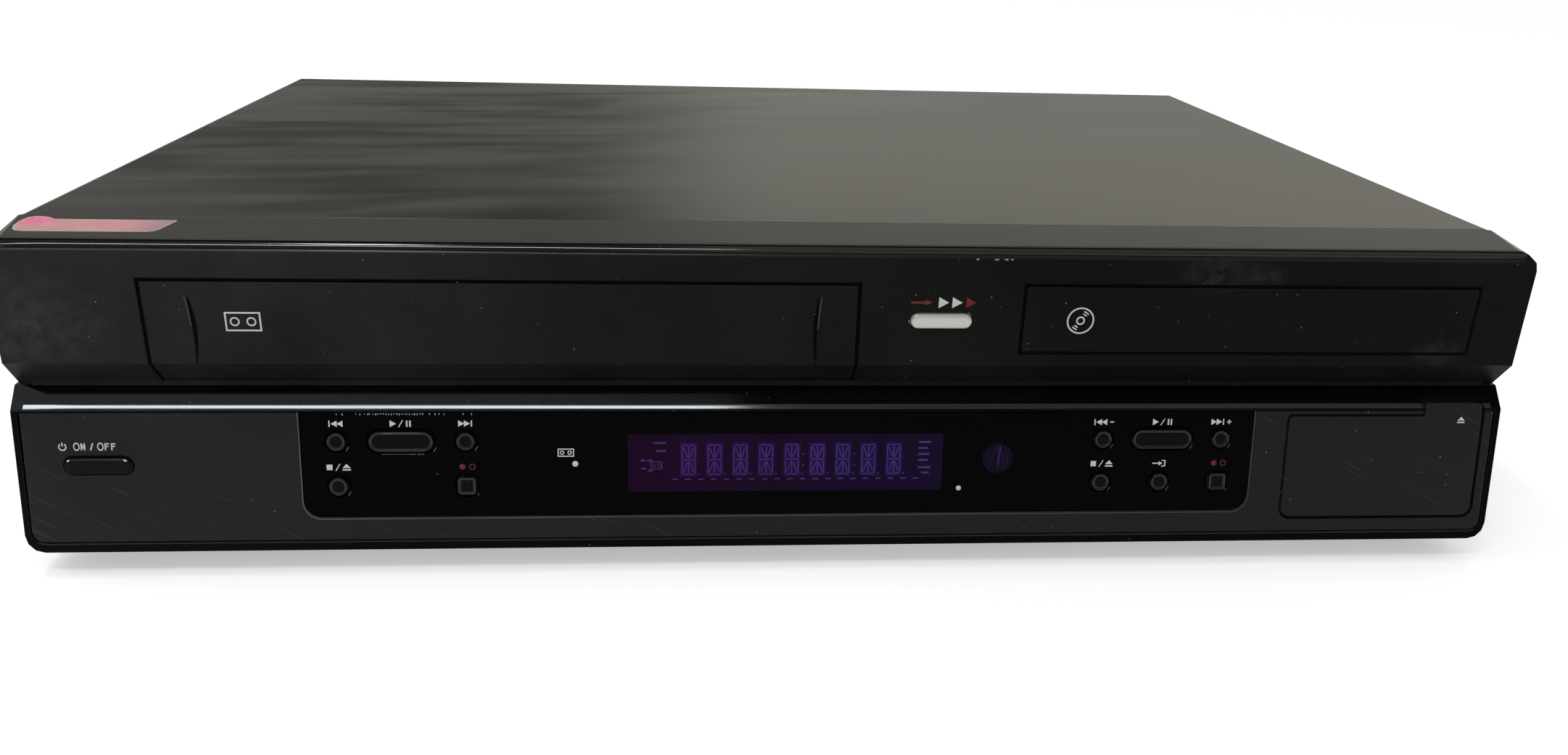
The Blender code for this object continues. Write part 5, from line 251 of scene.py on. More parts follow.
def soft_rubber(name, tone, rough):
    """Moulded elastomer: a fine matt bloom over black, with dust held in its grain of 0.6 mm."""
    made, tree, place = new_finish(name)
    bloom = add(tree, "TexNoise", {"Vector": place, "Scale": 55.0, "Detail": 5.0})
    grain = add(tree, "TexNoise", {"Vector": place, "Scale": 1600.0, "Detail": 2.0})
    shade = add(tree, "Mix", {0: bloom, 6: tone, 7: "#35342F"}, data_type="RGBA")
    relief = add(tree, "Bump", {"Height": grain, "Strength": 0.3, "Distance": 0.00006})
    skin = add(tree, "BsdfPrincipled", {"Base Color": shade.outputs[2], "Roughness": rough,
        "Specular IOR Level": 0.25, "Normal": relief})
    return closed(made, skin)


foot_rubber = soft_rubber("moulded_foot_rubber", "#131311", 0.72)
dress(foot_rubber, "foot_front_left", "foot_front_right", "foot_back_left", "foot_back_right")
FLOOR_UP = on((0, 0, 0), (1, 0, 0), (0, 1, 0))
for side, x in (("left", -165), ("right", 165)):
    for end, y in (("front", -98), ("back", 100)):
        ring = round_body(FLOOR_UP, [(17.0, 3.2), (17.5, 3.5), (17.5, 4.2), (17.0, 4.5)], (x, y), steps=12)
        finished(f"foot_bead_{end}_{side}", *ring, foot_rubber)

# Tape deck: plate, carriage and holder.
# The cassette sinks in a sheet steel basket that rides in a carriage between the deck's walls.
# The steel is bright zinc, cleaner and finer in its pattern than the outside panels.

deck_zinc = zinc_sheet("bright_zinc_deck", "#C6C8C9", "#B2B4B4", 0.3, 1.6, 0.5)
dress(deck_zinc, "deck_plate", "cassette_carriage", "cassette_holder", "clamp_bridge", "pinch_arm")

# Head drum, capstan, guides and motors.
# The drum is turned from aluminium and polished in rings, tilted six degrees on its base.
# Capstan, guide posts and motor cans are nickel-bright steel.


WAVE = 314.16


def turned_metal(name, light, rough, centre, tilt, spacing):
    """Turned metal: rings spacing mm apart round an axis through centre, tilted by tilt degrees about x. At a scale
    of 1 a wave repeats after WAVE mm. A real tool leaves finer rings; these are as coarse as they need to show."""
    made, tree, place = new_finish(name)
    mapped = add(tree, "Mapping", {"Vector": place, "Location": tuple(-part for part in centre)})
    tilted = add(tree, "VectorRotate", {"Vector": mapped, "Angle": float(np.radians(tilt))}, rotation_type="X_AXIS")
    rings = add(tree, "TexWave", {"Vector": tilted, "Scale": WAVE / spacing, "Distortion": 0.6, "Detail": 2.0},
        wave_type="RINGS", rings_direction="Z")
    film = add(tree, "TexNoise", {"Vector": place, "Scale": 120.0, "Detail": 3.0})
    shine = add(tree, "MapRange", {0: film, 1: 0.3, 2: 0.7, 3: rough - 0.05, 4: rough + 0.08})
    relief = add(tree, "Bump", {"Height": rings, "Strength": 0.25, "Distance": 0.00003})
    shade = add(tree, "Mix", {0: film, 6: light, 7: "#E8E6E0"}, data_type="RGBA")
    skin = add(tree, "BsdfPrincipled", {"Base Color": shade.outputs[2], "Metallic": 1.0, "Roughness": shine,
        "Normal": relief})
    return closed(made, skin)


drum_polish = turned_metal("turned_drum_aluminium", "#CDD0D2", 0.16, (-0.0781, 0.023475, 0.055), 6, 3.1838)
dress(drum_polish, "drum_base", "drum_rotor")
nickel = turned_metal("nickel_plated_steel", "#BDBBB4", 0.22, (-0.024, 0.002, 0.03), 0, 3.8205)
dress(nickel, "capstan", "tape_guide_left", "tape_guide_right", "loading_motor", "tray_motor", "turntable")
tin_can = turned_metal("tinned_tuner_can", "#A9AAA6", 0.33, (-0.032, 0.12, 0.04), 0, 15.282)
dress(tin_can, "tuner")

# Gears, reels and clamper.
# They are moulded in natural acetal: milky white, a little waxy, greased in the teeth.


def acetal(name, tone, grease):
    """Natural acetal: a soft waxy white, cloudier in patches, with a thin film of grease."""
    made, tree, place = new_finish(name)
    cloud = add(tree, "TexNoise", {"Vector": place, "Scale": 160.0, "Detail": 3.0})
    film = add(tree, "TexNoise", {"Vector": place, "Scale": 420.0, "Detail": 4.0})
    shade = add(tree, "Mix", {0: cloud, 6: tone, 7: grease}, data_type="RGBA")
    shine = add(tree, "MapRange", {0: film, 1: 0.35, 2: 0.65, 3: 0.28, 4: 0.5})
    skin = add(tree, "BsdfPrincipled", {"Base Color": shade.outputs[2], "Roughness": shine, "IOR": 1.48,
        "Subsurface Weight": 0.15, "Subsurface Scale": 0.002})
    return closed(made, skin)


white_acetal = acetal("natural_acetal", "#D9D7CC", "#C5C2B2")
dress(white_acetal, "loading_gear", "tray_pinion", "supply_reel", "takeup_reel", "disc_clamper")
roller_rubber = soft_rubber("pinch_roller_rubber", "#1A1918", 0.6)
dress(roller_rubber, "pinch_roller")

# Disc loader: frame, tray, traverse, pickup.
# All are charcoal ABS mouldings with a fine spark-eroded grain; the frame is screwed to the pan.


def specks(tree, place, scale, rare, size):
    """Dust specks in cells 1000 / scale mm wide: a cell has one where its chance is over rare, and the speck's
    radius grows with that chance, up to size of a cell."""
    cells = add(tree, "TexVoronoi", {"Vector": place, "Scale": scale})
    chance = add(tree, "SeparateColor", {0: cells.outputs["Color"]})
    reach = add(tree, "MapRange", {0: chance, 1: rare, 2: 1.0, 4: size})
    return add(tree, "Math", {0: cells.outputs["Distance"], 1: reach}, operation="LESS_THAN")


def moulded(name, tone, dusty, rough, specular, grain, depth, dust=0.35, edge=0.35, shine=0.06, shape=None,
        scuffs=(), scored=0.0, settling=0.0):
    """Black or grey moulding: grain mm of texture depth mm deep, a veil of dust in soft patches that thins out
    to the right as a square, which also paints the light falling off away from the lamps at the left, pale lint
    up to 0.45 mm wide in cells of 3 mm, and edges rounded and worn over edge mm. shape adds a height in metres for
    a rounding, scuffs are (x, y, z, radius) of rubbed spots in mm, 1.8 times as wide as high, scored is the strength
    of hair scratches 0.15 mm wide and 20 mm long, on a slant, and settling is the dust added where the face looks up."""
    made, tree, place = new_finish(name)
    texture = add(tree, "TexNoise", {"Vector": place, "Scale": 1000 / grain, "Detail": 3.0, "Roughness": 0.6})
    patches = add(tree, "TexNoise", {"Vector": place, "Scale": 14.0, "Detail": 5.0, "Roughness": 0.6})
    spot = add(tree, "SeparateXYZ", {0: place})
    # Dust and painted light: the veil thins to the right as a square, painting the fall-off of light from the lamps
    # at the left as well as dust.
    dust_and_light_to_left = add(tree, "MapRange", {0: spot.outputs[0], 1: 0.1, 2: -0.22, 3: 0.36, 4: 1.0})
    dust_and_light_falloff = add(tree, "Math", {0: dust_and_light_to_left, 1: 2.0}, operation="POWER")
    veil = add(tree, "MapRange", {0: patches, 1: 0.34, 2: 0.7, 3: dust * 0.35, 4: dust * 1.1})
    veil = add(tree, "Math", {0: veil, 1: dust_and_light_falloff}, operation="MULTIPLY")
    if settling:
        facing = add(tree, "SeparateXYZ", {0: add(tree, "NewGeometry").outputs["Normal"]})
        resting = add(tree, "MapRange", {0: facing.outputs[2], 1: 0.8, 2: 1.0, 4: settling})
        veil = add(tree, "Math", {0: veil, 1: resting}, operation="ADD")
    for x, y, z, radius in scuffs:
        flat_way = add(tree, "VectorMath", {0: place, 1: (0.55, 1, 1)}, operation="MULTIPLY")
        far = add(tree, "VectorMath", {0: flat_way, 1: (0.55 * x / 1000, y / 1000, z / 1000)}, operation="DISTANCE")
        near = add(tree, "MapRange", {0: far.outputs["Value"], 1: 0.0, 2: radius / 1000, 3: 1.0, 4: 0.0})
        broken = add(tree, "TexNoise", {"Vector": place, "Scale": 260.0, "Detail": 4.0, "Roughness": 0.6})
        flaky = add(tree, "MapRange", {0: broken, 1: 0.38, 2: 0.72, 3: 0.04, 4: 0.5})
        rubbed = add(tree, "Math", {0: near, 1: flaky}, operation="MULTIPLY")
        veil = add(tree, "Math", {0: veil, 1: rubbed}, operation="ADD")
    if scored:
        slant = add(tree, "Mapping", {"Vector": place, "Scale": (0.02, 0.02, 0.0007), "Rotation": (0, 0.5, 0)},
            vector_type="TEXTURE")
        hairs = add(tree, "TexNoise", {"Vector": slant, "Scale": 1.0, "Detail": 1.5})
        cut = add(tree, "MapRange", {0: hairs, 1: 0.67, 2: 0.77, 4: scored})
        veil = add(tree, "Math", {0: veil, 1: cut}, operation="ADD")
    speck = specks(tree, place, 330.0, 0.45, 0.075)
    rounded = add(tree, "Bevel", {"Radius": edge / 1000}, samples=4)
    flat = add(tree, "NewGeometry")
    bend = add(tree, "VectorMath", {0: rounded, 1: flat.outputs["Normal"]}, operation="DOT_PRODUCT")
    rub = add(tree, "MapRange", {0: bend.outputs["Value"], 1: 0.995, 2: 0.85, 4: 0.35})
    veiled = add(tree, "Mix", {0: veil, 6: tone, 7: dusty}, data_type="RGBA")
    rubbed = add(tree, "Mix", {0: rub, 6: veiled.outputs[2], 7: "#4A4944"}, data_type="RGBA")
    specked = add(tree, "Mix", {0: speck, 6: rubbed.outputs[2], 7: "#77766E"}, data_type="RGBA")
    dull = add(tree, "MapRange", {0: patches, 1: 0.3, 2: 0.75, 3: rough - shine, 4: rough + shine})
    if shape:
        rounded = add(tree, "Bump", {"Height": shape(tree, place), "Strength": 1.0, "Distance": 1.0,
            "Normal": rounded})
    relief = add(tree, "Bump", {"Height": texture, "Strength": 0.5, "Distance": depth / 1000, "Normal": rounded})
    skin = add(tree, "BsdfPrincipled", {"Base Color": specked.outputs[2], "Roughness": dull,
        "Specular IOR Level": specular, "IOR": 1.53, "Normal": relief})
    return closed(made, skin)


charcoal = moulded("charcoal_moulding", "#2A2A2B", "#3A3A38", 0.5, 0.35, 0.5, 0.02)
dress(charcoal, "loader_frame", "traverse", "fan_frame", "fan_rotor", "power_inlet")
tray_charcoal = moulded("satin_tray_moulding", "#2E2E30", "#3B3B3A", 0.36, 0.4, 0.35, 0.012)
dress(tray_charcoal, "disc_tray", "pickup_sled")

# Circuit boards.
# The main and front boards are glass-epoxy with green resist over etched copper, the parts soldered on.
# Their parts stand above the board's own face, so the finish turns to black and silver with height. The front
# board stands upright, so it keeps its resist all over.


def board(name, resist, copper, gap, top, brick):
    """Resist over copper: fields of tracks as bricks brick mm long and half as high, with bare gaps and solder
    between them, drawn coarse so that they show. Above top mm come the parts."""
    made, tree, place = new_finish(name)
    across = add(tree, "TexBrick", {"Vector": place, "Scale": 500 / brick, "Mortar Size": 0.035,
        "Color1": resist, "Color2": copper, "Mortar": gap})
    dots = add(tree, "TexVoronoi", {"Vector": place, "Scale": 2000 / brick})
    joint = add(tree, "Math", {0: dots.outputs["Distance"], 1: 0.16}, operation="LESS_THAN")
    soldered = add(tree, "Mix", {0: joint, 6: across.outputs[0], 7: "#B9B8B0"}, data_type="RGBA")
    parts = add(tree, "SeparateXYZ", {0: place})
    raised = add(tree, "Math", {0: parts.outputs[2], 1: top / 1000}, operation="GREATER_THAN")
    kinds = add(tree, "TexVoronoi", {"Vector": place, "Scale": 60.0})
    body = add(tree, "Mix", {0: kinds.outputs["Color"], 6: "#101113", 7: "#26262A"},
        data_type="RGBA")
    shown = add(tree, "Mix", {0: raised, 6: soldered.outputs[2], 7: body.outputs[2]}, data_type="RGBA")
    metal = add(tree, "Math", {0: joint, 1: 0.6}, operation="MULTIPLY")
    relief = add(tree, "Bump", {"Height": across.outputs["Fac"], "Strength": 0.3, "Distance": 0.00004})
    skin = add(tree, "BsdfPrincipled", {"Base Color": shown.outputs[2], "Metallic": metal, "Roughness": 0.36,
        "Normal": relief})
    return closed(made, skin)


main_green = board("green_resist_board", "#14452A", "#1C5A38", "#2C5B3C", 15.7, 5.6)
dress(main_green, "main_board")
power_tan = board("paper_phenolic_board", "#8A6A3C", "#826236", "#947346", 15.7, 12.0)
dress(power_tan, "power_board")
front_green = board("green_front_board", "#14452A", "#1C5A38", "#2C5B3C", 400.0, 5.6)
dress(front_green, "front_board")

# Rear sockets.
# Each phono socket is a nickel sleeve round a coloured insulator; the two aerial sockets are threaded.
# The sleeves are pressed over the moulded block and show through the panel.

jack_black = moulded("black_jack_moulding", "#151515", "#2B2B2A", 0.42, 0.35, 0.4, 0.01)
dress(jack_black, "rear_jacks", "front_jacks")


def dyed(name, tone, rough=0.38):
    """Dyed polypropylene ring: an even colour, slightly uneven in its gloss, dulled by dust."""
    made, tree, place = new_finish(name)
    mottle = add(tree, "TexNoise", {"Vector": place, "Scale": 380.0, "Detail": 3.0})
    thin = add(tree, "MapRange", {0: mottle, 1: 0.3, 2: 0.7, 3: 0.02, 4: 0.16})
    shade = add(tree, "Mix", {0: thin, 6: tone, 7: "#8A857B"}, data_type="RGBA")
    shine = add(tree, "MapRange", {0: mottle, 3: rough - 0.08, 4: rough + 0.12})
    skin = add(tree, "BsdfPrincipled", {"Base Color": shade.outputs[2], "Roughness": shine, "IOR": 1.49})
    return closed(made, skin)


RING_TONES = {"yellow": "#D8A916", "white": "#D6D5CE", "red": "#B2201A", "green": "#1F7A3A", "blue": "#1D4B9B",
    "black": "#1B1B1C", "orange": "#C8641A"}
rings_of = {tone: dyed(f"{tone}_socket_ring", code) for tone, code in RING_TONES.items()}
SOCKET_X = [76.0, 90.0, 104.0, 118.0]
SOCKET_ROWS = {56.0: ("yellow", "green", "blue", "red"), 42.0: ("white", "white", "white", "orange"),
    28.0: ("red", "red", "red", "black")}
RING_ROWS = [(4.35, -0.2), (5.4, -0.2), (5.4, 0.7), (5.1, 1.0), (4.35, 1.0), (4.35, -0.2)]
SLEEVE_ROWS = [(4.12, 1.2), (4.32, 1.2), (4.32, 7.55), (4.2, 7.8), (3.5, 7.8), (3.4, 7.55), (4.12, 7.4)]
for z, tones in SOCKET_ROWS.items():
    for x, tone in zip(SOCKET_X, tones):
        finished(f"phono_ring_{int(x)}_{int(z)}", *round_body(BACK, RING_ROWS, (-x, z)), rings_of[tone])
        finished(f"phono_sleeve_{int(x)}_{int(z)}", *round_body(BACK, SLEEVE_ROWS, (-x, z)), nickel)

THREAD_PITCH = 0.8


def threaded(place, centre, radius, low, high):
    """An aerial thread: radius + 0.22 mm at each crest and back at each root, as a cosine, one ridge a pitch."""
    height = np.linspace(low, high, int((high - low) / THREAD_PITCH * 4) + 1)
    ridge = radius + 0.11 * (1 - np.cos(2 * np.pi * (height - low) / THREAD_PITCH))
    rows = np.stack([ridge, height], 1)
    rows = np.concatenate([[(radius - 0.15, low)], rows, [(radius - 0.15, high + 0.15)]])
    return round_body(place, rows, centre)


NUT_ROWS = [(5.4, 0.05), (6.1, 0.05), (6.3, 0.3), (6.3, 1.6), (6.0, 1.9), (5.4, 1.9)]
INSULATOR_ROWS = [(1.5, 9.0), (3.4, 9.0), (3.4, 9.95), (1.5, 9.95)]
for name, z in (("aerial_in", 32.0), ("aerial_out", 56.0)):
    finished(f"{name}_thread", *threaded(BACK, (32.0, z), 4.83, 2.2, 9.8), nickel)
    finished(f"{name}_nut", *round_body(BACK, NUT_ROWS, (32.0, z), steps=3), nickel)
    finished(f"{name}_insulator", *round_body(BACK, INSULATOR_ROWS, (32.0, z)), white_acetal)

# Front bezel.
# One black ABS moulding carries both fascias: top strip, shoulder, bevel and the sides.
# It is polished in the mould, so it shows sharp reflections under a little dust.


def rolled_edges(tree, place):
    """Height of the strip's rounding: its front edge falls by 0.55 mm over its last 2.2 mm as a square law."""
    spot = add(tree, "SeparateXYZ", {0: place})
    forward = add(tree, "MapRange", {0: spot.outputs[1], 1: -0.1455, 2: -0.1477})
    fall = add(tree, "Math", {0: forward, 1: 2.0}, operation="POWER")
    fall = add(tree, "Math", {0: fall, 1: -0.00055}, operation="MULTIPLY")
    on_top = add(tree, "Math", {0: spot.outputs[2], 1: 0.0965}, operation="GREATER_THAN")
    return add(tree, "Math", {0: fall, 1: on_top}, operation="MULTIPLY")


bezel_gloss = moulded("polished_black_moulding", "#060606", "#42413C", 0.1, 0.018, 0.9, 0.003, 0.1, 0.4, 0.04,
    rolled_edges, settling=0.9)
dress(bezel_gloss, "front_bezel")

# Upper fascia, cassette door and tray front.
# They are satin black mouldings from the same grade, set in the bezel with an even shadow gap.

fascia_satin = moulded("satin_black_moulding", "#0D0D0B", "#4A4B46", 0.4, 0.03, 0.22, 0.012, 0.5, 0.35,
    scuffs=[(188, -150, 67, 5), (118, -150, 91, 7), (132, -150, 90, 4), (-205, -150, 74, 18)])
dress(fascia_satin, "upper_fascia", "cassette_door", "tray_fascia")

FACE = on((0, -0.150025, 0), (1, 0, 0), (0, 0, 1))


# Both inks are pad-printed, grainy in 0.7 mm: the silver-white one is thin enough that the black shows a little
# through it, and the red one is a dull brick red, uneven in its thickness.
INK = {"Roughness": 0.5, "Specular IOR Level": 0.3}
white_print = mottled("silver_white_ink", 1400.0, 3.0, "#C0C1BE", "#EBECE8", INK)
red_print = mottled("dull_red_ink", 1400.0, 3.0, "#561611", "#7A241D", INK)


def printed(name, place, loops, ink, body="chassis"):
    """Ink 0.03 mm thick that stands on its surface."""
    return finished(name, *plates(place, loops, SINK, 0.03), ink, body)


def box_loop(left, right, low, high):
    """The four corners of a rectangle."""
    return np.array(((left, low), (right, low), (right, high), (left, high)), float)


def frame_of(left, right, low, high, width):
    """Four bars round a rectangle, as loops."""
    return [box_loop(left, right, low, low + width), box_loop(left, right, high - width, high),
        box_loop(left, left + width, low + width, high - width),
        box_loop(right - width, right, low + width, high - width)]


def circle_line(u, v, radius, width, steps=16):
    """A ring with a line's width, as two half bands."""
    return [band(arc(u, v, radius, start, start + 180, steps), width) for start in (0, 180)]


def cassette_sign(u, v, width, height, line):
    """A cassette: a frame with two reels."""
    reel = height * 0.2
    loops = frame_of(u - width / 2, u + width / 2, v - height / 2, v + height / 2, line)
    for side in (-1, 1):
        loops += circle_line(u + side * width * 0.23, v, reel, line * 0.9)
    return loops


def disc_sign(u, v, radius, line):
    """A disc: an outer ring, a hub ring and two short shine marks."""
    loops = circle_line(u, v, radius, line, 20) + circle_line(u, v, radius * 0.28, line, 20)
    return loops + [band(arc(u, v, radius * size, start, start + 34, 8), line * 0.8)
        for size in (0.55, 0.75) for start in (40, 220)]


printed("tape_sign", FACE, cassette_sign(-148.0, 75.3, 9.4, 5.4, 0.45), white_print, "cassette_door")
printed("disc_sign", FACE, disc_sign(80.5, 76.6, 3.7, 0.45), white_print, "disc_tray")

# Rolled edges of the face and the shoulder.
# Both edges are rolled and polished, and a fine groove parts the face from the strip above; the groove's shade is
# painted in matt black.
# A few chips show the bare moulding.


def rolled_edge(low, high, bulge, half, steps=10, spans=60):
    """A strip from low to high in (y, z), bowed out by bulge times 4 t (1 - t) along its width, for x from -half
    to half; the bow fades to nothing over the last 8 mm at each end, as the square root of a smooth step."""
    t = np.linspace(0, 1, steps + 1)
    x = np.linspace(-half, half, spans + 1)
    fade = np.clip((half - np.abs(x)) / 8, 0, 1)
    fade = np.sqrt(fade * fade * (3 - 2 * fade))
    low, high = np.array(low, float), np.array(high, float)
    chord = high - low
    out = np.array((-chord[1], chord[0])) / np.hypot(*chord)
    bow = (0.02 + bulge * 4 * t * (1 - t))[None, :] * fade[:, None] - 0.02 * (1 - fade[:, None])
    line = low + t[None, :, None] * chord + bow[..., None] * out
    points = np.concatenate([np.repeat(x[:, None, None], steps + 1, 1), line], 2).reshape(-1, 3) / 1000
    index = np.arange(len(points)).reshape(spans + 1, steps + 1)
    faces = np.stack([index[:-1, :-1], index[1:, :-1], index[1:, 1:], index[:-1, 1:]], 2).reshape(-1, 4).tolist()
    under = points + np.array((0, 0.0003, -0.0003))
    rim = np.concatenate([index[0], index[1:, -1], index[-1, -2::-1], index[-2:0:-1, 0]])
    count = len(points)
    walls = np.stack([rim, np.roll(rim, -1), np.roll(rim, -1) + count, rim + count], 1).tolist()
    back = (index[:-1, :-1], index[:-1, 1:], index[1:, 1:], index[1:, :-1])
    backs = (np.stack(back, 2).reshape(-1, 4) + count).tolist()
    return np.concatenate([points, under]), faces + walls + backs


edge_gloss = moulded("polished_edge_moulding", "#0A0A0A", "#1B1B1A", 0.11, 0.9, 0.9, 0.003, 0.3, 0.1, 0.03)
dull_edge = moulded("dulled_edge_moulding", "#0D0D0C", "#2E2E2C", 0.2, 0.35, 0.9, 0.003, 0.6, 0.1, 0.03)
finished("strip_rolled_edge", *rolled_edge((-149.05, 95.43), (-147.78, 96.68), 0.26, 209), edge_gloss, smooth=60)
finished("face_rolled_edge", *rolled_edge((-149.98, 94.54), (-149.32, 95.17), 0.12, 209), dull_edge, smooth=60)
finished("shoulder_rolled_edge", *rolled_edge((-146.735, 48.42), (-145.748, 49.55), 0.02, 211), edge_gloss, smooth=60)
# Painted shade: this near-black matt finish paints the shade in the grooves and in the gaps round the doors.
gap_shade_black = moulded("painted_gap_shade", "#020202", "#040404", 0.7, 0.02, 0.5, 0.01, 0.1)
GROOVE = on((0, -0.147425, 0), (1, 0, 0), (0, 0, 1))
finished("strip_groove_shade", *plates(GROOVE, [box_loop(-208, 208, 96.5, 96.9)]), gap_shade_black)
finished("face_groove_shade", *rolled_edge((-149.32, 95.17), (-149.05, 95.43), 0.01, 209), gap_shade_black)
bare_black = moulded("bare_chip", "#9A9B98", "#B5B6B2", 0.6, 0.1, 0.5, 0.02, 0.2, 0.05)
CHIPS = [((49.2, 93.95), (49.8, 93.9), (50.1, 94.4), (49.4, 94.45)), ((54.2, 94.0), (55.4, 93.95), (55.7, 94.35),
    (54.6, 94.4)), ((57.0, 94.1), (58.0, 93.9), (58.3, 94.3), (57.4, 94.45)), ((58.9, 94.05), (59.7, 94.0),
    (59.6, 94.35), (58.8, 94.4))]
finished("edge_chips", *plates(FACE, CHIPS, SINK, 0.015), bare_black)

# Painted shade round the doors.
# Thin near-black plates round each opening paint the shade of its gap, so each door sits in a dark line wider than
# its gap.

BEVEL = on((0, -0.150025, 0.0633), (1, 0, 0), (0, -0.669, 0.743))


def hoop(place, outer, inner, low, high):
    """A closed frame between two loops of as many points: the four loops at low and high are joined in a tube."""
    corners = (outer, low), (outer, high), (inner, high), (inner, low)
    loops = [place(loop[:, 0], loop[:, 1], at) for loop, at in corners]
    index = np.arange(4 * len(outer)).reshape(4, -1)
    after = np.roll(index, -1, 0)
    faces = np.stack([index, np.roll(index, -1, 1), np.roll(after, -1, 1), after], 2).reshape(-1, 4)
    return np.concatenate(loops), faces.tolist()


door_lines = [box_loop(-174.3, -173.5, 63.3, 87.4), box_loop(17.3, 18.1, 63.3, 87.4),
    box_loop(-173.5, 17.3, 86.6, 87.4)]
finished("door_gap_shade", *plates(FACE, door_lines, SINK, 0.015), gap_shade_black)
door_feet = [box_loop(-174.3, -173.5, -11.9, 0), box_loop(17.3, 18.1, -11.9, 0)]
finished("door_gap_shade_foot", *plates(BEVEL, door_feet, SINK, 0.015), gap_shade_black)
finished("tray_gap_shade", *hoop(FACE, box_loop(63.45, 197.05, 66.4, 87.4), box_loop(64.2, 196.3, 67.1, 86.6),
    SINK, 0.015), gap_shade_black)

# Finger scoops of the cassette door.
# The scoops are not modelled: at each end of the door a black crescent paints the shade of a shallow scoop's steep
# side, and a pale line beside it paints the light on its edge.

scoop_painted_shade = moulded("scoop_painted_shade", "#020202", "#060605", 0.6, 0.03, 0.5, 0.01)
scoop_painted_highlight = moulded("scoop_painted_highlight", "#42423C", "#4C4B45", 0.42, 0.2, 0.5, 0.01)
for name, x, low, high, way in (("left", -161.5, 63.0, 82.4, 1), ("right", 6.3, 62.0, 83.0, -1)):
    lift = np.linspace(0, 1, 17)
    bow = np.stack([x + way * 1.5 * np.sin(np.pi * lift) * 0.5, low + (high - low) * lift], 1)
    thick = np.stack([0.12 + 0.5 * np.sin(np.pi * lift ** 1.3) ** 0.7, 0 * lift], 1)
    crescent = np.concatenate([bow + thick, (bow - thick)[::-1]])
    finished(f"scoop_{name}", *plates(FACE, [crescent]), scoop_painted_shade, "cassette_door")
    edge = band(np.stack([bow[9:, 0] - way * 0.8, bow[9:, 1]], 1), 0.35)
    finished(f"scoop_highlight_{name}", *plates(FACE, [edge]), scoop_painted_highlight, "cassette_door")

# Copy button.
# A capsule of ABS with silver paint, domed along its edge; a key behind the fascia springs it back.


def silver_paint():
    """Metallic silver lacquer on ABS: fine flake that glitters in 0.2 mm grains, a little uneven in its gloss."""
    made, tree, place = new_finish("silver_lacquer")
    flake = add(tree, "TexVoronoi", {"Vector": place, "Scale": 5000.0})
    wear = add(tree, "TexNoise", {"Vector": place, "Scale": 260.0, "Detail": 4.0})
    shade = add(tree, "Mix", {0: flake.outputs["Color"], 6: "#B9B7AF", 7: "#DAD8D1"},
        data_type="RGBA")
    shine = add(tree, "MapRange", {0: wear, 3: 0.3, 4: 0.48})
    skin = add(tree, "BsdfPrincipled", {"Base Color": shade.outputs[2], "Metallic": 0.45, "Roughness": shine})
    return closed(made, skin)


silver = silver_paint()
COPY = (40.75, 76.4)
copy_rows = [(3.25, -3.6), (3.25, -2.8), (2.05, -2.8), (2.05, 0.55), (2.0, 0.8), (1.85, 1.02), (1.6, 1.18),
    (1.2, 1.27), (0.85, 1.3), (0.65, 1.3)]
copy_cap = finished("copy_cap", *round_body(FACE, copy_rows, COPY, (6.55, 0), 8), silver, "copy_button", 50)
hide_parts("copy_button")


def pointer(u, v, size, way=1):
    """A triangle that points along u."""
    return np.array(((u - way * size * 0.5, v - size * 0.55), (u + way * size * 0.5, v),
        (u - way * size * 0.5, v + size * 0.55)))


printed("copy_pointers", FACE, [pointer(41.2, 81.7, 2.9), pointer(45.0, 81.7, 2.9)], white_print)
printed("copy_pointer_red", FACE, [pointer(48.9, 81.7, 2.7)], red_print)
printed("copy_arrow", FACE, [np.array(((32.0, 81.35), (36.0, 81.35), (36.0, 80.8), (38.0, 81.7), (36.0, 82.6),
    (36.0, 82.05), (32.0, 82.05)))], red_print)

# Lower fascia, flip door and power button.
# They are textured black ABS, a shade greyer than the face above, clipped behind the shoulder.

lower_texture = moulded("textured_grey_black_moulding", "#1B1B1B", "#3A3A38", 0.5, 0.1, 0.55, 0.03, 0.45, 0.4,
    scored=0.55)
dress(lower_texture, "lower_fascia", "jack_door")


def flip_line(spread):
    """The flip door's stepped outline, spread outwards: corner radius 3.2 mm, small one 1.6 mm, tab 4.1 mm up."""
    left, right, low, top = 148.4 - spread, 208.8 + spread, -33.488 - spread, -1.9 + spread
    high, step, big, small = top + 4.1, 190.4 - spread, 3.2 + spread, 1.6
    return np.concatenate([arc(left + big, low + big, big, 180, 270, 9),
        arc(right - big, low + big, big, 270, 360, 9), arc(right - big, high - big, big, 0, 90, 9),
        [(step, high), (step, top)], arc(left + small, top - small, small, 90, 180, 5)])


SLOPE_TOP, LEAN = (0, -0.146985, 0.0481), (0, 0.169349, 0.985556)
SLOPE = on(SLOPE_TOP, (1, 0, 0), LEAN)
OUTWARD = np.cross((1, 0, 0), LEAN)
# Painted shade: a thin black frame round the flip door paints the shade of its gap.
finished("flip_door_gap_shade", *hoop(SLOPE, flip_line(0.5), flip_line(0.1), SINK, 0.012), gap_shade_black)

# Display window.
# Smoked acrylic, flame-polished and nearly black, let in flush with a hole for each button.


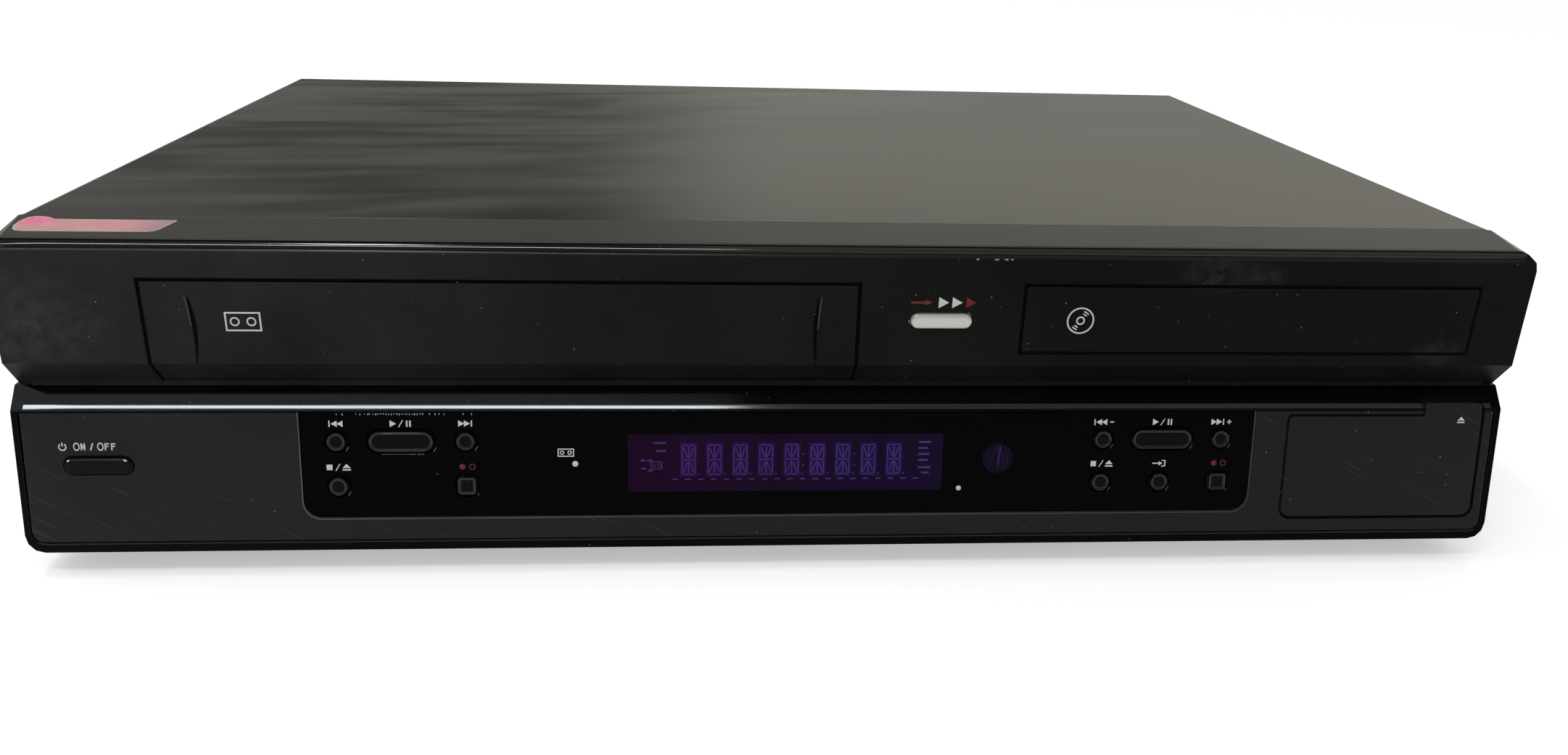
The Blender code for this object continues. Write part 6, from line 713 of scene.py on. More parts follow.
def smoked_acrylic():
    """Smoked acrylic: near-black and glassy, with wiping marks along x and pin-prick dust."""
    made, tree, place = new_finish("smoked_acrylic")
    wiped = add(tree, "Mapping", {"Vector": place, "Scale": (18, 60, 60)})
    wipe = add(tree, "TexNoise", {"Vector": wiped, "Scale": 1.0, "Detail": 6.0, "Roughness": 0.65})
    speck = specks(tree, place, 190.0, 0.75, 0.05)
    veil = add(tree, "MapRange", {0: wipe, 1: 0.5, 2: 0.8, 4: 0.3})
    shade = add(tree, "Mix", {0: veil, 6: "#030303", 7: "#0E0E0E"}, data_type="RGBA")
    specked = add(tree, "Mix", {0: speck, 6: shade.outputs[2], 7: "#6F6F6C"}, data_type="RGBA")
    shine = add(tree, "MapRange", {0: wipe, 1: 0.4, 2: 0.8, 3: 0.05, 4: 0.2})
    rounded = add(tree, "Bevel", {"Radius": 0.0003}, samples=4)
    skin = add(tree, "BsdfPrincipled", {"Base Color": specked.outputs[2], "Roughness": shine, "IOR": 1.49,
        "Specular IOR Level": 0.02, "Normal": rounded})
    return closed(made, skin)


smoked = smoked_acrylic()
dress(smoked, "display_window")


def window_line(spread):
    """The window's outline, spread outwards: square above, and below round, each corner 4.6 mm plus the spread."""
    right, low, radius = 137.4 + spread, -31.05 - spread, 4.6 + spread
    return np.concatenate([[(right, -0.45), (-right, -0.45)], arc(-right + radius, low + radius, radius, 180, 270, 9),
        arc(right - radius, low + radius, radius, 270, 360, 9)])


# Painted highlight: a pale frame round the window's edge paints the light its bevel catches, brightest at the left.
window_edge = moulded("painted_lip_highlight", "#30302E", "#9FA19B", 0.4, 0.3, 0.5, 0.01, 0.7)
finished("window_lip_highlight", *hoop(SLOPE, window_line(0.62), window_line(0.34), SINK, 0.012), window_edge)
# Painted highlight: the list chips holds small white ticks along the window's upper edge that paint glints of light
# on it.
chance = np.random.default_rng(7)
glint_x = np.concatenate([(-127.4, -125.9, -122.1, -120.9), np.arange(-119.6, -103.5, 0.72), (-102.0, -100.4, -99.3,
    -97.9, -92.6, -90.2)])
glint_x = glint_x + chance.uniform(-0.1, 0.1, len(glint_x))
glint_w = chance.uniform(0.1, 0.26, len(glint_x))
glint_low = -1.3 + chance.uniform(0, 0.3, len(glint_x))
chips = [box_loop(x, x + w, low, -0.75) for x, w, low in zip(glint_x, glint_w, glint_low)]

# Fluorescent display.
# A glass tube behind the window; unlit, its grid and phosphor show as violet through the smoke, and a faint emission
# paints a glow on them.
# The picture lies on the window's face as a skin a few hundredths thick, since the acrylic here is opaque.


def violet_phosphor(name, deep, light, glow):
    """Unlit phosphor seen through smoked acrylic: violet, redder at its left end and bluer at its right, under a
    fine mesh 0.5 mm apart. glow is an emission strength that paints a faint glow, though the tube is unlit."""
    made, tree, place = new_finish(name)
    mesh = add(tree, "TexWave", {"Vector": place, "Scale": 640.0}, bands_direction="X")
    cloud = add(tree, "TexNoise", {"Vector": place, "Scale": 60.0, "Detail": 3.0})
    both = add(tree, "Math", {0: mesh.outputs["Fac"], 1: cloud.outputs["Fac"]}, operation="MULTIPLY")
    shade = add(tree, "Mix", {0: both, 6: deep, 7: light}, data_type="RGBA")
    along = add(tree, "SeparateXYZ", {0: place})
    rightward = add(tree, "MapRange", {0: along.outputs[0], 1: -0.045, 2: 0.045})
    tint = add(tree, "Mix", {0: rightward, 6: (1.25, 0.75, 0.85, 1), 7: (0.85, 1.2, 1.1, 1)}, data_type="RGBA")
    tinted = add(tree, "Mix", {0: 1.0, 6: shade.outputs[2], 7: tint.outputs[2]}, data_type="RGBA",
        blend_type="MULTIPLY")
    skin = add(tree, "BsdfPrincipled", {"Base Color": tinted.outputs[2], "Roughness": 0.12,
        "Specular IOR Level": 0.02, "Emission Color": tinted.outputs[2], "Emission Strength": glow})
    return closed(made, skin)


def glass_tube():
    """The tube's soda-lime glass over a dark grid, slightly violet."""
    made, tree, place = new_finish("display_tube_glass")
    grid = add(tree, "TexWave", {"Vector": place, "Scale": 500.0}, bands_direction="X")
    shade = add(tree, "Mix", {0: grid, 6: "#15121B", 7: "#241C33"}, data_type="RGBA")
    skin = add(tree, "BsdfPrincipled", {"Base Color": shade.outputs[2], "Roughness": 0.08, "IOR": 1.52})
    return closed(made, skin)


dress(glass_tube(), "display_tube")
grid_violet = violet_phosphor("violet_grid", "#13071A", "#26103A", 0.2)
painted_glow_violet = violet_phosphor("violet_painted_glow", "#1A0B30", "#371863", 0.25)
segment_violet = violet_phosphor("violet_segments", "#34285A", "#5A4A85", 0.25)
left, right, low, high = -46.7, 44.5, -24.0, -7.0
CORNER = 0.8
finished("display_grid", *round_body(SLOPE, [(CORNER, SINK), (CORNER, 0.02)], ((left + right) / 2, (low + high) / 2),
    ((right - left) / 2 - CORNER, (high - low) / 2 - CORNER), 4), grid_violet)


def bars(ends, width):
    """Display segments: each pair of ends becomes a bar with pointed tips, six corners."""
    ends = np.array(ends, float)
    start, stop = ends[:, :2], ends[:, 2:]
    along = stop - start
    unit = along / np.linalg.norm(along, axis=1)[:, None]
    side = np.stack([-unit[:, 1], unit[:, 0]], 1) * width / 2
    tip = unit * width / 2
    return np.stack([start, start + tip + side, stop - tip + side, stop, stop - tip - side, start + tip - side], 1)


DIGIT_X = 0.4 + 7.44 * np.arange(-4, 5)
DIGIT_LOW, DIGIT_HIGH, DIGIT_HALF = -18.9, -10.2, 1.85
middle = (DIGIT_LOW + DIGIT_HIGH) / 2
rise = (DIGIT_HIGH - DIGIT_LOW) / 2
one_digit = np.array([
    (-1, 1, 0, 1), (0, 1, 1, 1), (-1, 0, 0, 0), (0, 0, 1, 0), (-1, -1, 0, -1), (0, -1, 1, -1),
    (-1, 0, -1, 1), (1, 0, 1, 1), (-1, -1, -1, 0), (1, -1, 1, 0), (0, 0, 0, 1), (0, -1, 0, 0),
    (-0.78, 0.84, -0.16, 0.16), (0.78, 0.84, 0.16, 0.16), (-0.78, -0.84, -0.16, -0.16), (0.78, -0.84, 0.16, -0.16)],
    float)
one_digit[:12] += np.sign(one_digit[:12, [2, 3, 0, 1]] - one_digit[:12]) * np.array([0.06, 0.035, 0.06, 0.035])
scale = np.array([DIGIT_HALF, rise, DIGIT_HALF, rise])
places = np.stack([DIGIT_X, 0 * DIGIT_X + middle] * 2, 1)
digits = (one_digit * scale)[None] + places[:, None]
STROKE, DOT = 0.3, 0.24
segments = list(bars(digits.reshape(-1, 4), STROKE))
segments += [disc(x + 3.0, DIGIT_LOW + 0.1, DOT, 8) for x in DIGIT_X]
segments += [disc(DIGIT_X[number] + 3.3, middle + side, DOT, 8) for number in (4, 6) for side in (-1.6, 1.6)]
segments += [box_loop(x, x + w, z, z + 0.55) for x, z, w in (
    (-39.5, -9.8, 3.6), (-38.6, -12.2, 2.8), (-43.0, -15.0, 1.2), (-41.2, -15.0, 1.6), (-42.8, -17.4, 1.2),
    (-41.0, -18.0, 1.4), (37.4, -9.8, 3.6), (37.4, -11.6, 2.6), (37.4, -13.4, 3.2), (37.4, -15.2, 2.8),
    (37.4, -17.4, 3.6), (38.4, -19.0, 2.2))]
segments += [box_loop(x, x + 1.6, -20.55, -20.2) for x in np.linspace(-34, 36, 20)]
segments += cassette_sign(-38.6, -16.2, 3.4, 2.4, 0.25)
painted_glow_patches = [box_loop(x - 2.5, x + 2.5, DIGIT_LOW - 0.7, DIGIT_HIGH + 0.7) for x in DIGIT_X]
finished("display_painted_glow", *plates(SLOPE, painted_glow_patches, SINK, 0.026), painted_glow_violet)
finished("display_segments", *plates(SLOPE, segments, SINK, 0.035), segment_violet)
LAMP = (60.9, -14.5)
painted_glow_disc = violet_phosphor("violet_disc_lamp", "#130914", "#24122B", 0.1)
finished("disc_lamp", *round_body(SLOPE, [(4.5, SINK), (4.5, 0.025)], LAMP, steps=10), painted_glow_disc)
rays = [(60.9, -18.3, 60.9, -10.7), (58.3, -17.6, 60.3, -11.2), (63.5, -17.6, 61.5, -11.2),
    (57.4, -16.0, 58.6, -13.4), (64.4, -16.0, 63.2, -13.4)]
finished("disc_lamp_lines", *plates(SLOPE, list(bars(rays, STROKE)), SINK, 0.04), painted_glow_violet)
shine = bars([(61.2, -16.6, 61.6, -10.9)], 0.22)
finished("disc_lamp_shine", *plates(SLOPE, list(shine), SINK, 0.045), segment_violet)

# Indicator lamps.
# A light pipe ends in a low dome on the window; unlit it looks milky white.

# The pipe's end is frosted polycarbonate, white and faintly bright. The same white paints glints on the window's top
# edge and at the ends of the power key's crest.
pipe = mottled("frosted_pipe_and_glint_white", 2200.0, 2.0, "#B9BDBD", "#E6E8E8", {"Roughness": 0.35, "IOR": 1.58})
finished("window_edge_glints", *plates(SLOPE, chips), pipe)
for name, spot, radius in (("tape_lamp", (-61.6, -15.6), 0.85), ("disc_small_lamp", (49.7, -23.5), 0.75)):
    rows = [(radius, -0.05), (radius, 0.1), (radius * 0.75, 0.22), (0, 0.28)]
    finished(name, *round_body(SLOPE, rows, spot, steps=6), pipe)
printed("tape_lamp_sign", SLOPE, cassette_sign(-64.2, -12.3, 4.6, 2.4, 0.3), white_print)

# Buttons of the lower front.
# Black ABS caps with a raised ring round a flat, duller top, each on a stem to its key.
# The ring's lighter grey paints the highlight it catches; the wide ones are the play keys.

cap_black = moulded("polished_cap_moulding", "#050505", "#0C0C0C", 0.16, 0.05, 0.6, 0.004, 0.2, 0.08)
# Painted highlight: a lighter grey copy of the caps' black, for the faces of each ring and for the power key's crest.
ring_highlight_grey = moulded("painted_ring_highlight_moulding", "#18191A", "#424342", 0.2, 0.28, 0.6, 0.004, 0.5, 0.08)
TAPER, RING, PROUD = 0.55, 0.42, 0.9


def cap_rows(radius):
    """Profile of a cap: flange behind the window, wall, flank drawn in by the taper, half-round ring, sunk top."""
    flange, crest = radius + 0.9, radius - TAPER
    bead = np.radians(np.linspace(0, 180, 9))
    ring = [(crest - RING / 2 + RING / 2 * np.cos(a), PROUD - RING / 2 + RING / 2 * np.sin(a)) for a in bead]
    rows = [(flange, -3.1), (flange, -2.3), (radius, -2.3), (radius, 0.12), (radius - 0.1, 0.24)]
    return rows + ring + [(crest - RING - 0.1, PROUD - RING * 0.75), (crest - RING - 0.2, PROUD - RING * 0.8),
        (crest - RING - 0.35, PROUD - RING * 0.8)]


def stem(place, centre):
    """Round stem, 2.4 mm across, from the flange back towards the key."""
    return round_body(place, [(1.2, -7.0), (1.2, -3.0)], centre, steps=4)


INNER, CENTRAL, OUTER = 92.1, 109.9, 127.7
UPPER, LOWER = 8.807, 21.819
ROUND, WIDE, SQUARE = (3.05, (0, 0)), (3.35, (6.05, 0)), (1.4, (1.65, 1.65))
BUTTONS = {
    "vcr_skip_back_button": (-OUTER, UPPER, *ROUND), "vcr_play_button": (-CENTRAL, UPPER, *WIDE),
    "vcr_skip_forward_button": (-INNER, UPPER, *ROUND), "vcr_stop_button": (-OUTER, LOWER, *ROUND),
    "vcr_record_button": (-INNER, LOWER, *SQUARE),
    "dvd_channel_down_button": (INNER, UPPER, *ROUND), "dvd_play_button": (CENTRAL, UPPER, *WIDE),
    "dvd_channel_up_button": (OUTER, UPPER, *ROUND), "dvd_stop_button": (INNER, LOWER, *ROUND),
    "dvd_input_button": (CENTRAL, LOWER, *ROUND), "dvd_record_button": (OUTER, LOWER, *SQUARE),
}
for name, (x, drop, radius, straight) in BUTTONS.items():
    shape = gathered(round_body(SLOPE, cap_rows(radius), (x, -drop), straight, 7), stem(SLOPE, (x, -drop)))
    cap = finished(name.replace("_button", "_cap"), *shape, cap_black, name, 50)
    middles = 1000 * (np.array([face.center for face in cap.data.polygons]) - SLOPE(x, -drop, PROUD / 2))
    height = middles @ OUTWARD
    inside = np.linalg.norm(middles - height[:, None] * OUTWARD, axis=1)
    cap.data.materials.append(ring_highlight_grey)
    on_ring = (height > 0.1) & (inside > 0.3)
    cap.data.polygons.foreach_set("material_index", on_ring.astype(np.int32))
    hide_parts(name)

# Painted highlights: a short pale stroke at the lower right of each button hole paints the light its edge catches, a
# line under the left play key paints its glint, and two strips on that key's top paint its highlight.
ticks = []
for x, drop, radius, straight in BUTTONS.values():
    u, v, reach_out = x + straight[0], -drop - straight[1], radius + 0.1
    ends = [(u + reach_out * 0.8, v - reach_out * 0.88), (u + reach_out * 1.02, v - reach_out * 0.52)]
    ticks.append(band(ends, 0.2))
ticks += [box_loop(-115.6, -108.0, -12.62, -12.5), box_loop(-107.9, -106.0, -12.68, -12.46)]
ticks += [box_loop(x, x + 0.4, -12.78, -12.4) for x in (-105.6, -104.9, -104.2)]
hole_glint_white = moulded("painted_hole_highlight", "#5A5B5A", "#A5A7A3", 0.4, 0.3, 0.5, 0.01, 0.6)
finished("window_hole_glints", *plates(SLOPE, ticks), hole_glint_white)
play_top_glints = [box_loop(-115.0, -111.5, -6.35, -6.1), box_loop(-111.4, -104.6, -6.3, -6.15)]
finished("play_cap_glint", *plates(SLOPE, play_top_glints, 0.84, 0.92), hole_glint_white, "vcr_play_button")

# Power button.
# A wide cap in the lower fascia, proud along its upper edge and fading into the panel below, rubbed to a gloss. Its
# crest is painted lighter grey as a highlight, with white glints painted at its ends.

POWER = (-192.2, -15.486)
power_rows = [(3.45, -3.6), (3.45, -2.6), (2.5, -2.6), (2.5, 0.1), (2.45, 0.25), (2.1, 0.62), (1.7, 0.85), (0.4, 1.0)]


def leaning(u, v, h):
    """Height above the panel grows from 0.2 of itself at the cap's foot to 1.9 at its upper edge, as a square."""
    rise = np.clip((v - POWER[1] + 2.5) / 5, 0, 1)
    return SLOPE(u, v, np.where(h > 0, h * (0.2 + 1.7 * rise ** 2), h))


power_black = moulded("dark_cap_moulding", "#0E0E0D", "#1E1E1C", 0.45, 0.05, 0.6, 0.01, 0.4, 0.1)
power_shape = gathered(round_body(leaning, power_rows, POWER, (6.75, 0), 7), stem(SLOPE, POWER))
power_cap = finished("power_cap", *power_shape, power_black, "power_button", 50)
centres = 1000 * (np.array([face.center for face in power_cap.data.polygons]) - SLOPE_TOP)
lift, along_cap = centres @ LEAN - POWER[1], np.abs(centres[:, 0] - POWER[0])
crest_highlight_faces = (lift > 1.55) & (centres @ OUTWARD > 0.9)
power_cap.data.materials.append(ring_highlight_grey)
power_cap.data.materials.append(pipe)
looks = np.where(crest_highlight_faces, np.where(np.abs(along_cap - 7.6) < 0.5, 2, 1), 0)
power_cap.data.polygons.foreach_set("material_index", looks.astype(np.int32))
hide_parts("power_button")

# Signs beside the buttons.
# Small pictures in silver-white ink; recording is marked in red, and the power key has its ring sign.


def bar(u, v, width, height):
    """An upright bar round a middle point."""
    return box_loop(u - width / 2, u + width / 2, v - height / 2, v + height / 2)


def slash(u, v, size):
    """A leaning stroke between two signs."""
    return band([(u - size * 0.3, v - size / 2), (u + size * 0.3, v + size / 2)], 0.26)


def skip_sign(u, v, way):
    """Two pointers and a bar."""
    return [pointer(u - way * 1.1, v, 1.7, way), pointer(u + way * 0.5, v, 1.7, way),
        bar(u + way * 1.75, v, 0.35, 1.8)]


def play_sign(u, v):
    """Play, slash, pause."""
    return [pointer(u - 2.1, v, 1.8), slash(u, v, 2.0), bar(u + 1.7, v, 0.45, 1.8), bar(u + 2.6, v, 0.45, 1.8)]


def eject_sign(u, v):
    """A triangle over a bar."""
    return [np.array(((u - 1.15, v - 0.2), (u + 1.15, v - 0.2), (u, v + 1.0))), bar(u, v - 0.75, 2.3, 0.4)]


def stop_sign(u, v):
    """Stop, slash, eject."""
    return [bar(u - 2.3, v, 1.6, 1.6), slash(u, v, 2.0), *eject_sign(u + 2.4, v)]


def input_sign(u, v):
    """An arrow that goes into a bracket."""
    return [bar(u - 1.2, v, 2.0, 0.35), pointer(u + 0.3, v, 1.2), bar(u + 1.6, v, 0.35, 2.0),
        bar(u + 1.1, v + 0.85, 1.0, 0.3), bar(u + 1.1, v - 0.85, 1.0, 0.3)]


UPPER_SIGN, LOWER_SIGN = -3.7, -16.3
signs = skip_sign(-OUTER, UPPER_SIGN, -1) + play_sign(-CENTRAL, UPPER_SIGN) + skip_sign(-INNER, UPPER_SIGN, 1)
signs += stop_sign(-OUTER, LOWER_SIGN) + stop_sign(INNER, LOWER_SIGN) + input_sign(CENTRAL, LOWER_SIGN)
signs += skip_sign(91.2, UPPER_SIGN, -1) + [bar(94.6, UPPER_SIGN, 1.2, 0.35)] + play_sign(CENTRAL, UPPER_SIGN)
signs += skip_sign(126.6, UPPER_SIGN, 1) + [bar(130.1, UPPER_SIGN, 1.3, 0.35), bar(130.1, UPPER_SIGN, 0.35, 1.3)]
printed("button_signs", SLOPE, signs, white_print)
record = []
for x in (-INNER, OUTER):
    record += [disc(x - 1.2, LOWER_SIGN, 0.85), *circle_line(x + 1.6, LOWER_SIGN, 0.75, 0.28)]
printed("record_signs", SLOPE, record, red_print)


def letters(text, u, v, size, width):
    """Plain block letters from strokes: O is a ring, N three strokes, F three strokes, and / a leaning one."""
    strokes = []
    for letter in text:
        wide = size * 0.62
        if letter == "O":
            strokes += [np.stack([(loop[:, 0] - u - wide / 2) * 0.72 + u + wide / 2, loop[:, 1]], 1)
                for loop in circle_line(u + wide / 2, v, size / 2, width)]
        elif letter == "N":
            low_at, high_at = v - size / 2, v + size / 2
            strokes += [bar(u + width / 2, v, width, size), bar(u + wide - width / 2, v, width, size),
                band([(u + width / 2, high_at), (u + wide - width / 2, low_at)], width)]
        elif letter == "F":
            strokes += [bar(u + width / 2, v, width, size), bar(u + wide / 2, v + size / 2 - width / 2, wide, width),
                bar(u + wide * 0.42, v + size * 0.05, wide * 0.84, width)]
        elif letter == "/":
            strokes.append(band([(u + wide * 0.2, v - size / 2), (u + wide * 0.8, v + size / 2)], width))
        u += size * 0.3 if letter == " " else wide + size * 0.24
    return strokes


power_sign = [band(arc(-201.4, -10.1, 0.95, 125, 415, 20), 0.34), bar(-201.4, -9.4, 0.34, 1.1)]
printed("power_signs", SLOPE, power_sign + letters("ON / OFF", -198.3, -10.05, 2.0, 0.36), white_print)
printed("open_sign", SLOPE, eject_sign(202.0, -3.3), white_print, "jack_door")

# Jacks behind the flip door.
# Three phono jacks and one S jack; a dyed ring marks each.

POCKET = on(SLOPE(0.0, 0.0, -3.0), (1, 0, 0), LEAN)
PHONO = [(1.55, -0.2), (4.0, -0.2), (4.0, 0.12), (3.7, 0.25), (3.0, 0.25), (2.7, 0.12), (1.55, 0.12)]
S_JACK = [(1.55, -0.2), (4.9, -0.2), (4.9, 0.12), (4.6, 0.25), (4.1, 0.25), (3.9, 0.05), (1.55, 0.05)]
JACK_ROW = -17.69
for name, x, tone, rows in (("video", 158.7, "yellow", PHONO), ("left", 172.6, "white", PHONO),
        ("right", 186.5, "red", PHONO), ("s", 200.95, "black", S_JACK)):
    finished(f"front_ring_{name}", *round_body(POCKET, rows, (x, JACK_ROW)), rings_of[tone])

# Top cover.
# Folded steel sheet, stoved in black paint with a slight orange peel, screwed on at the back.
# Wiping has left streaks along it, most of them at the left, and fine scratches.


def stoved_paint():
    """Black stoving enamel: orange peel 1.8 mm apart, wiping smears stretched along x that dull it, stronger to the
    left and on faces that look up, hair scratches on a slant, and lint specks."""
    made, tree, place = new_finish("stoved_black_enamel")
    peel = add(tree, "TexNoise", {"Vector": place, "Scale": 550.0, "Detail": 1.0})
    streaks = []
    for length, width, turn in ((0.13, 0.045, 0.3), (0.1, 0.014, 0.1)):
        stretched = add(tree, "Mapping", {"Vector": place, "Scale": (length, width, width), "Rotation": (0, 0, turn)},
            vector_type="TEXTURE")
        streaks.append(add(tree, "TexNoise", {"Vector": stretched, "Scale": 1.0, "Detail": 2.0, "Roughness": 0.5,
            "Distortion": 0.5}))
    smear = add(tree, "Mix", {0: 0.45, 2: streaks[0], 3: streaks[1]})
    spot = add(tree, "SeparateXYZ", {0: place})
    leftness = add(tree, "MapRange", {0: spot.outputs[0], 1: 0.12, 2: -0.1, 3: 0.2, 4: 1.0})
    wiped = add(tree, "MapRange", {0: smear, 1: 0.42, 2: 0.63})
    facing = add(tree, "SeparateXYZ", {0: add(tree, "NewGeometry").outputs["Normal"]})
    upward = add(tree, "MapRange", {0: facing.outputs[2], 1: 0.5, 2: 0.9, 3: 0.12, 4: 1.0})
    dulled = add(tree, "Math", {0: wiped, 1: leftness}, operation="MULTIPLY")
    dulled = add(tree, "Math", {0: dulled, 1: upward}, operation="MULTIPLY")
    hair = add(tree, "Mapping", {"Vector": place, "Scale": (25, 900, 900), "Rotation": (0, 0, 0.35)})
    scratch = add(tree, "TexNoise", {"Vector": hair, "Scale": 1.0, "Detail": 1.0})
    scored = add(tree, "MapRange", {0: scratch, 1: 0.74, 2: 0.8, 4: 0.25})
    speck = specks(tree, place, 120.0, 0.72, 0.045)
    rounded = add(tree, "Bevel", {"Radius": 0.0006}, samples=4)
    veil = add(tree, "MapRange", {0: dulled, 3: 0.02, 4: 0.6})
    shade = add(tree, "Mix", {0: veil, 6: "#060505", 7: "#4D4A45"}, data_type="RGBA")
    marked = add(tree, "Mix", {0: scored, 6: shade.outputs[2], 7: "#55534E"}, data_type="RGBA")
    specked = add(tree, "Mix", {0: speck, 6: marked.outputs[2], 7: "#8C8A82"}, data_type="RGBA")
    shine = add(tree, "MapRange", {0: dulled, 3: 0.14, 4: 0.26})
    relief = add(tree, "Bump", {"Height": peel, "Strength": 0.12, "Distance": 0.00004, "Normal": rounded})
    skin = add(tree, "BsdfPrincipled", {"Base Color": specked.outputs[2], "Roughness": shine,
        "Specular IOR Level": 0.4, "Normal": relief})
    return closed(made, skin)


enamel = stoved_paint()
dress(enamel, "top_cover")
TOP = on((0, 0, 0.097), (1, 0, 0), (0, 1, 0))

# Strip of marking tape.
# Thin red-pink tape on the top at the left, its corner rounded and its right end cut on the slant.
# The dye has faded from the left to the right, and its end is rubbed white.

# The tape's own film is whitish where the dye has not reached its edge.
white_tape = mottled("whitish_tape_film", 700.0, 4.0, "#8F7F7D", "#D8CFCB", {"Roughness": 0.4})


def faded_tape():
    """Pink tape: saturated near its left rear corner, paler from 9 mm on, with worn flecks, greyer at the tip."""
    made, tree, place = new_finish("faded_pink_tape")
    spot = add(tree, "SeparateXYZ", {0: place})
    worn = add(tree, "TexNoise", {"Vector": place, "Scale": 260.0, "Detail": 5.0, "Roughness": 0.7})
    far = add(tree, "VectorMath", {0: place, 1: (-0.2075, -0.1262, 0.097)}, operation="DISTANCE")
    along = add(tree, "MapRange", {0: far.outputs["Value"], 1: 0.003, 2: 0.009})
    pink = add(tree, "Mix", {0: along, 6: "#EE7099", 7: "#CC9092"}, data_type="RGBA")
    fleck = add(tree, "MapRange", {0: worn, 1: 0.5, 2: 0.7, 4: 0.55})
    flecked = add(tree, "Mix", {0: fleck, 6: pink.outputs[2], 7: "#D6A9A4"}, data_type="RGBA")
    tip = add(tree, "MapRange", {0: spot.outputs[0], 1: -0.1815, 2: -0.172})
    rubbed = add(tree, "Math", {0: tip, 1: worn}, operation="MULTIPLY")
    ended = add(tree, "Mix", {0: rubbed, 6: flecked.outputs[2], 7: "#7C7A80"}, data_type="RGBA")
    crease = add(tree, "Bump", {"Height": worn, "Strength": 0.25, "Distance": 0.0001})
    skin = add(tree, "BsdfPrincipled", {"Base Color": ended.outputs[2], "Roughness": 0.42, "Normal": crease})
    return closed(made, skin)


tape_loop = np.array(((-208.8, -137.6), (-207.4, -139.6), (-205.0, -140.3), (-190.0, -140.2), (-173.4, -139.9),
    (-171.8, -139.2), (-171.1, -137.5), (-169.9, -128.2), (-170.4, -127.4), (-188.0, -127.3), (-202.8, -127.2),
    (-204.4, -125.6), (-206.4, -124.5), (-209.0, -124.4), (-210.5, -125.7), (-210.7, -130.0), (-210.0, -134.5)))
middle_of_tape = np.array((-190.0, -132.8))
finished("marking_tape_edge", *plates(TOP, [tape_loop]), white_tape)
inset = middle_of_tape + (tape_loop - middle_of_tape) * (0.978, 0.9)
finished("marking_tape", *plates(TOP, [inset], 0.0, 0.035), faded_tape())

# Studio.
# A pale floor that keeps its shadow, a soft dome and cool lamps from the left.
# The backdrop is white at the horizon and dims softly upwards and to the left; lens, gloss and glass all see it.

floor_mesh = bpy.data.meshes.new("floor")
reach = 15.0
floor_mesh.from_pydata([(-reach, -reach, 0), (reach, -reach, 0), (reach, reach, 0), (-reach, reach, 0)], [],
    [(0, 1, 2, 3)])
floor = bpy.data.objects.new("floor", floor_mesh)
bpy.context.scene.collection.objects.link(floor)


def looked_at(tree):
    """One for rays from the lens, off gloss and through glass, and nothing for light that bounces."""
    ray = add(tree, "LightPath")
    seen = add(tree, "Math", {0: ray.outputs["Is Camera Ray"], 1: ray.outputs["Is Glossy Ray"]}, operation="MAXIMUM")
    return add(tree, "Math", {0: seen, 1: ray.outputs["Is Transmission Ray"]}, operation="MAXIMUM")


def pale_floor():
    """Matt white paper: seen as white by the lens and by gloss, duller to light that bounces."""
    made, tree, place = new_finish("white_paper_floor")
    seen = looked_at(tree)
    fibre = add(tree, "TexNoise", {"Vector": place, "Scale": 900.0, "Detail": 2.0})
    bounced = add(tree, "Mix", {0: fibre, 6: "#BDBCB9", 7: "#C4C3C0"}, data_type="RGBA")
    shade = add(tree, "Mix", {0: seen, 6: bounced.outputs[2], 7: (1.32, 1.32, 1.32, 1)}, data_type="RGBA")
    skin = add(tree, "BsdfDiffuse", {"Color": shade.outputs[2]})
    bright = add(tree, "Emission", {"Color": (1, 1, 1, 1), "Strength": 1.0})
    share = add(tree, "Math", {0: seen, 1: 0.45}, operation="MULTIPLY")
    both = add(tree, "MixShader", {0: share, 1: skin, 2: bright})
    return closed(made, both)


floor_mesh.materials.append(pale_floor())

world = bpy.data.worlds.new("soft_dome")
bpy.context.scene.world = world
world.use_nodes = True
sky = world.node_tree
sky.nodes.clear()
outlet = add(sky, "OutputWorld")
way = add(sky, "SeparateXYZ", {0: add(sky, "TexCoord").outputs["Generated"]})


def ramp(feed, *stops):
    """A smooth grey scale over a value, through its (place, light) stops."""
    made = add(sky, "ValToRGB", {0: feed})
    made.color_ramp.interpolation = "EASE"
    points = made.color_ramp.elements
    for at, light in stops[1:-1]:
        points.new(at).color = (light, light, light, 1)
    for point, (at, light) in ((points[0], stops[0]), (points[-1], stops[-1])):
        point.position = at
        point.color = (light, light, light, 1)
    return made


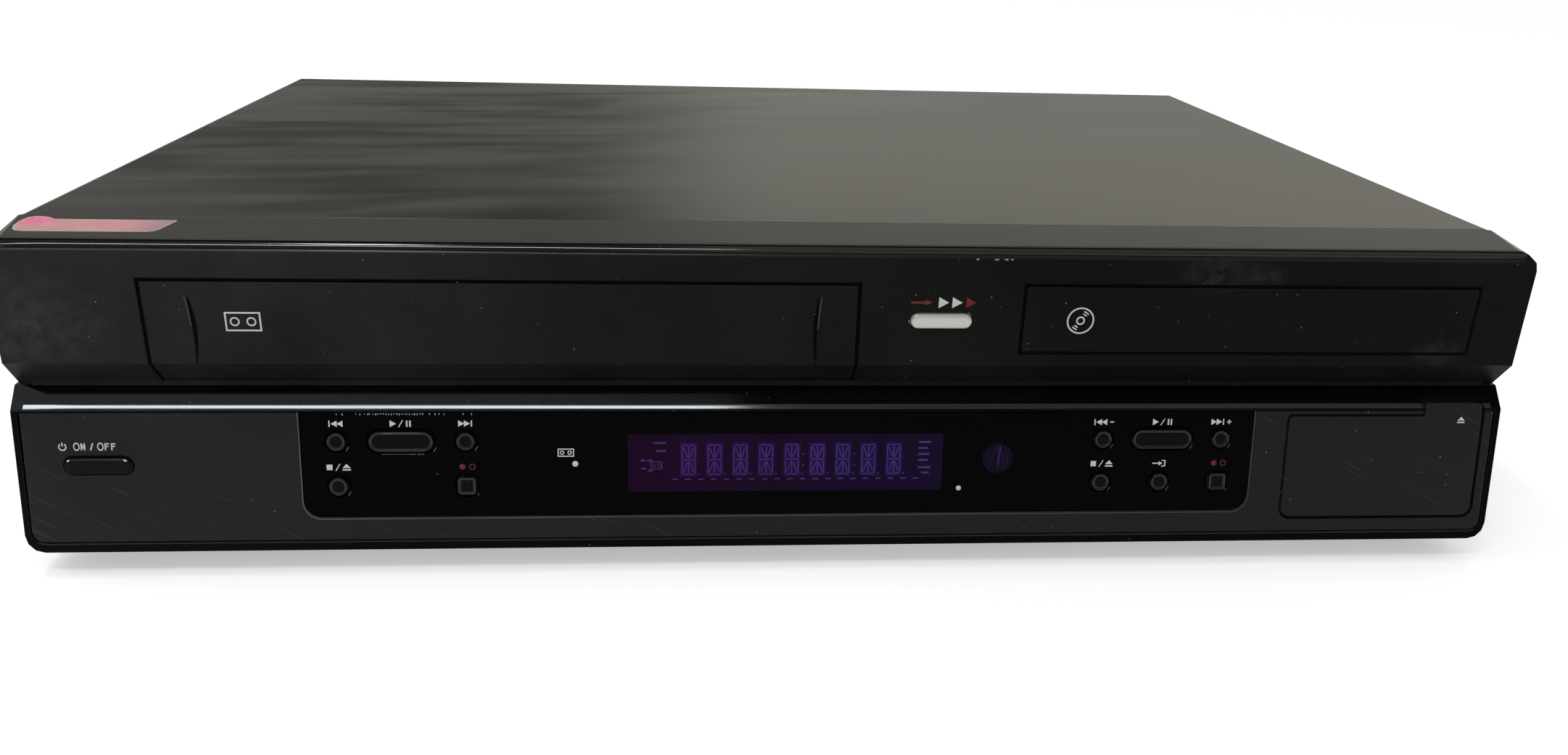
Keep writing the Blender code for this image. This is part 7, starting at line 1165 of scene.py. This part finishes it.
dome = ramp(way.outputs[2], (0.0, 0.3), (0.28, 0.3), (0.42, 0.45), (0.75, 0.92))
beside = add(sky, "Math", {0: way.outputs[1]}, operation="ABSOLUTE")
aside = add(sky, "Math", {0: way.outputs[0], 1: beside}, operation="DIVIDE")
across = add(sky, "MapRange", {0: aside, 1: -0.7, 2: 0.7})
wall = ramp(across, (0.0, 0.22), (0.41, 0.16), (0.56, 0.62), (1.0, 0.64))
aloft = ramp(way.outputs[2], (0.12, 0.42), (0.22, 0.9), (0.3, 0.78), (0.6, 0.4))
horizon = ramp(way.outputs[2], (0.06, 1.0), (0.11, 0.0))
wall_light = add(sky, "Mix", {0: 1.0, 6: wall, 7: aloft}, data_type="RGBA", blend_type="MULTIPLY")
warm = add(sky, "Mix", {0: 1.0, 6: wall_light.outputs[2], 7: (1.0, 0.97, 0.84, 1)}, data_type="RGBA",
    blend_type="MULTIPLY")
backdrop = add(sky, "Mix", {0: horizon, 6: warm.outputs[2], 7: (1, 1, 1, 1)}, data_type="RGBA")
sky_light = add(sky, "Mix", {0: looked_at(sky), 6: dome, 7: backdrop.outputs[2]}, data_type="RGBA")
dome_light = add(sky, "Background", {"Color": sky_light.outputs[2], "Strength": 1.0})
sky.links.new(dome_light.outputs[0], outlet.inputs[0])

for name, width, depth, energy, spot, aim in (
        ("window_lamp", 0.88, 0.13, 4.2, (-0.41, -0.74, 1.05), (-0.35, 0, 0.05)),
        ("key_lamp", 0.26, 0.12, 2.2, (-0.41, -0.07, 1.25), (0, 0, 0.05))):
    lamp = bpy.data.lights.new(name, "AREA")
    lamp.shape = "RECTANGLE"
    lamp.size, lamp.size_y = width, depth
    lamp.energy = energy
    lamp.color = (0.86, 0.93, 1.0)
    lamp_object = bpy.data.objects.new(name, lamp)
    lamp_object.location = spot
    lamp_object.rotation_euler = (Vector(aim) - Vector(spot)).to_track_quat("-Z", "Y").to_euler()
    bpy.context.scene.collection.objects.link(lamp_object)

view = bpy.context.scene.view_settings
view.view_transform = "Standard"
camera = bpy.data.cameras.new("camera")
camera.sensor_width = 36
camera.lens = 28.337
camera.shift_y = 0.00116
camera.clip_start, camera.clip_end = 0.01, 100
lens = bpy.data.objects.new("camera", camera)
to_lens = Matrix(((1, 0, 0), (0, 0, -1), (0, 1, 0)))
turn = (Matrix.Rotation(np.radians(1.83), 3, "Z") @ Matrix.Rotation(np.radians(21.44), 3, "X")
    @ Matrix.Rotation(np.radians(-4.91), 3, "Y") @ to_lens)
flip = Matrix(((1, 0, 0), (0, -1, 0), (0, 0, -1)))
lens.matrix_world = Matrix.Translation((-0.0303, -0.4719, 0.1857)) @ (flip @ turn).transposed().to_4x4()
bpy.context.scene.collection.objects.link(lens)
bpy.context.scene.camera = lens
